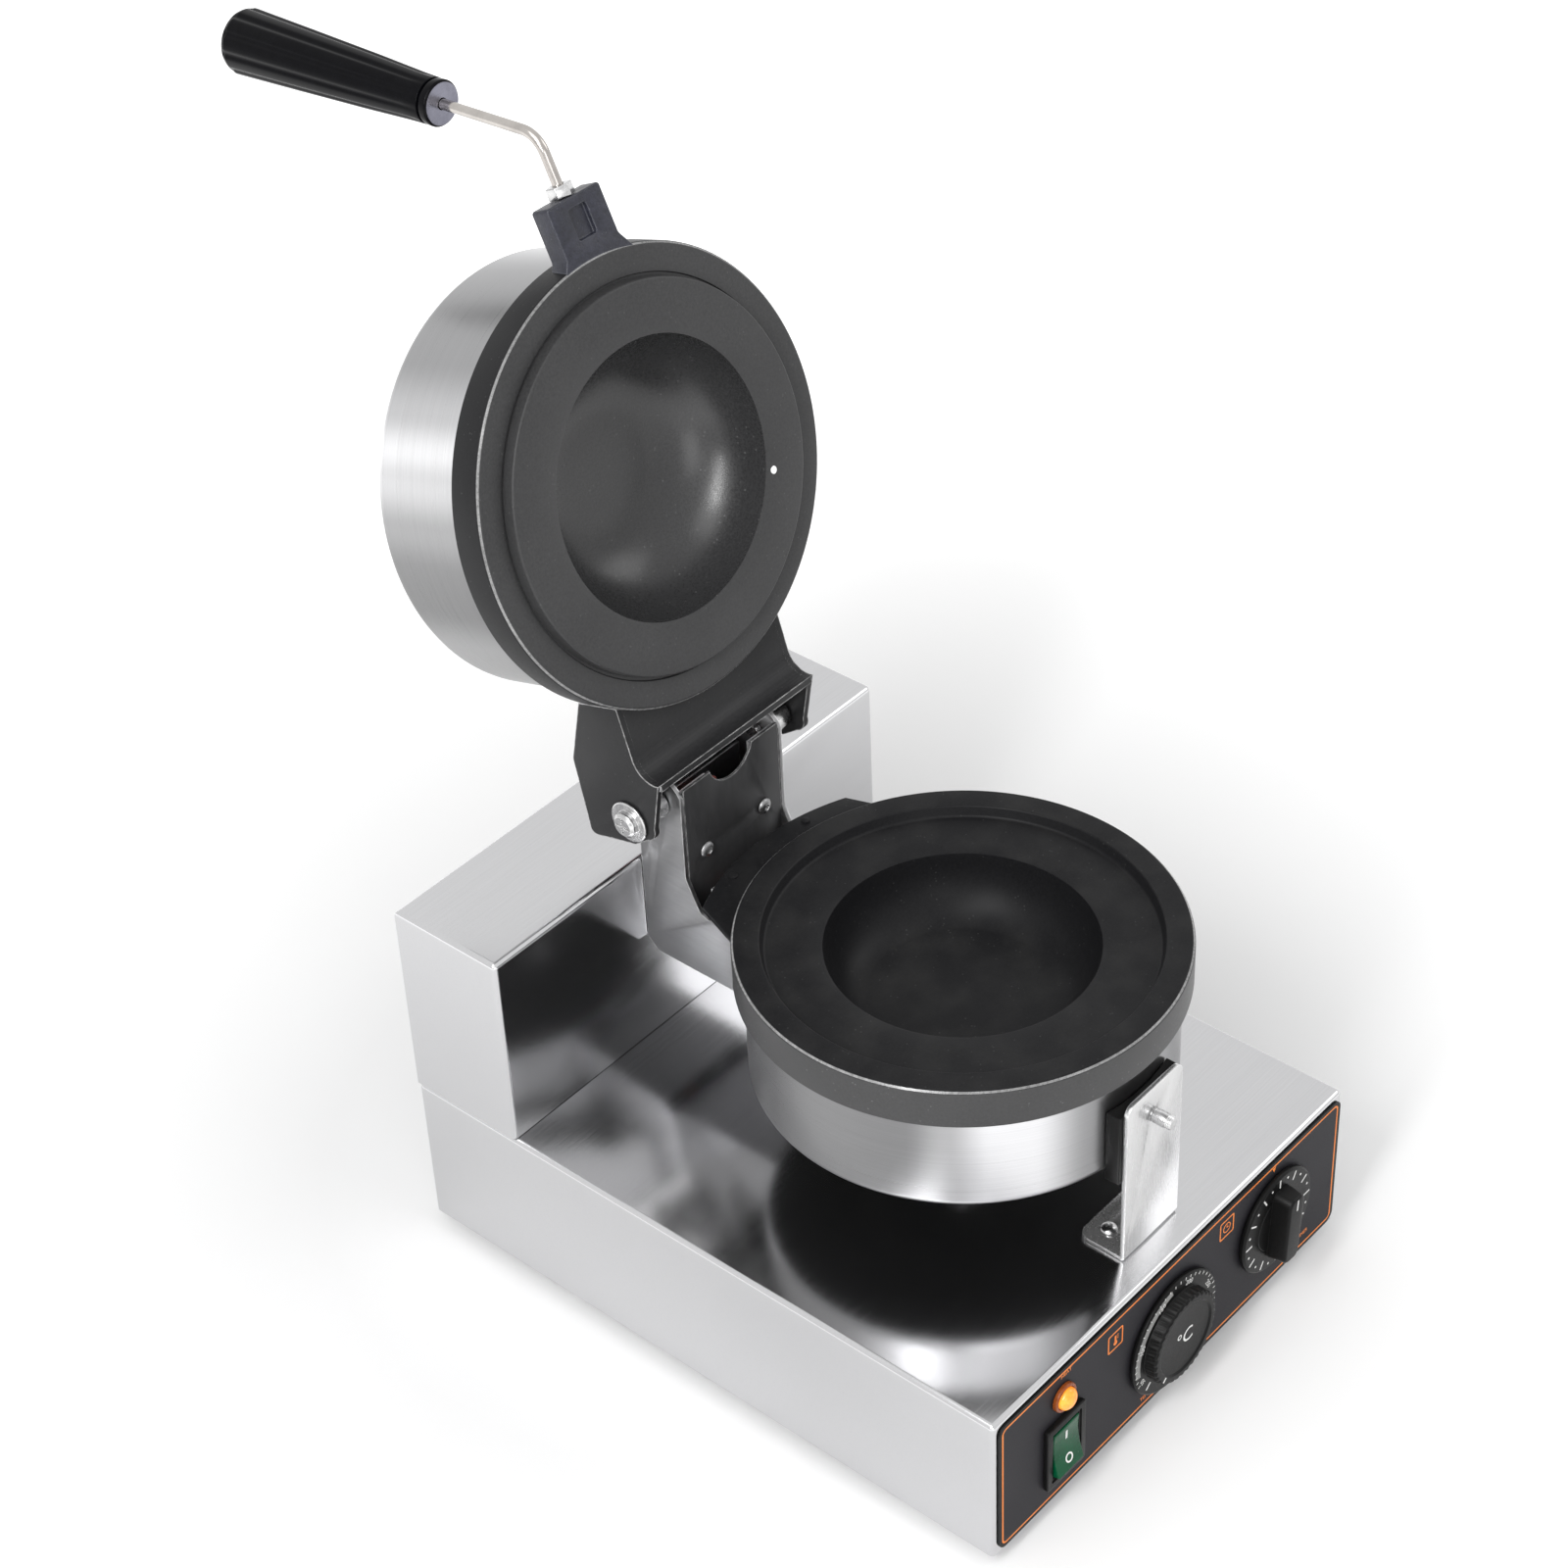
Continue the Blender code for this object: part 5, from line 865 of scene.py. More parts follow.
class Paintshop:
    """Mixes each finish into a material from shared node groups."""

    def __init__(self) -> None:
        """Build the shared effects once."""
        self.made: dict[tuple[str, str], Material] = {}
        self.grain = self._grain_group()
        self.blotches = self._blotch_group()
        self.edge_wear_and_highlight = self._wear_and_highlight_group()
        self.specks = self._speck_group()
        self.dust = self._dust_group()

    @staticmethod
    def _group(name: str, knob: str = "") -> tuple:
        """Start a shared effect: a node group that gives a mask.

        Args:
            name: the group's name.
            knob: name of the number that it takes beside its vector, if it takes one.

        Returns:
            The tree, its input node and its output node.
        """
        tree = bpy.data.node_groups.new(name, "ShaderNodeTree")
        tree.interface.new_socket(name="Vector", in_out="INPUT", socket_type="NodeSocketVector")
        if knob:
            tree.interface.new_socket(name=knob, in_out="INPUT", socket_type="NodeSocketFloat")
        tree.interface.new_socket(name="Mask", in_out="OUTPUT", socket_type="NodeSocketFloat")
        return tree, tree.nodes.new("NodeGroupInput"), tree.nodes.new("NodeGroupOutput")

    @staticmethod
    def _range(
        tree: Tree, source: object, low: float, high: float, to_low: float = 0.0, to_high: float = 1.0,
    ) -> object:
        """Map a value from one range to another and give the result's socket."""
        return wired(tree, "ShaderNodeMapRange", {
            "Value": source, "From Min": low, "From Max": high, "To Min": to_low, "To Max": to_high,
        }).outputs["Result"]

    @staticmethod
    def _maths(tree: Tree, how: str, a: object, b: object) -> object:
        """Work out one operation on two sockets or numbers and give the result's socket."""
        return wired(tree, "ShaderNodeMath", {0: a, 1: b}, operation=how).outputs[0]

    @staticmethod
    def _mix(tree: Tree, share: object, a: object, b: object) -> object:
        """Mix two colours, each a socket or a colour, and give the result's socket."""
        a, b = ((*colour, 1) if isinstance(colour, tuple) else colour for colour in (a, b))
        return wired(tree, "ShaderNodeMix", {0: share, 6: a, 7: b}, data_type="RGBA").outputs[2]

    @staticmethod
    def _noise(tree: Tree, vector: object, scale: object, detail: float) -> object:
        """Add a noise texture and give its value's socket."""
        return wired(tree, "ShaderNodeTexNoise", {
            "Vector": vector, "Scale": scale, "Detail": detail}).outputs["Fac"]

    def _closed(
        self, tree: Tree, into: bpy.types.Node, out: bpy.types.Node,
        where: object, broken: object,
    ) -> Tree:
        """Finish an effect: its mask is the two given ones times the amount.

        Args:
            tree: the effect's tree.
            into: the tree's input node.
            out: the tree's output node.
            where: the first mask.
            broken: the second mask.

        Returns:
            The tree.
        """
        both = self._maths(tree, "MULTIPLY", where, broken)
        fill(tree, out, {"Mask": self._maths(tree, "MULTIPLY", both, into.outputs["Amount"])})
        return tree

    def _grain_group(self) -> Tree:
        """Fine grain or brushing, on a vector that is already stretched.

        Returns:
            The group.
        """
        tree, into, out = self._group("grain")
        coarse = self._noise(tree, into.outputs["Vector"], 1.0, 2)
        fine = self._noise(tree, into.outputs["Vector"], 3.1, 2)
        coarse = self._maths(tree, "MULTIPLY", coarse, 0.6)
        both = self._maths(tree, "ADD", coarse, self._maths(tree, "MULTIPLY", fine, 0.4))
        fill(tree, out, {"Mask": self._range(tree, both, 0.3, 0.7)})
        return tree

    def _blotch_group(self) -> Tree:
        """Soft clouds of a second tone.

        Returns:
            The group.
        """
        tree, into, out = self._group("blotches", "Scale")
        cloud = self._noise(tree, into.outputs["Vector"], into.outputs["Scale"], 3)
        fill(tree, out, {"Mask": self._range(tree, cloud, 0.38, 0.64)})
        return tree

    def _wear_and_highlight_group(self) -> Tree:
        """Bright, broken edge scuffs that also serve as a painted highlight along edges, found where a
        rounded normal leaves the surface's own.

        Returns:
            The group.
        """
        tree, into, out = self._group("edge_wear_and_highlight", "Amount")
        geometry = tree.nodes.new("ShaderNodeNewGeometry")
        bevel = wired(tree, "ShaderNodeBevel", {"Radius": 0.8 * MM}, samples=4)
        dot = wired(tree, "ShaderNodeVectorMath", {
            0: geometry.outputs["True Normal"], 1: bevel.outputs["Normal"]}, operation="DOT_PRODUCT")
        edge = self._range(tree, dot.outputs["Value"], 0.97, 0.86)
        broken = self._range(tree, self._noise(tree, into.outputs["Vector"], 240, 3), 0.25, 0.6)
        return self._closed(tree, into, out, edge, broken)

    def _speck_group(self) -> Tree:
        """Sparse tiny flecks, as in a sprayed coating.

        Returns:
            The group.
        """
        tree, into, out = self._group("specks", "Amount")
        cells = wired(tree, "ShaderNodeTexVoronoi", {"Vector": into.outputs["Vector"], "Scale": 420})
        small = self._range(tree, cells.outputs["Distance"], 0.2, 0.08)
        few = self._range(tree, self._noise(tree, into.outputs["Vector"], 150, 1), 0.55, 0.62)
        return self._closed(tree, into, out, small, few)

    def _dust_group(self) -> Tree:
        """Thin dust on what faces up.

        Returns:
            The group.
        """
        tree, into, out = self._group("dust", "Amount")
        geometry = tree.nodes.new("ShaderNodeNewGeometry")
        parts = wired(tree, "ShaderNodeSeparateXYZ", {0: geometry.outputs["Normal"]})
        top = self._range(tree, parts.outputs["Z"], 0.5, 1.0)
        cloud = self._range(tree, self._noise(tree, into.outputs["Vector"], 55, 5), 0.4, 0.75)
        return self._closed(tree, into, out, top, cloud)

    @staticmethod
    def _use(tree: Tree, group: Tree, vector: object, **values: float) -> object:
        """Place a shared effect in a material and give its mask's socket."""
        inputs = {"Vector": vector, **values}
        return wired(tree, "ShaderNodeGroup", inputs, node_tree=group).outputs[0]

    def coat(self, finish: Finish, place: Optional[Matrix] = None, tag: str = "") -> Material:
        """Mix a finish.

        Args:
            finish: the finish to mix.
            place: frame that the grain and the painted reflections follow, in place of the world's.
            tag: ending for the material's name where a finish has several frames.

        Returns:
            The material, made once for each finish and tag.
        """
        key = (finish.name, tag)
        if key in self.made:
            return self.made[key]
        material = bpy.data.materials.new(finish.name + (f"_{tag}" if tag else ""))
        material.use_nodes = True
        tree = material.node_tree
        shader = tree.nodes["Principled BSDF"]
        source = tree.nodes.new("ShaderNodeTexCoord").outputs["Object"]
        if place is not None:
            into = place.inverted()
            source = wired(tree, "ShaderNodeMapping", {
                "Vector": source, "Location": into.translation, "Rotation": into.to_euler("XYZ"),
            }).outputs["Vector"]
        stretch = wired(tree, "ShaderNodeMapping", {"Vector": source, "Scale": finish.grain})
        grain = self._use(tree, self.grain, stretch.outputs["Vector"])
        clouds = self._use(tree, self.blotches, source, Scale=finish.blotch)
        share = self._maths(tree, "MULTIPLY", clouds, finish.blotch_share)
        colour = self._mix(tree, share, finish.colour, finish.tint)
        shade = self._range(tree, grain, 0, 1, 1 - finish.grain_colour, 1 + finish.grain_colour)
        colour = self._scaled(tree, colour, shade)
        # Painted reflections: the drum's colour is scaled by levels set round its axis.
        if finish.painted_reflection_bands:
            colour = self._scaled(tree, colour, self._painted_reflection(tree, source, finish.painted_reflection_bands))
        # Specks, scuffed edges with their painted edge highlight, and dust are mixed over the colour.
        for amount, effect, over in (
            (finish.specks, self.specks, finish.speck_colour),
            (finish.wear_and_highlight, self.edge_wear_and_highlight, finish.wear_and_highlight_colour),
            (finish.dust, self.dust, DUST_COLOUR),
        ):
            if amount:
                mask = self._use(tree, effect, source, Amount=amount)
                colour = self._mix(tree, mask, colour, over)
        smoothest, roughest = finish.roughness - finish.spread, finish.roughness + finish.spread
        rough = self._range(tree, grain, 0, 1, smoothest, roughest)
        clouded = self._maths(tree, "MULTIPLY", clouds, finish.spread / 2)
        relief = wired(tree, "ShaderNodeBump", {
            "Strength": 0.6, "Distance": finish.grain_depth * MM, "Height": grain})
        fill(tree, shader, {
            "Base Color": colour, "Roughness": self._maths(tree, "ADD", rough, clouded),
            "Normal": relief.outputs["Normal"], "Metallic": finish.metallic,
            "Specular IOR Level": finish.specular, "Coat Weight": finish.coat, "Coat Roughness": 0.05,
        })
        # Emission: the lamp's own light on the amber lens, painted light on the other finishes.
        if finish.painted_glow_and_lamp_glow:
            fill(tree, shader, {"Emission Color": colour, "Emission Strength": finish.painted_glow_and_lamp_glow})
        self.made[key] = material
        return material

    @staticmethod
    def _scaled(tree: Tree, colour: object, factor: object) -> object:
        """Multiply a colour by a value that changes over the surface."""
        return wired(
            tree, "ShaderNodeVectorMath", {0: colour, "Scale": factor}, operation="SCALE").outputs[0]

    def _painted_reflection(self, tree: Tree, source: object, painted_reflection_bands: Sequence[Flat]) -> object:
        """Give a drum's painted reflections: soft lighter and darker streaks that run along it, set by
        angle round its axis; a level above 1 is a painted highlight.

        Args:
            tree: the material's tree.
            source: socket of the place.
            painted_reflection_bands: levels of the painted reflections, as (share of a turn, level).

        Returns:
            The level's socket.
        """
        parts = wired(tree, "ShaderNodeSeparateXYZ", {0: source})
        angle = self._maths(tree, "ARCTAN2", parts.outputs["Y"], parts.outputs["X"])
        ramp = wired(tree, "ShaderNodeValToRGB", {"Fac": self._range(tree, angle, -math.pi, math.pi)})
        ramp.color_ramp.interpolation = "EASE"
        points = ramp.color_ramp.elements
        while len(points) < len(painted_reflection_bands):
            points.new(0.5)
        for point, (position, level) in zip(points, painted_reflection_bands):
            point.position = position
            point.color = (level, level, level, 1)
        return wired(tree, "ShaderNodeSeparateColor", {0: ramp.outputs["Color"]}).outputs[0]

    def deliver(
        self, piece: Piece, body: Body, slot: Slot, finish: Optional[Finish], *nodes: str,
        smooth: float = 35,
    ) -> Piece:
        """Shade a finished piece, give it its finish and hand it to the frame.

        Args:
            piece: the piece, at its place.
            body: the body that it rides on.
            slot: the record's slot for its finish; not used.
            finish: its finish, or None if it has its materials already.
            nodes: frame nodes that it stands for.
            smooth: angle in degrees above which an edge stays sharp.

        Returns:
            The piece.
        """
        Bench.hold(piece)
        bpy.ops.object.shade_smooth_by_angle(angle=math.radians(smooth))
        if finish is not None:
            piece.data.materials.append(self.coat(finish))
        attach(piece, body.value)
        if nodes:
            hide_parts(*nodes)
        LOG.info("%-26s %-16s %6d faces", piece.name, body.value, len(piece.data.polygons))
        return piece


@dataclass
class Screws:
    """Round-head screws with a hexagon socket, modelled once and copied."""

    shop: Paintshop
    shank: float = 2 * MM
    head: float = 3.8 * MM
    rise: float = 2 * MM
    socket: float = 1.5 * MM
    deep: float = 1.2 * MM
    length: float = 6 * MM
    master: Optional[Piece] = None

    def build(self) -> None:
        """Turn the head and shank and cut the socket."""
        dome = [(r * self.head, h * self.rise) for r, h in arc((0, 0), 1, 0, 90, 8)]
        screw = Bench.turned("screw", [
            (0, -self.length), (self.shank, -self.length), (self.shank, 0), *dome[:-1],
            (0, self.rise)], 40)
        tool = Bench.rod(
            "socket", Matrix.Translation((0, 0, self.rise - self.deep)), self.socket, 2 * self.deep, 6)
        self.master = Bench.soften(Bench.carve(screw, tool), 0.15 * MM, 2, 50)

    def drive(self, node: str, place: Matrix, body: Body, finish: Finish = ZINC) -> Piece:
        """Copy the screw to the place of a frame node."""
        screw = Bench.copied(self.master, f"{node}_head", place)
        return self.shop.deliver(screw, body, Slot.ZINC, finish, node)

    def clear(self) -> None:
        """Put the model screw away."""
        bpy.data.objects.remove(self.master)


@dataclass
class Cabinet:
    """Lower cabinet of folded stainless sheet, with its feet."""

    shop: Paintshop
    half_width: float = 125 * MM
    depth: float = 325 * MM
    bottom: float = 8 * MM
    top: float = DECK
    sheet: float = 1.2 * MM
    bend: float = 2.5 * MM
    foot_inset: float = 26 * MM

    def build(self) -> None:
        """Make the shell and the feet."""
        self._shell()
        self._feet()

    def _shell(self) -> None:
        """Fold the shell from a box without a bottom and cut the control openings."""
        shell = Bench.folded(
            "cabinet_shell", (-self.half_width, FRONT_WALL, self.bottom),
            (self.half_width, FRONT_WALL + self.depth, self.top), self.bend, self.sheet,
            lambda middle, run: middle.z > self.top - MM or abs(run.z) > 0.5,
            lambda middle, normal: normal.z < -0.9)
        Bench.carve(shell, *control_openings())
        self.shop.deliver(shell, Body.BASE, Slot.STAINLESS, STAINLESS, "base_shell", smooth=30)

    def _feet(self) -> None:
        """Turn one rubber foot with a ribbed skirt and copy it to the four corners."""
        height = (self.bottom - GAP) / MM
        stud = height + 5
        profile = filleted([
            (0, 0, 0), (9.2, 0, 0.6), (10, 1.2, 0.5), (9.2, 3, 0.4), (9.5, 4, 0.4), (8.6, height, 0.4),
            (2.5, height, 0), (2.5, stud, 0.3), (0, stud, 0)], 3)
        foot = Bench.turned("foot", profile, 48)
        for row, inset in (("front", self.foot_inset), ("rear", self.depth - self.foot_inset)):
            for side, way in SIDES:
                across = way * (self.half_width - self.foot_inset)
                spot = Matrix.Translation((across, FRONT_WALL + inset, 0))
                copy = Bench.copied(foot, f"rubber_foot_{row}_{side}", spot)
                self.shop.deliver(copy, Body.BASE, Slot.RUBBER, RUBBER, f"foot_{row}_{side}")
        bpy.data.objects.remove(foot)


@dataclass
class RearBox:
    """Tall box at the back with its screwed cover and cable gland."""

    shop: Paintshop
    screws: Screws
    half_width: float = 125 * MM
    front: float = 265 * MM + FRONT_WALL
    back: float = 325 * MM + FRONT_WALL
    low: float = DECK + GAP
    top: float = 188 * MM
    sheet: float = 1.2 * MM
    bend: float = 2.5 * MM
    screw_across: float = 117.8
    screw_height: float = 137.65
    gland: Flat = (-80, 113)
    vents: int = 5
    vent_middle: Flat = (62.5, 137.5)
    vent_pitch: float = 11

    def build(self) -> None:
        """Make the housing, the cover with its vents, and the gland."""
        self._housing()
        self._cover()
        self._gland()

    def _housing(self) -> None:
        """Fold the housing, open below and behind, with a lip behind the cover."""
        def creased(middle: Vector, run: Vector) -> bool:
            """Tell the edges that the sheet is folded along."""
            upright = abs(run.z) > 0.5 and middle.y < self.back - MM
            return upright or middle.z > self.top - MM

        box = Bench.folded(
            "rear_box", (-self.half_width, self.front, self.low),
            (self.half_width, self.back, self.top), self.bend, self.sheet, creased,
            lambda middle, normal: normal.z < -0.9 or normal.y > 0.9)
        port = along("Y", millimetres(0, 18, PORT_HEIGHT))
        Bench.carve(box, Bench.rod("port", port, PORT_RADIUS, 8 * MM, 40))
        self.shop.deliver(box, Body.BASE, Slot.STAINLESS, STAINLESS, "rear_housing", smooth=30)

    def _cover(self) -> None:
        """Cut the cover's vents, gland hole and screw holes, and drive its screws."""
        inner = self.half_width - 1.5 * MM
        low, high = 88.8 * MM, 186.5 * MM
        outline = [(-inner, low), (inner, low), (inner, high), (-inner, high)]
        cover = Bench.plate("rear_panel", outline, 0, self.sheet)
        middle, height = self.vent_middle
        slot = [
            *arc(millimetres(middle + 15, 0), 2 * MM, -90, 90, 6),
            *arc(millimetres(middle - 15, 0), 2 * MM, 90, 270, 6)]
        tools = []
        for i in range(self.vents):
            tool = Bench.plate("vent", slot, -2 * MM, 4 * MM)
            tools.append(Bench.settle(tool, at(0, height + (i - 2) * self.vent_pitch, 0)))
        tools.append(Bench.rod("gland_hole", at(*self.gland, -2), 8.3 * MM, 6 * MM, 40))
        for _, way in SIDES:
            spot = at(way * self.screw_across, self.screw_height, -2)
            tools.append(Bench.rod("screw_hole", spot, SCREW_HOLE, 6 * MM, 24))
        Bench.soften(Bench.carve(cover, *tools), 0.2 * MM, 2, 60)
        Bench.settle(cover, on_front(0, 0, self.back))
        self.shop.deliver(cover, Body.BASE, Slot.STAINLESS, STAINLESS, "rear_cover")
        Bench.apply(cover, "WEIGHTED_NORMAL", keep_sharp=True)
        for side, way in SIDES:
            place = (way * self.screw_across * MM, self.back + GAP, self.screw_height * MM)
            self.screws.drive(f"rear_cover_screw_{side}", along("Y", place), Body.BASE)

    def _gland(self) -> None:
        """Turn the gland with its hexagon nut and its slotted, empty mouth."""
        mouth = filleted([
            (4.5, -8, 0), (8, -8, 0), (8, 0, 0), (8, 10.5, 0.6), (7.2, 11, 0.4), (7.6, 12.6, 0.5),
            (5.8, 16, 0.6), (4.5, 16, 0.2), (4.5, -8, 0)], 3)
        gland = Bench.turned("cord_gland", mouth, 64)
        nut = Bench.soften(Bench.rod("gland_nut", Matrix(), 12 * MM, 6 * MM, 6), 0.8 * MM, 3)
        Bench.carve(nut, Bench.rod("bore", at(0, 0, -1), 7.8 * MM, 8 * MM, 64))
        gland = Bench.joined("cord_gland", [gland, nut])
        across, height = millimetres(*self.gland)
        Bench.settle(gland, along("Y", (across, self.back + GAP, height)))
        self.shop.deliver(gland, Body.BASE, Slot.BLACK, BLACK_MOULDING, "cable_gland")


@dataclass
class ControlPanel:
    """Printed overlay with the rocker switch, lamp, thermostat knob and timer knob."""

    shop: Paintshop
    face: float = -244.75035 * MM
    switch: Flat = (-80.5 * MM, 39.995 * MM)
    lamp: Flat = (-80.5 * MM, 68.995 * MM)
    thermostat: Flat = (-4.4 * MM, 44.024 * MM)
    timer: Flat = (71 * MM, 51.45 * MM)
    film: float = 0.04 * MM
    rest_tilt: float = 7
    bar_turn: float = 4

    def build(self) -> None:
        """Make the overlay and what it carries."""
        self._overlay()
        self._icons()
        self._switch()
        self._rocker()
        self._lamp()
        self._thermostat()
        self._timer()

    def _overlay(self) -> None:
        """Cut the overlay and print its black border, orange line and charcoal field."""
        outline = rounded_box(122.5 * MM, 10.5 * MM, 84.5 * MM, 5 * MM)
        panel = Bench.plate("control_face", outline, 0, 0.8 * MM)
        for finish in (BORDER_INK, ORANGE_INK, PANEL_INK):
            panel.data.materials.append(self.shop.coat(finish))
        Bench.open(panel)
        Bench.select(panel, Pick.FACES, lambda middle, normal: normal.z > 0.9)
        for index, margin in ((1, 1.9 * MM), (2, 0.95 * MM)):
            bpy.ops.mesh.inset(thickness=margin, depth=0)
            panel.active_material_index = index
            bpy.ops.object.material_slot_assign()
        Bench.put_down()
        Bench.settle(panel, on_front(0, 0, self.face + 0.8 * MM))
        Bench.carve(panel, *control_openings())
        self.shop.deliver(panel, Body.BASE, Slot.OVERLAY, None, "control_overlay")

    def _print(self, name: str, shapes: Sequence[Piece], finish: Finish) -> None:
        """Lay printed marks on the overlay, all in one piece."""
        mark = Bench.settle(Bench.joined(name, shapes), on_front(0, 0, self.face))
        self.shop.deliver(mark, Body.BASE, Slot.OVERLAY, finish)

    def _frame_mark(self, across: float, height: float) -> Piece:
        """Print a square ring with round corners, at a place in millimetres.

        Args:
            across: the ring's middle, across.
            height: the ring's middle, upwards.

        Returns:
            The piece.
        """
        half, hollow = millimetres(5.2, 4.45)
        mark = Bench.plate("ring", rounded_box(half, -half, half, half / 5, 4), 0, self.film)
        outline = rounded_box(hollow, -hollow, hollow, half / 8, 4)
        Bench.carve(mark, Bench.plate("hole", outline, -MM, MM))
        return Bench.settle(mark, at(across, height, 0))

    def _mark(self, name: str, *corners: Flat) -> Piece:
        """Print a patch between corners in millimetres."""
        return Bench.plate(name, [millimetres(*corner) for corner in corners], 0, self.film)

    def _bar(self, name: str, left: float, low: float, right: float, high: float) -> Piece:
        """Print an upright or level bar, given in millimetres."""
        return self._mark(name, (left, low), (right, low), (right, high), (left, high))

    def _icons(self) -> None:
        """Print the plain thermometer, clock and pointer marks and the words."""
        thermometer = [
            self._frame_mark(-44, 71), self._bar("stem", -44.6, 70, -43.4, 73.6),
            Bench.plate("bulb", arc(millimetres(-44, 69.3), 1.25 * MM, 0, 345, 23), 0, self.film),
        ]
        for low in (71.2, 72.2, 73.2):
            thermometer.append(self._bar("tick", -42.9, low, -41.9, low + 0.3))
        self._print("thermometer_mark", thermometer, ORANGE_INK)
        centre = millimetres(36, 73)
        ring = Bench.plate("face", arc(centre, 2.7 * MM, 0, 350, 35), 0, self.film)
        Bench.carve(ring, Bench.plate("hole", arc(centre, 2.2 * MM, 0, 350, 35), -MM, MM))
        clock = [
            self._frame_mark(36, 73), ring, self._bar("hand", 35.8, 73, 36.2, 74.8),
            self._bar("hand", 36, 72.8, 37.3, 73.2),
        ]
        self._print("clock_mark", clock, ORANGE_INK)
        pointers = [
            self._mark("pointer", (69.6, 81.3), (71, 78.8), (72.4, 81.3)),
            self._mark("pointer", (-5.6, 13.8), (-3.2, 13.8), (-4.4, 15.6)),
        ]
        self._print("pointer_marks", pointers, ORANGE_INK)
        words = (("HEAT", -78, 80.4), ("TEMPERATURE", -15, 16.5), ("TIMER", 98, 19.5))
        self._print("panel_words", [
            Bench.lettering(word, word, 2.9 * MM, at(across, height, 0.02))
            for word, across, height in words], ORANGE_INK)

    def _switch(self) -> None:
        """Mould the bezel with a stepped lip round the rocker's well."""
        x, z = self.switch
        outline = rounded_box(13 * MM, -18 * MM, 18 * MM, 1.6 * MM, 5)
        bezel = Bench.plate("switch_bezel", outline, 0, 2.5 * MM)
        Bench.soften(bezel, 0.5 * MM, 3, 50)
        low, high = millimetres(-10.5, -14.5, -24.5), millimetres(10.5, 14.5, 1)
        Bench.weld(bezel, Bench.block("body", low, high))
        low, high = millimetres(-8.8, -13.5, -13.5), millimetres(8.8, 13.5, 4)
        well = Bench.block("well", low, high)
        outline = rounded_box(10 * MM, -14.9 * MM, 14.9 * MM, MM, 4)
        Bench.carve(bezel, well, Bench.plate("step", outline, 1.9 * MM, 4 * MM))
        Bench.settle(bezel, on_front(x, z, self.face - GAP))
        self.shop.deliver(bezel, Body.BASE, Slot.BLACK, BLACK_MOULDING, "switch_housing", smooth=40)

    def _rocker(self) -> None:
        """Mould the dished rocker, tilted as it rests, with its I and O."""
        x, z = self.switch
        axis = Matrix.Translation((x, self.face - GAP - 2.5 * MM + 5 * MM, z))
        axis = axis @ spun("X", -self.rest_tilt)
        dish = [(-6.5 + 1.6 * (1 - (s / 12) ** 2), s) for s in range(-12, 13, 2)]
        keel = [(p[0] / MM, p[1] / MM) for p in reversed(arc((0, 0), 4 * MM, -60, 60, 8))]
        side = [(y * MM, h * MM) for y, h in [*dish, (0, 13), *keel, (0, -13)]]
        rocker = Bench.plate("rocker_key", side, -8.5 * MM, 8.5 * MM)
        Bench.soften(rocker, 0.5 * MM, 3, 45)
        Bench.settle(rocker, axis @ SIDEWAYS)
        self.shop.deliver(rocker, Body.ROCKER, Slot.GREEN, GREEN_ROCKER, "switch_rocker", smooth=40)
        facing = axis @ spun("X", 90)
        bar = Bench.block("mark_on", millimetres(-0.6, 4.2, 0), millimetres(0.6, 9, 0.08))
        Bench.settle(bar, facing @ at(0, 0, 4.52) @ spun("X", 8.3))
        ring = Bench.plate("mark_off", arc((0, 0), 2.4 * MM, 0, 350, 35), 0, 0.08 * MM)
        Bench.carve(ring, Bench.plate("hole", arc((0, 0), 1.6 * MM, 0, 350, 35), -MM, MM))
        Bench.settle(ring, facing @ at(0, -6.6, 5.47) @ spun("X", -8.3))
        marks = Bench.joined("rocker_marks", [bar, ring])
        self.shop.deliver(marks, Body.ROCKER, Slot.GREEN, WHITE_INK)

    def _lamp(self) -> None:
        """Turn the lamp's collar and its domed, ribbed lens."""
        spot = on_front(*self.lamp, self.face - GAP)
        collar = Bench.turned("lamp_collar", filleted([
            (0, -22, 0), (5, -22, 0), (5, 0, 0), (7, 0, 0.1), (7, 2, 0.7), (5.6, 2, 0.2),
            (5.5, 0.8, 0), (0, 0.8, 0)]), 64)
        Bench.settle(collar, spot)
        self.shop.deliver(collar, Body.BASE, Slot.AMBER, AMBER_COLLAR, "lamp_holder")
        dome = [(r * 5.2 * MM, (2.3 + h * 3.4) * MM) for r, h in arc((0, 0), 1, 0, 90, 12)]
        profile = [(0, 1.1 * MM), (5.2 * MM, 1.1 * MM), *dome[:-1], (0, 5.7 * MM)]
        lens = Bench.turned("lamp_dome", profile, 64)
        Bench.settle(lens, spot)
        self.shop.deliver(lens, Body.BASE, Slot.AMBER, AMBER_LENS, "lamp_lens")

    def _dial_marks(self, name: str, shapes: Sequence[Piece], spot: Matrix, body: Body) -> None:
        """Print white marks on a dial."""
        marks = Bench.settle(Bench.joined(name, shapes), spot)
        self.shop.deliver(marks, body, Slot.BLACK, WHITE_INK)

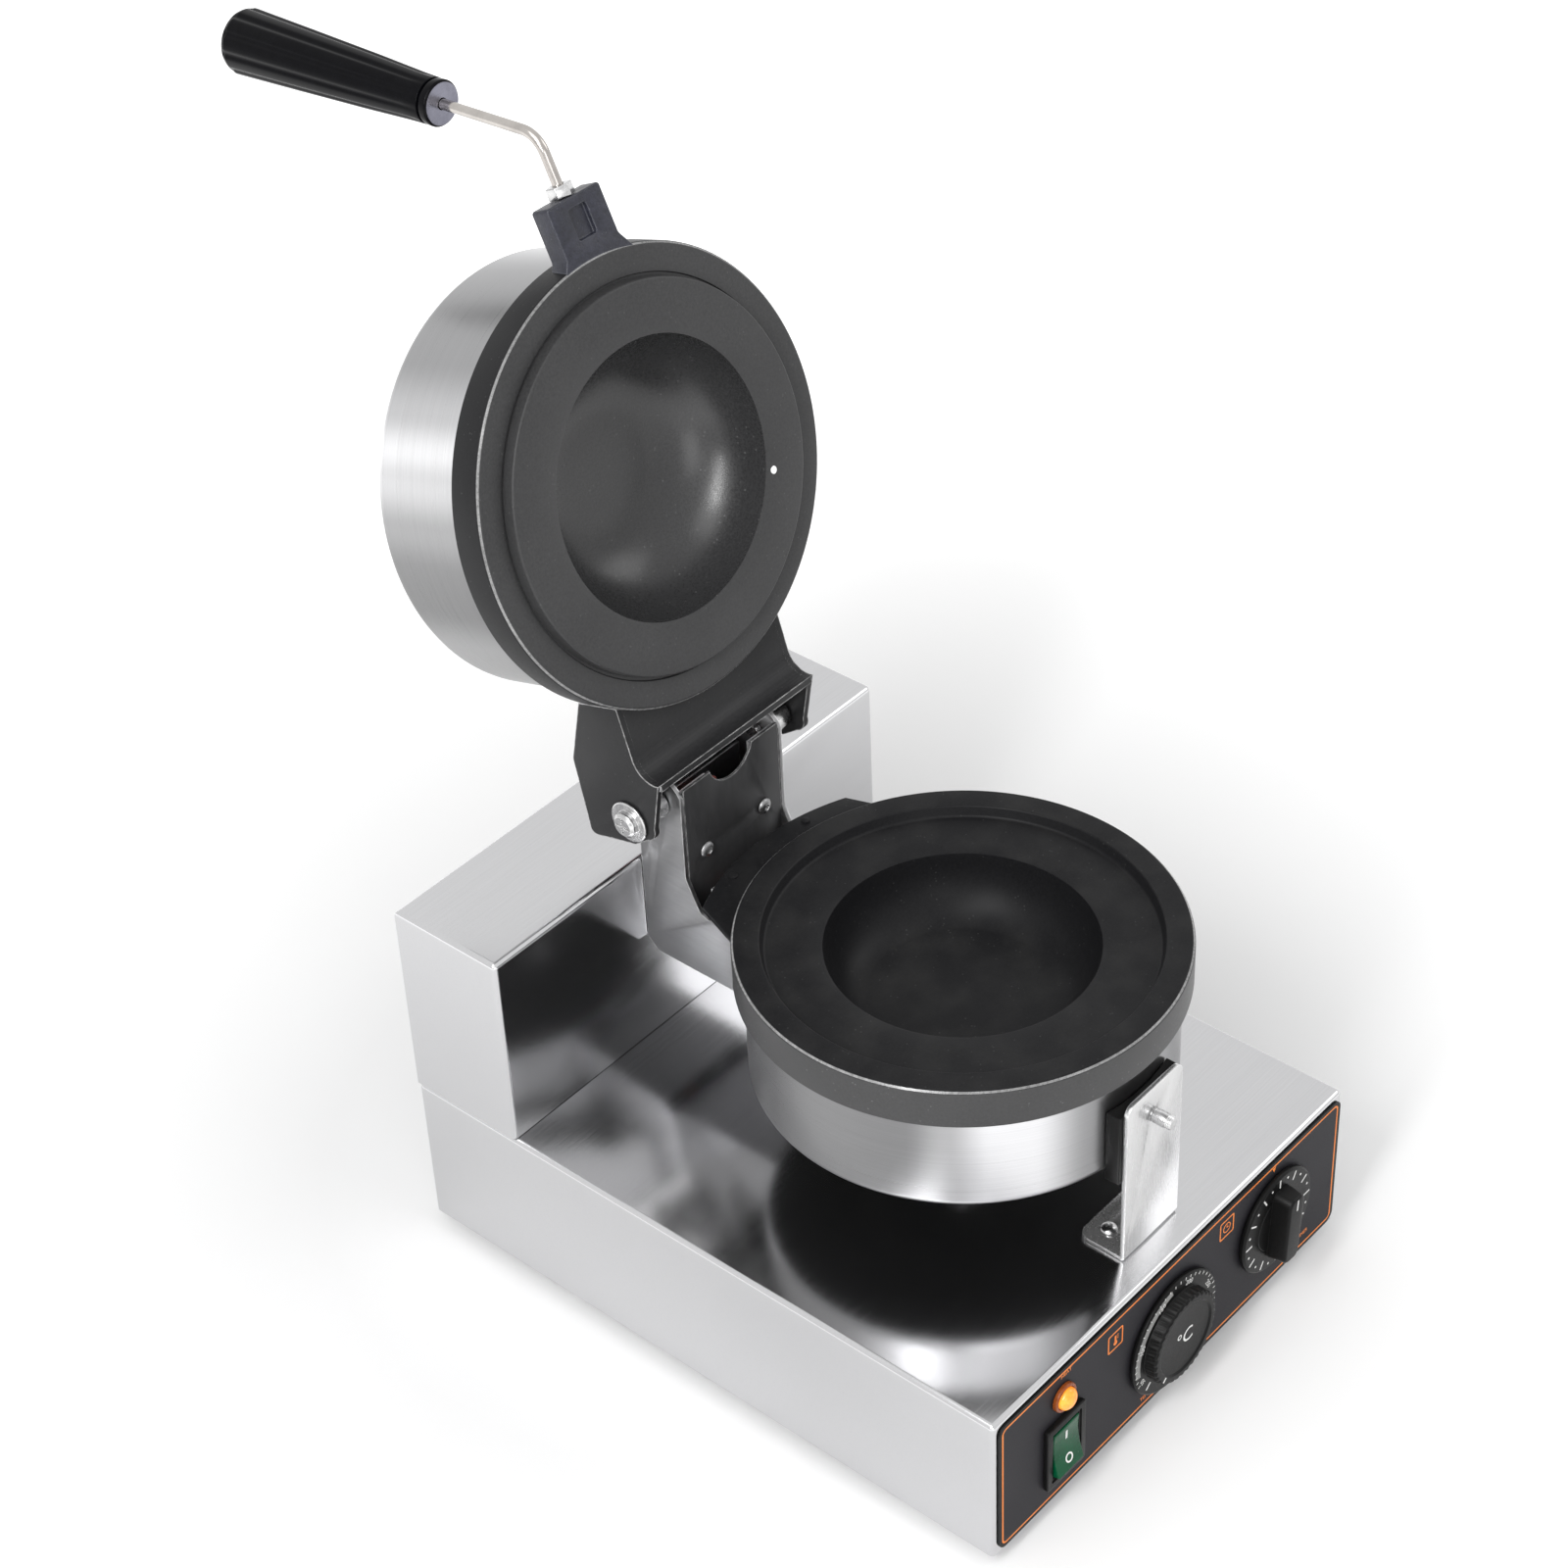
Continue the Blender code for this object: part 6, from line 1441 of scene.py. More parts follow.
    def _thermostat(self) -> None:
        """Turn the thermostat knob: a scale skirt and a cap with a knurled wall."""
        spot = on_front(*self.thermostat, self.face - 2 * GAP)
        sides = 144
        knob = Bench.turned("thermostat_dial", filleted([
            (0, -11.2, 0), (3, -11.2, 0), (3, 0, 0), (29.2, 0, 0.4), (30, 0.9, 0.4), (30, 1.9, 0.5),
            (29, 2.5, 0.4), (22.5, 2.5, 0.2), (22.3, 7.2, 0), (21.4, 8, 0.6), (18.6, 8, 0.6),
            (17.6, 7.3, 0.5), (0, 7.3, 0)]), sides)
        Bench.open(knob)
        for step in range(0, sides, 4):
            middle = math.tau * (step + 0.5) / sides
            towards = Vector((math.cos(middle), math.sin(middle)))

            def in_groove(place: Vector, _normal: Vector) -> bool:
                """Tell the vertices of one groove of the knurl.

                Args:
                    place: where the vertex is.
                    _normal: not used.

                Returns:
                    Whether it is in the groove.
                """
                flat = Vector((place.x, place.y))
                on_wall = 20.9 * MM < flat.length < 22.6 * MM and place.z > 2.9 * MM
                return on_wall and flat.normalized().dot(towards) > math.cos(math.tau * 0.8 / sides)

            Bench.select(knob, Pick.VERTS, in_groove)
            bpy.ops.transform.resize(value=(0.966, 0.966, 1), center_override=(0, 0, 0))
        Bench.put_down()
        Bench.settle(knob, spot)
        self.shop.deliver(
            knob, Body.THERMOSTAT, Slot.BLACK, BLACK_MOULDING, "thermostat_knob", smooth=30)
        tick = Bench.block("tick", millimetres(27.6, -0.16, 2.5), millimetres(29.1, 0.16, 2.57))
        scale = [Bench.ring_of(tick, "ticks", [205 - 7.5 * i for i in range(31)])]
        for i, number in enumerate(("50", "100", "150", "200", "250", "300")):
            turn = math.radians(205 - 45 * i)
            spot_on_ring = (25.5 * MM * math.cos(turn), 25.5 * MM * math.sin(turn), 2.52 * MM)
            place = Matrix.Translation(spot_on_ring) @ spun("Z", 115 - 45 * i)
            scale.append(Bench.lettering(f"number_{number}", number, 3.6 * MM, place))
        pointer = Bench.block("pointer", millimetres(18.7, -0.5, 8.0), millimetres(21.3, 0.5, 8.06))
        scale.append(Bench.ring_of(pointer, "pointer", [222]))
        dash = Bench.block("dash", millimetres(23.6, -0.45, 2.5), millimetres(27.6, 0.45, 2.56))
        scale.append(Bench.ring_of(dash, "dash", [222]))
        scale.append(Bench.lettering("unit", "°C", 11 * MM, at(0, 0, 7.33)))
        wedge = [
            *arc((0, 0), 28.6 * MM, 98, 192, 32),
            *arc((0.9 * MM, -0.9 * MM), 26.4 * MM, 192, 98, 32)]
        band = Bench.plate("scale_band", wedge, 2.5 * MM, 2.53 * MM)
        Bench.settle(band, spot)
        self.shop.deliver(band, Body.THERMOSTAT, Slot.BLACK, SCALE_INK)
        self._dial_marks("thermostat_scale", scale, spot, Body.THERMOSTAT)

    def _timer(self) -> None:
        """Turn the timer disc and set its rounded bar on it."""
        spot = on_front(*self.timer, self.face - 2 * GAP)
        disc = Bench.turned("timer_dial", filleted([
            (0, -11.2, 0), (3, -11.2, 0), (3, 0, 0), (25.2, 0, 0.4), (26, 0.9, 0.4), (26, 2.2, 0.6),
            (25, 3, 0.5), (15.2, 3, 0.2), (14.9, 2.75, 0.1), (14.6, 3, 0.1), (0, 3, 0)]), 96)
        outline = rounded_box(6.5 * MM, -19 * MM, 19 * MM, 4.2 * MM)
        bar = Bench.plate("bar", outline, 2.2 * MM, 11.9 * MM)
        Bench.open(bar)
        Bench.select(bar, Pick.FACES, lambda middle, normal: normal.z > 0.9)
        bpy.ops.transform.resize(value=(0.84, 0.95, 1), center_override=(0, 0, 11.9 * MM))
        Bench.put_down()
        Bench.soften(bar, 1.3 * MM, 5, 50)
        Bench.settle(bar, spun("Z", -self.bar_turn))
        knob = Bench.weld(disc, bar)
        Bench.settle(knob, spot)
        self.shop.deliver(knob, Body.TIMER, Slot.BLACK, BLACK_MOULDING, "timer_knob", smooth=30)
        tick = Bench.block("tick", millimetres(19.8, -0.42, 3), millimetres(24.3, 0.42, 3.05))
        marks = [Bench.ring_of(tick, "ticks", [90 + 30 * i for i in range(12)])]
        outline = arc(millimetres(22.6, 0), 0.6 * MM, 0, 330, 11)
        dot = Bench.plate("dot", outline, 3 * MM, 3.05 * MM)
        marks.append(Bench.ring_of(dot, "dots", [105 + 30 * i for i in range(12)]))
        line = Bench.block("line", millimetres(-0.45, 11, 11.88), millimetres(0.45, 17, 11.94))
        marks.append(Bench.settle(line, spun("Z", -self.bar_turn)))
        self._dial_marks("timer_scale", marks, spot, Body.TIMER)


@dataclass
class Pan:
    """One cast pan with the stainless drum behind it."""

    shop: Paintshop
    which: str
    place: Matrix
    body: Body
    # Painted reflection levels round this pan's drum.
    painted_reflection_bands: tuple[Flat, ...]
    rim: float = 96.5
    skirt: float = 19
    lid_skirt: float = 15.8
    inside: float = 93.2
    root: float = 94.85
    drum: float = 92
    drum_depth: float = 69
    drum_start: float = 11.3
    proud: float = -4.8
    port: Flat = (85, 45)

    def build(self) -> None:
        """Make the casting, the drum and the bolt head."""
        self._casting()
        self._drum()
        self._bolt()

    def profile(self) -> list[Flat]:
        """Give the casting's outline: bowl, recess or raised face, land, rim and back.

        Returns:
            The points as (radius, depth), from axis to axis.
        """
        if self.body is Body.BASE:
            bowl, skirt = bow((38, 5), (20, 28), 84, 6, 13), self.skirt
            face = [(58.3, 5.35, 0), (59.3, 5, 0), (70, 5, 0), (83, 5, 1.4), (84.5, 0, 0.9)]
        else:
            bowl, skirt = bow((23, -3.4), (36.3, 36.4), 88, 4, 28), self.lid_skirt
            face = [
                (59.3, self.proud + 0.25, 0), (60.1, self.proud, 0), (70, self.proud, 0),
                (82.2, self.proud, 1.1), (82.5, 0.9, 0), (83.7, 0.9, 0), (84.1, 0, 0.25)]
        return filleted([
            (0, 33, 0), (20, 33, 0), *bowl, *face, (95.2, 0, 1.0), (self.rim, 1.3, 1.0),
            (self.rim, skirt, 0.5), (self.inside, skirt, 0.4), (self.inside, 11, 0), (64, 11, 0),
            *bow((38, 11), (26, 28), 6, 90, 7), (9, 39, 0), (9, 45, 0), (0, 45, 0),
        ])

    def _zones(self, casting: Piece) -> None:
        """Coat the casting's face, bowl and skirt with lighter and darker copies of one coating, as
        painted light and painted shade, and the rim's rounded edge with a painted highlight.

        Args:
            casting: the casting, in the pan's frame.
        """
        upper = self.body is Body.LID
        top = (self.proud if upper else 5) * MM

        def in_bowl(middle: Vector, normal: Vector) -> bool:
            """Tell the faces of the bowl."""
            return middle.xy.length < 59.4 * MM and normal.z < 0 and middle.z > top + 0.1 * MM

        def on_skirt(middle: Vector, normal: Vector) -> bool:
            """Tell the faces of the skirt's outside."""
            return middle.xy.length > 96.3 * MM and abs(normal.z) < 0.5

        def on_edge(middle: Vector, _normal: Vector) -> bool:
            """Tell the faces of the rim's rounded edge."""
            return middle.xy.length > 95.6 * MM and 0.3 * MM < middle.z < 0.95 * MM

        # The lower pan gets a painted-shade face and bowl and a painted-light skirt; the lid gets a
        # painted-shade bowl and skirt.
        casting.data.materials.append(self.shop.coat(CASTING if upper else SHADED_CASTING))
        Bench.zone(casting, self.shop.coat(SHADED_BOWL_COAT if upper else SHADED_CASTING), in_bowl)
        Bench.zone(casting, self.shop.coat(SHADED_SKIRT if upper else LIT_SKIRT_COAT), on_skirt)
        # Painted highlight on the rim's rounded outer edge.
        Bench.zone(casting, self.shop.coat(PAINTED_HIGHLIGHT_RIM), on_edge)

    def _casting(self) -> None:
        """Turn the casting and cast its hinge lobe on."""
        casting = Bench.turned(f"{self.which}_casting", self.profile(), 160)
        self._zones(casting)
        lobe = self._lobe()
        lobe.data.materials.append(casting.data.materials[0])
        pieces = [casting, lobe]
        nodes = [f"{self.which}_plate"]
        if self.body is Body.LID:
            lug = self._lug()
            lug.data.materials.append(self.shop.coat(LUG_IRON))
            pieces.append(lug)
            nodes.append("vent_plug")
        casting = Bench.joined(f"{self.which}_casting", pieces)
        Bench.settle(casting, self.place)
        self.shop.deliver(casting, self.body, Slot.CAST, None, *nodes, smooth=40)

    def _lobe(self) -> Piece:
        """Cast the flat lobe on the hinge side.

        Returns:
            The lobe, in the pan's frame.
        """
        if self.body is Body.BASE:
            reach, half, root, low, high = 113.4, 47.5, 57, 8, 10.8
            screws, back, start, deep = LOBE_SCREWS, LOBE_SCREW_BACK, 9.4, 6
        else:
            reach, half, root, low, high = 108, 40, 40, 12.3, 18.7
            screws, back, start, deep = YOKE_SCREWS, YOKE_SCREW_BACK, 8, 15
        tip = math.degrees(math.asin(half / reach))
        foot = math.degrees(math.asin(root / self.root))
        outline = [
            *arc((0, 0), reach * MM, 90 - tip, 90 + tip, 28),
            *arc((0, 0), self.root * MM, 90 + foot, 90 - foot, 28)]
        lobe = Bench.plate("lobe", outline, low * MM, high * MM)
        Bench.carve(lobe, *(
            Bench.rod("tap", at(x, back, start), SCREW_HOLE, deep * MM, 24) for x in (-screws, screws)))
        return Bench.soften(lobe, 0.8 * MM, 3, 50)

    def _lug(self) -> Piece:
        """Cast the handle's lug with its waisted root, its pocket and its socket.

        Returns:
            The lug, in the pan's frame.
        """
        outline = filleted([
            (-15, -30, 1.5), (15, -30, 1.5), (15, -8, 4), (20, 0, 0), (-20, 0, 0), (-15, -8, 4),
        ], 5, True)
        lug = Bench.plate("lug", outline, 0, 10 * MM)
        outline = rounded_box(5 * MM, -25.5 * MM, -12.5 * MM, MM, 4)
        pocket = Bench.plate("pocket", outline, -2 * MM, 2.3 * MM)
        socket = Bench.rod("socket", along("Y", millimetres(0, -34, 6.2)), 2.6 * MM, 18 * MM, 32)
        Bench.soften(Bench.carve(lug, pocket, socket), 0.7 * MM, 3, 45)
        return Bench.settle(lug, self.place.inverted() @ LUG)

    def _drum(self) -> None:
        """Spin the drum from sheet, with its round corner and its bolt hole."""
        r, d, start = self.drum, self.drum_depth, self.drum_start
        profile = filleted([
            (r, start, 0), (r, 14, 0), (r, d, 5), (60, d, 0), (40, d, 0), (38, d - 0.5, 0.6),
            (12, d - 0.5, 0.6), (10, d, 0.4), (4.3, d, 0), (4.3, d - 1, 0), (60, d - 1.5, 0),
            (r - 1, d - 1.5, 4), (r - 1, start, 0), (r, start, 0)], 6)
        drum = Bench.turned(f"{self.which}_drum_can", profile, 160)
        back, height = self.port
        port = along("Y", millimetres(0, back, height))
        tools = [Bench.rod("port", port, (7 if self.body is Body.BASE else 3.9) * MM, 12 * MM, 32)]
        if self.body is Body.BASE:
            place = along("Y", millimetres(0, -97, height))
            tools.append(Bench.rod("bolt_hole", place, BOLT_HOLE, 12 * MM, 24))
        Bench.carve(drum, *tools)
        Bench.settle(drum, self.place)
        # The drum's steel takes this pan's painted reflections.
        finish = replace(DRUM_STEEL, painted_reflection_bands=self.painted_reflection_bands)
        drum.data.materials.append(self.shop.coat(finish, self.place, self.which))
        # Painted shade on the lower drum's downward end face.
        if self.body is Body.BASE:
            low = self.place.translation.z - (d - 0.8) * MM
            Bench.zone(
                drum, self.shop.coat(PAINTED_SHADE_UNDERSIDE),
                lambda middle, normal: normal.z < -0.7 and middle.z < low)
        self.shop.deliver(
            drum, self.body, Slot.STAINLESS, None, f"{self.which}_drum", smooth=30)

    def _bolt(self) -> None:
        """Turn and face the hexagon bolt in the middle of the drum."""
        head = Bench.rod("head", at(0, 0, 69.3), 7.5 * MM, 5.3 * MM, 6)
        Bench.soften(head, 0.6 * MM, 3)
        shank = Bench.rod("shank", at(0, 0, 37.3), 4 * MM, 33 * MM, 32)
        bolt = Bench.joined(f"{self.which}_bolt", [head, shank])
        Bench.settle(bolt, self.place)
        self.shop.deliver(bolt, self.body, Slot.ZINC, ZINC, f"{self.which}_pan_bolt")


@dataclass
class VentPlug:
    """Small steel plug that emits painted light, pressed into the raised face of the lid casting."""

    shop: Paintshop
    place: Flat = (58.76 * MM, 24.61 * MM)

    def build(self) -> None:
        """Turn the plug with a domed face."""
        profile = filleted([
            (0, -5.25, 0), (1.2, -5.2, 0.4), (1.7, -4.95, 0.1), (1.7, -4.6, 0), (1, -4.6, 0),
            (1, 1, 0), (0, 1, 0)], 3)
        plug = Bench.turned("vent_plug_head", profile, 32)
        Bench.settle(plug, UPPER_PAN @ Matrix.Translation((*self.place, 0)))
        self.shop.deliver(plug, Body.LID, Slot.STAINLESS, PAINTED_GLOW_VENT_STEEL)


@dataclass
class HingeStand:
    """Bracket on the rear box that holds the lower pan and the hinge, with its cover."""

    shop: Paintshop
    screws: Screws
    half: float = 33
    sheet: float = 2
    foot: float = 138
    shelf: float = 191.9
    back: float = 264.7
    front: float = 240
    pan: float = PAN_BACK / MM
    crown: float = 14.5
    notch: float = 14
    notch_half: float = 13.5
    cover: float = 1.2
    cover_half: float = 30.7
    cover_top: float = 236
    cover_screws: Flat = (19, 197)

    def build(self) -> None:
        """Make the bracket, its cover, the hinge bolts and the bushes."""
        self._bracket()
        self._cover()
        self._hinge()
        for side, way in SIDES:
            across, height = millimetres(*self.cover_screws)
            spot = along("-Y", (way * across, (self.front - 1.5) * MM + FRONT_WALL, height))
            self.screws.drive(f"bracket_cover_screw_{side}", spot, Body.BASE, BRACKET_STEEL)
            spot = LOWER_PAN @ at(-way * LOBE_SCREWS, LOBE_SCREW_BACK, 13.4)
            # The lobe screws take the lower casting's painted-shade colour.
            self.screws.drive(f"lobe_screw_{side}", spot, Body.BASE, SHADED_CASTING)

    def _side(self) -> list[Flat]:
        """Give the outline of one side plate as (back, height).

        Returns:
            The points, once round.
        """
        inner = self.half - self.sheet
        drum = self.pan + math.sqrt(DRUM_ROOM**2 - inner**2)
        skirt = self.pan + math.sqrt(CASTING_ROOM**2 - inner**2)
        face = self.front - self.cover
        first, last = (
            math.degrees(math.acos((edge - PIVOT_BACK) / self.crown)) for edge in (self.back, face))
        crown = bow((PIVOT_BACK, PIVOT_HEIGHT), (self.crown, self.crown), first, last, 16)
        return filleted([
            (drum, self.foot, 0), (self.back - 6, self.foot, 1.5), (self.back, self.foot + 6, 1.5),
            *crown, (face, 189, 6), (231.5, 173.4, 5), (225.5, 171.4, 1.5), (224, self.shelf, 1),
            (skirt, self.shelf, 0), (skirt, 183.7, 0), (drum, 183.7, 0)], closed=True)

    def _bracket(self) -> None:
        """Cut two side plates and weld the web, floor and lips between them."""
        outline = self._side()
        shift = Matrix.Translation((0, FRONT_WALL, 0))
        pieces = []
        for low in (-self.half, self.half - self.sheet):
            side = Bench.plate("side", outline, low * MM, (low + self.sheet) * MM)
            pieces.append(Bench.settle(side, shift @ SIDEWAYS))
        inner, back, shelf = self.half - 1, self.back, self.shelf

        def box(low: Point, high: Point) -> Piece:
            """Add a welded strip, given from the cabinet's front."""
            return Bench.settle(Bench.block("strip", millimetres(*low), millimetres(*high)), shift)

        pieces.append(box((-inner, back - 2, self.foot + 6), (inner, back, 214)))
        pieces.append(box((-inner, self.pan + DRUM_ROOM, self.foot), (inner, back - 6, self.foot + 2)))
        for way in (-1, 1):
            near, far = sorted((way * inner, way * 14))
            pieces.append(box((near, 209.8, shelf - 2), (far, 223.6, shelf)))
            pieces.append(box((near, self.front + 0.3, 188), (far, self.front + 2.3, 234)))
        bracket = Bench.weld(*pieces)
        pin = along("X", (-0.04, PIVOT.y, PIVOT.z))
        wires = along("Y", millimetres(0, 15, PORT_HEIGHT))
        tools = [
            Bench.rod("hinge_hole", pin, HINGE_HOLE * MM, 0.08, 40),
            Bench.rod("wire_hole", wires, PORT_RADIUS, 10 * MM, 40),
        ]
        across, height = self.cover_screws
        for way in (-1, 1):
            for spot in (
                along("Y", millimetres(way * across, -6, height)),
                along("Z", millimetres(way * LOBE_SCREWS, -24.65, 187)),
            ):
                tools.append(Bench.rod("hole", spot, SCREW_HOLE, 8 * MM, 24))
        Bench.soften(Bench.carve(bracket, *tools), 0.3 * MM, 2, 50)
        bracket.name = bracket.data.name = "hinge_stand"
        self.shop.deliver(bracket, Body.BASE, Slot.STEEL, BRACKET_STEEL, "hinge_bracket")

    def _cover(self) -> None:
        """Cut the front cover with its notch and its tapered foot."""
        rise = math.sqrt(self.notch**2 - self.notch_half**2)
        start = -math.degrees(math.asin(rise / self.notch))
        half, top = self.cover_half, self.cover_top
        notch = bow((0, top + rise), (self.notch, self.notch), start, -180 - start, 24)
        outline = filleted([
            (-24, 165, 1.5), (24, 165, 1.5), (half, 179, 2), (half, top, 1), *notch,
            (-half, top, 1), (-half, 179, 2)], closed=True)
        cover = Bench.plate("hinge_cover", outline, 0, self.cover * MM)
        across, height = self.cover_screws
        tools = [
            Bench.rod("hole", at(x, height, -2), SCREW_HOLE, 6 * MM, 24) for x in (-across, across)]
        Bench.soften(Bench.carve(cover, *tools), 0.25 * MM, 2, 50)
        Bench.settle(cover, on_front(0, 0, self.front * MM + FRONT_WALL))
        self.shop.deliver(cover, Body.BASE, Slot.STEEL, COVER_STEEL, "bracket_cover")

    def _hinge(self) -> None:
        """Turn the washer-head bolts and the bushes, once for both sides."""
        bolt = Bench.turned("bolt", filleted([
            (0, -22.3, 0), (3.5, -22.3, 0.3), (4, -21.5, 0.2), (4, 0, 0), (9.4, 0, 0.3),
            (9.8, 0.5, 0.3), (9.8, 1.2, 0.3), (9.2, 1.6, 0.3), (6, 1.6, 0.2), (6, 4, 0.8),
            (4.6, 5.2, 0.8), (0, 5.2, 0)]), 64)
        cross = [
            Bench.block("slot", millimetres(-x, -y, 4.3), millimetres(x, y, 6))
            for x, y in ((3.6, 0.6), (0.6, 3.6))]
        Bench.soften(Bench.carve(bolt, *cross), 0.2 * MM, 2, 50)
        bore = HINGE_HOLE
        bush = Bench.turned("bush", filleted([
            (bore, 33.3, 0), (7, 33.3, 0.5), (7, 46.7, 0.5), (bore, 46.7, 0), (bore, 33.3, 0)]), 48)
        for side, way in SIDES:
            axis = "X" if way > 0 else "-X"
            spot = along(axis, PIVOT + Vector((way * 50.3 * MM, 0, 0)))
            copy = Bench.copied(bolt, f"hinge_pin_{side}", spot)
            self.shop.deliver(copy, Body.BASE, Slot.ZINC, ZINC, f"hinge_bolt_{side}")
            copy = Bench.copied(bush, f"hinge_sleeve_{side}", along(axis, PIVOT))
            self.shop.deliver(copy, Body.BASE, Slot.ZINC, ZINC, f"hinge_bush_{side}")
        for model in (bolt, bush):
            bpy.data.objects.remove(model)


@dataclass
class FrontStand:
    """Bracket in front of the lower pan, with its spacer, bolt, nut and screws."""

    shop: Paintshop
    screws: Screws
    half: float = 19
    near: float = 13.5
    sheet: float = 2
    top: float = 174
    foot: float = 24
    floor: float = (DECK + GAP) / MM
    bolt_height: float = PORT_HEIGHT
    screws_across: float = 9
    screws_back: float = 28.5

    def build(self) -> None:
        """Make the bent bracket and what it holds."""
        self._bracket()
        self._spacer()
        self._bolt()
        for side, way in SIDES:
            place = at(way * self.screws_across, self.screws_back, self.floor + self.sheet + 0.3)
            spot = Matrix.Translation((0, FRONT_WALL, 0)) @ place
            self.screws.drive(f"front_bracket_screw_{side}", spot, Body.BASE)

    def _tab(self, name: str, low: float, high: float, start: float) -> Piece:
        """Cut one leg of the bracket, with round far corners, from a start in millimetres.

        Args:
            name: name of the piece.
            low: the leg's near end.
            high: the leg's far end.
            start: height of its lower face.

        Returns:
            The piece, lying flat.
        """
        outline = filleted([
            (-self.half, low, 0), (self.half, low, 0), (self.half, high, 5), (-self.half, high, 5),
        ], 6, True)
        return Bench.plate(name, outline, start * MM, (start + self.sheet) * MM)

    def _bracket(self) -> None:
        """Cut the upright and the foot and bend the corner between them."""
        upright = self._tab("front_tab", self.floor, self.top, 0)
        Bench.settle(upright, on_front(0, 0, (self.near + self.sheet) * MM + FRONT_WALL))
        foot = self._tab("foot_tab", self.near, self.near + self.foot, self.floor)
        Bench.settle(foot, Matrix.Translation((0, FRONT_WALL, 0)))
        bracket = Bench.weld(upright, foot)
        Bench.open(bracket)
        near, low = self.near * MM + FRONT_WALL, self.floor * MM

        def outer_corner(middle: Vector, run: Vector) -> bool:
            """Tell the long outer edge of the bend."""
            off = math.hypot(middle.y - near, middle.z - low)
            return abs(run.x) > 0.9 and off < 0.1 * MM

        Bench.select(bracket, Pick.EDGES, outer_corner)
        bpy.ops.mesh.bevel(offset=1.8 * MM, segments=5, affect="EDGES")
        bolt = along("Y", millimetres(0, -232, self.bolt_height))
        tools = [Bench.rod("hole", bolt, BOLT_HOLE, 6 * MM, 32)]
        for way in (-1, 1):
            spot = along("Z", millimetres(way * self.screws_across, -215.15, 85))
            tools.append(Bench.rod("hole", spot, SCREW_HOLE, 8 * MM, 24))
        Bench.soften(Bench.carve(bracket, *tools), 0.3 * MM, 2, 50)
        bracket.name = bracket.data.name = "front_tab"
        self.shop.deliver(bracket, Body.BASE, Slot.ZINC, TAB_ZINC, "front_bracket")

    def _spacer(self) -> None:
        """Mould the spacer, hollowed to the drum's curve."""
        low, high = millimetres(-21, -227.85, 132), millimetres(21, -215, 169)
        spacer = Bench.block("pan_spacer", low, high)
        drum = Bench.rod("hollow", at(0, -130.65, 100), DRUM_ROOM * MM, 100 * MM, 256)
        bolt = along("Y", millimetres(0, -232, self.bolt_height))
        hole = Bench.rod("hole", bolt, BOLT_HOLE, 20 * MM, 32)
        Bench.soften(Bench.carve(spacer, drum, hole), 0.6 * MM, 3, 45)
        self.shop.deliver(spacer, Body.BASE, Slot.BLACK, BLACK_MOULDING, "front_spacer")

    def _bolt(self) -> None:
        """Turn the bolt with its thread rings, and face its nut."""
        thread = []
        for i in range(12):
            thread += [(2.75, 0.5 + i * 0.8, 0), (3, 0.9 + i * 0.8, 0)]
        bolt = Bench.turned("front_pin", filleted([
            (0, 0, 0), (2.6, 0, 0.3), *thread, (3, 17.55, 0), (5.5, 17.55, 0.3), (5.5, 21.5, 0.3),
            (0, 21.5, 0)], 3), 40)
        Bench.settle(bolt, along("Y", (0, -239.45 * MM, self.bolt_height * MM)))
        self.shop.deliver(bolt, Body.BASE, Slot.ZINC, ZINC, "front_bolt")
        nut = Bench.soften(Bench.rod("front_lock", Matrix(), 7.4 * MM, 6 * MM, 6), 0.7 * MM, 3, 50)
        washer = Bench.rod("washer", Matrix.Translation((0, 0, 6 * MM)), 8.2 * MM, 0.7 * MM, 48)
        nut = Bench.joined("front_lock", [nut, Bench.soften(washer, 0.2 * MM, 2, 50)])
        Bench.carve(nut, Bench.rod("bore", at(0, 0, -1), BOLT_HOLE, 8 * MM, 32))
        Bench.settle(nut, along("Y", (0, -236.9 * MM, self.bolt_height * MM)))
        self.shop.deliver(nut, Body.BASE, Slot.ZINC, ZINC, "front_nut")


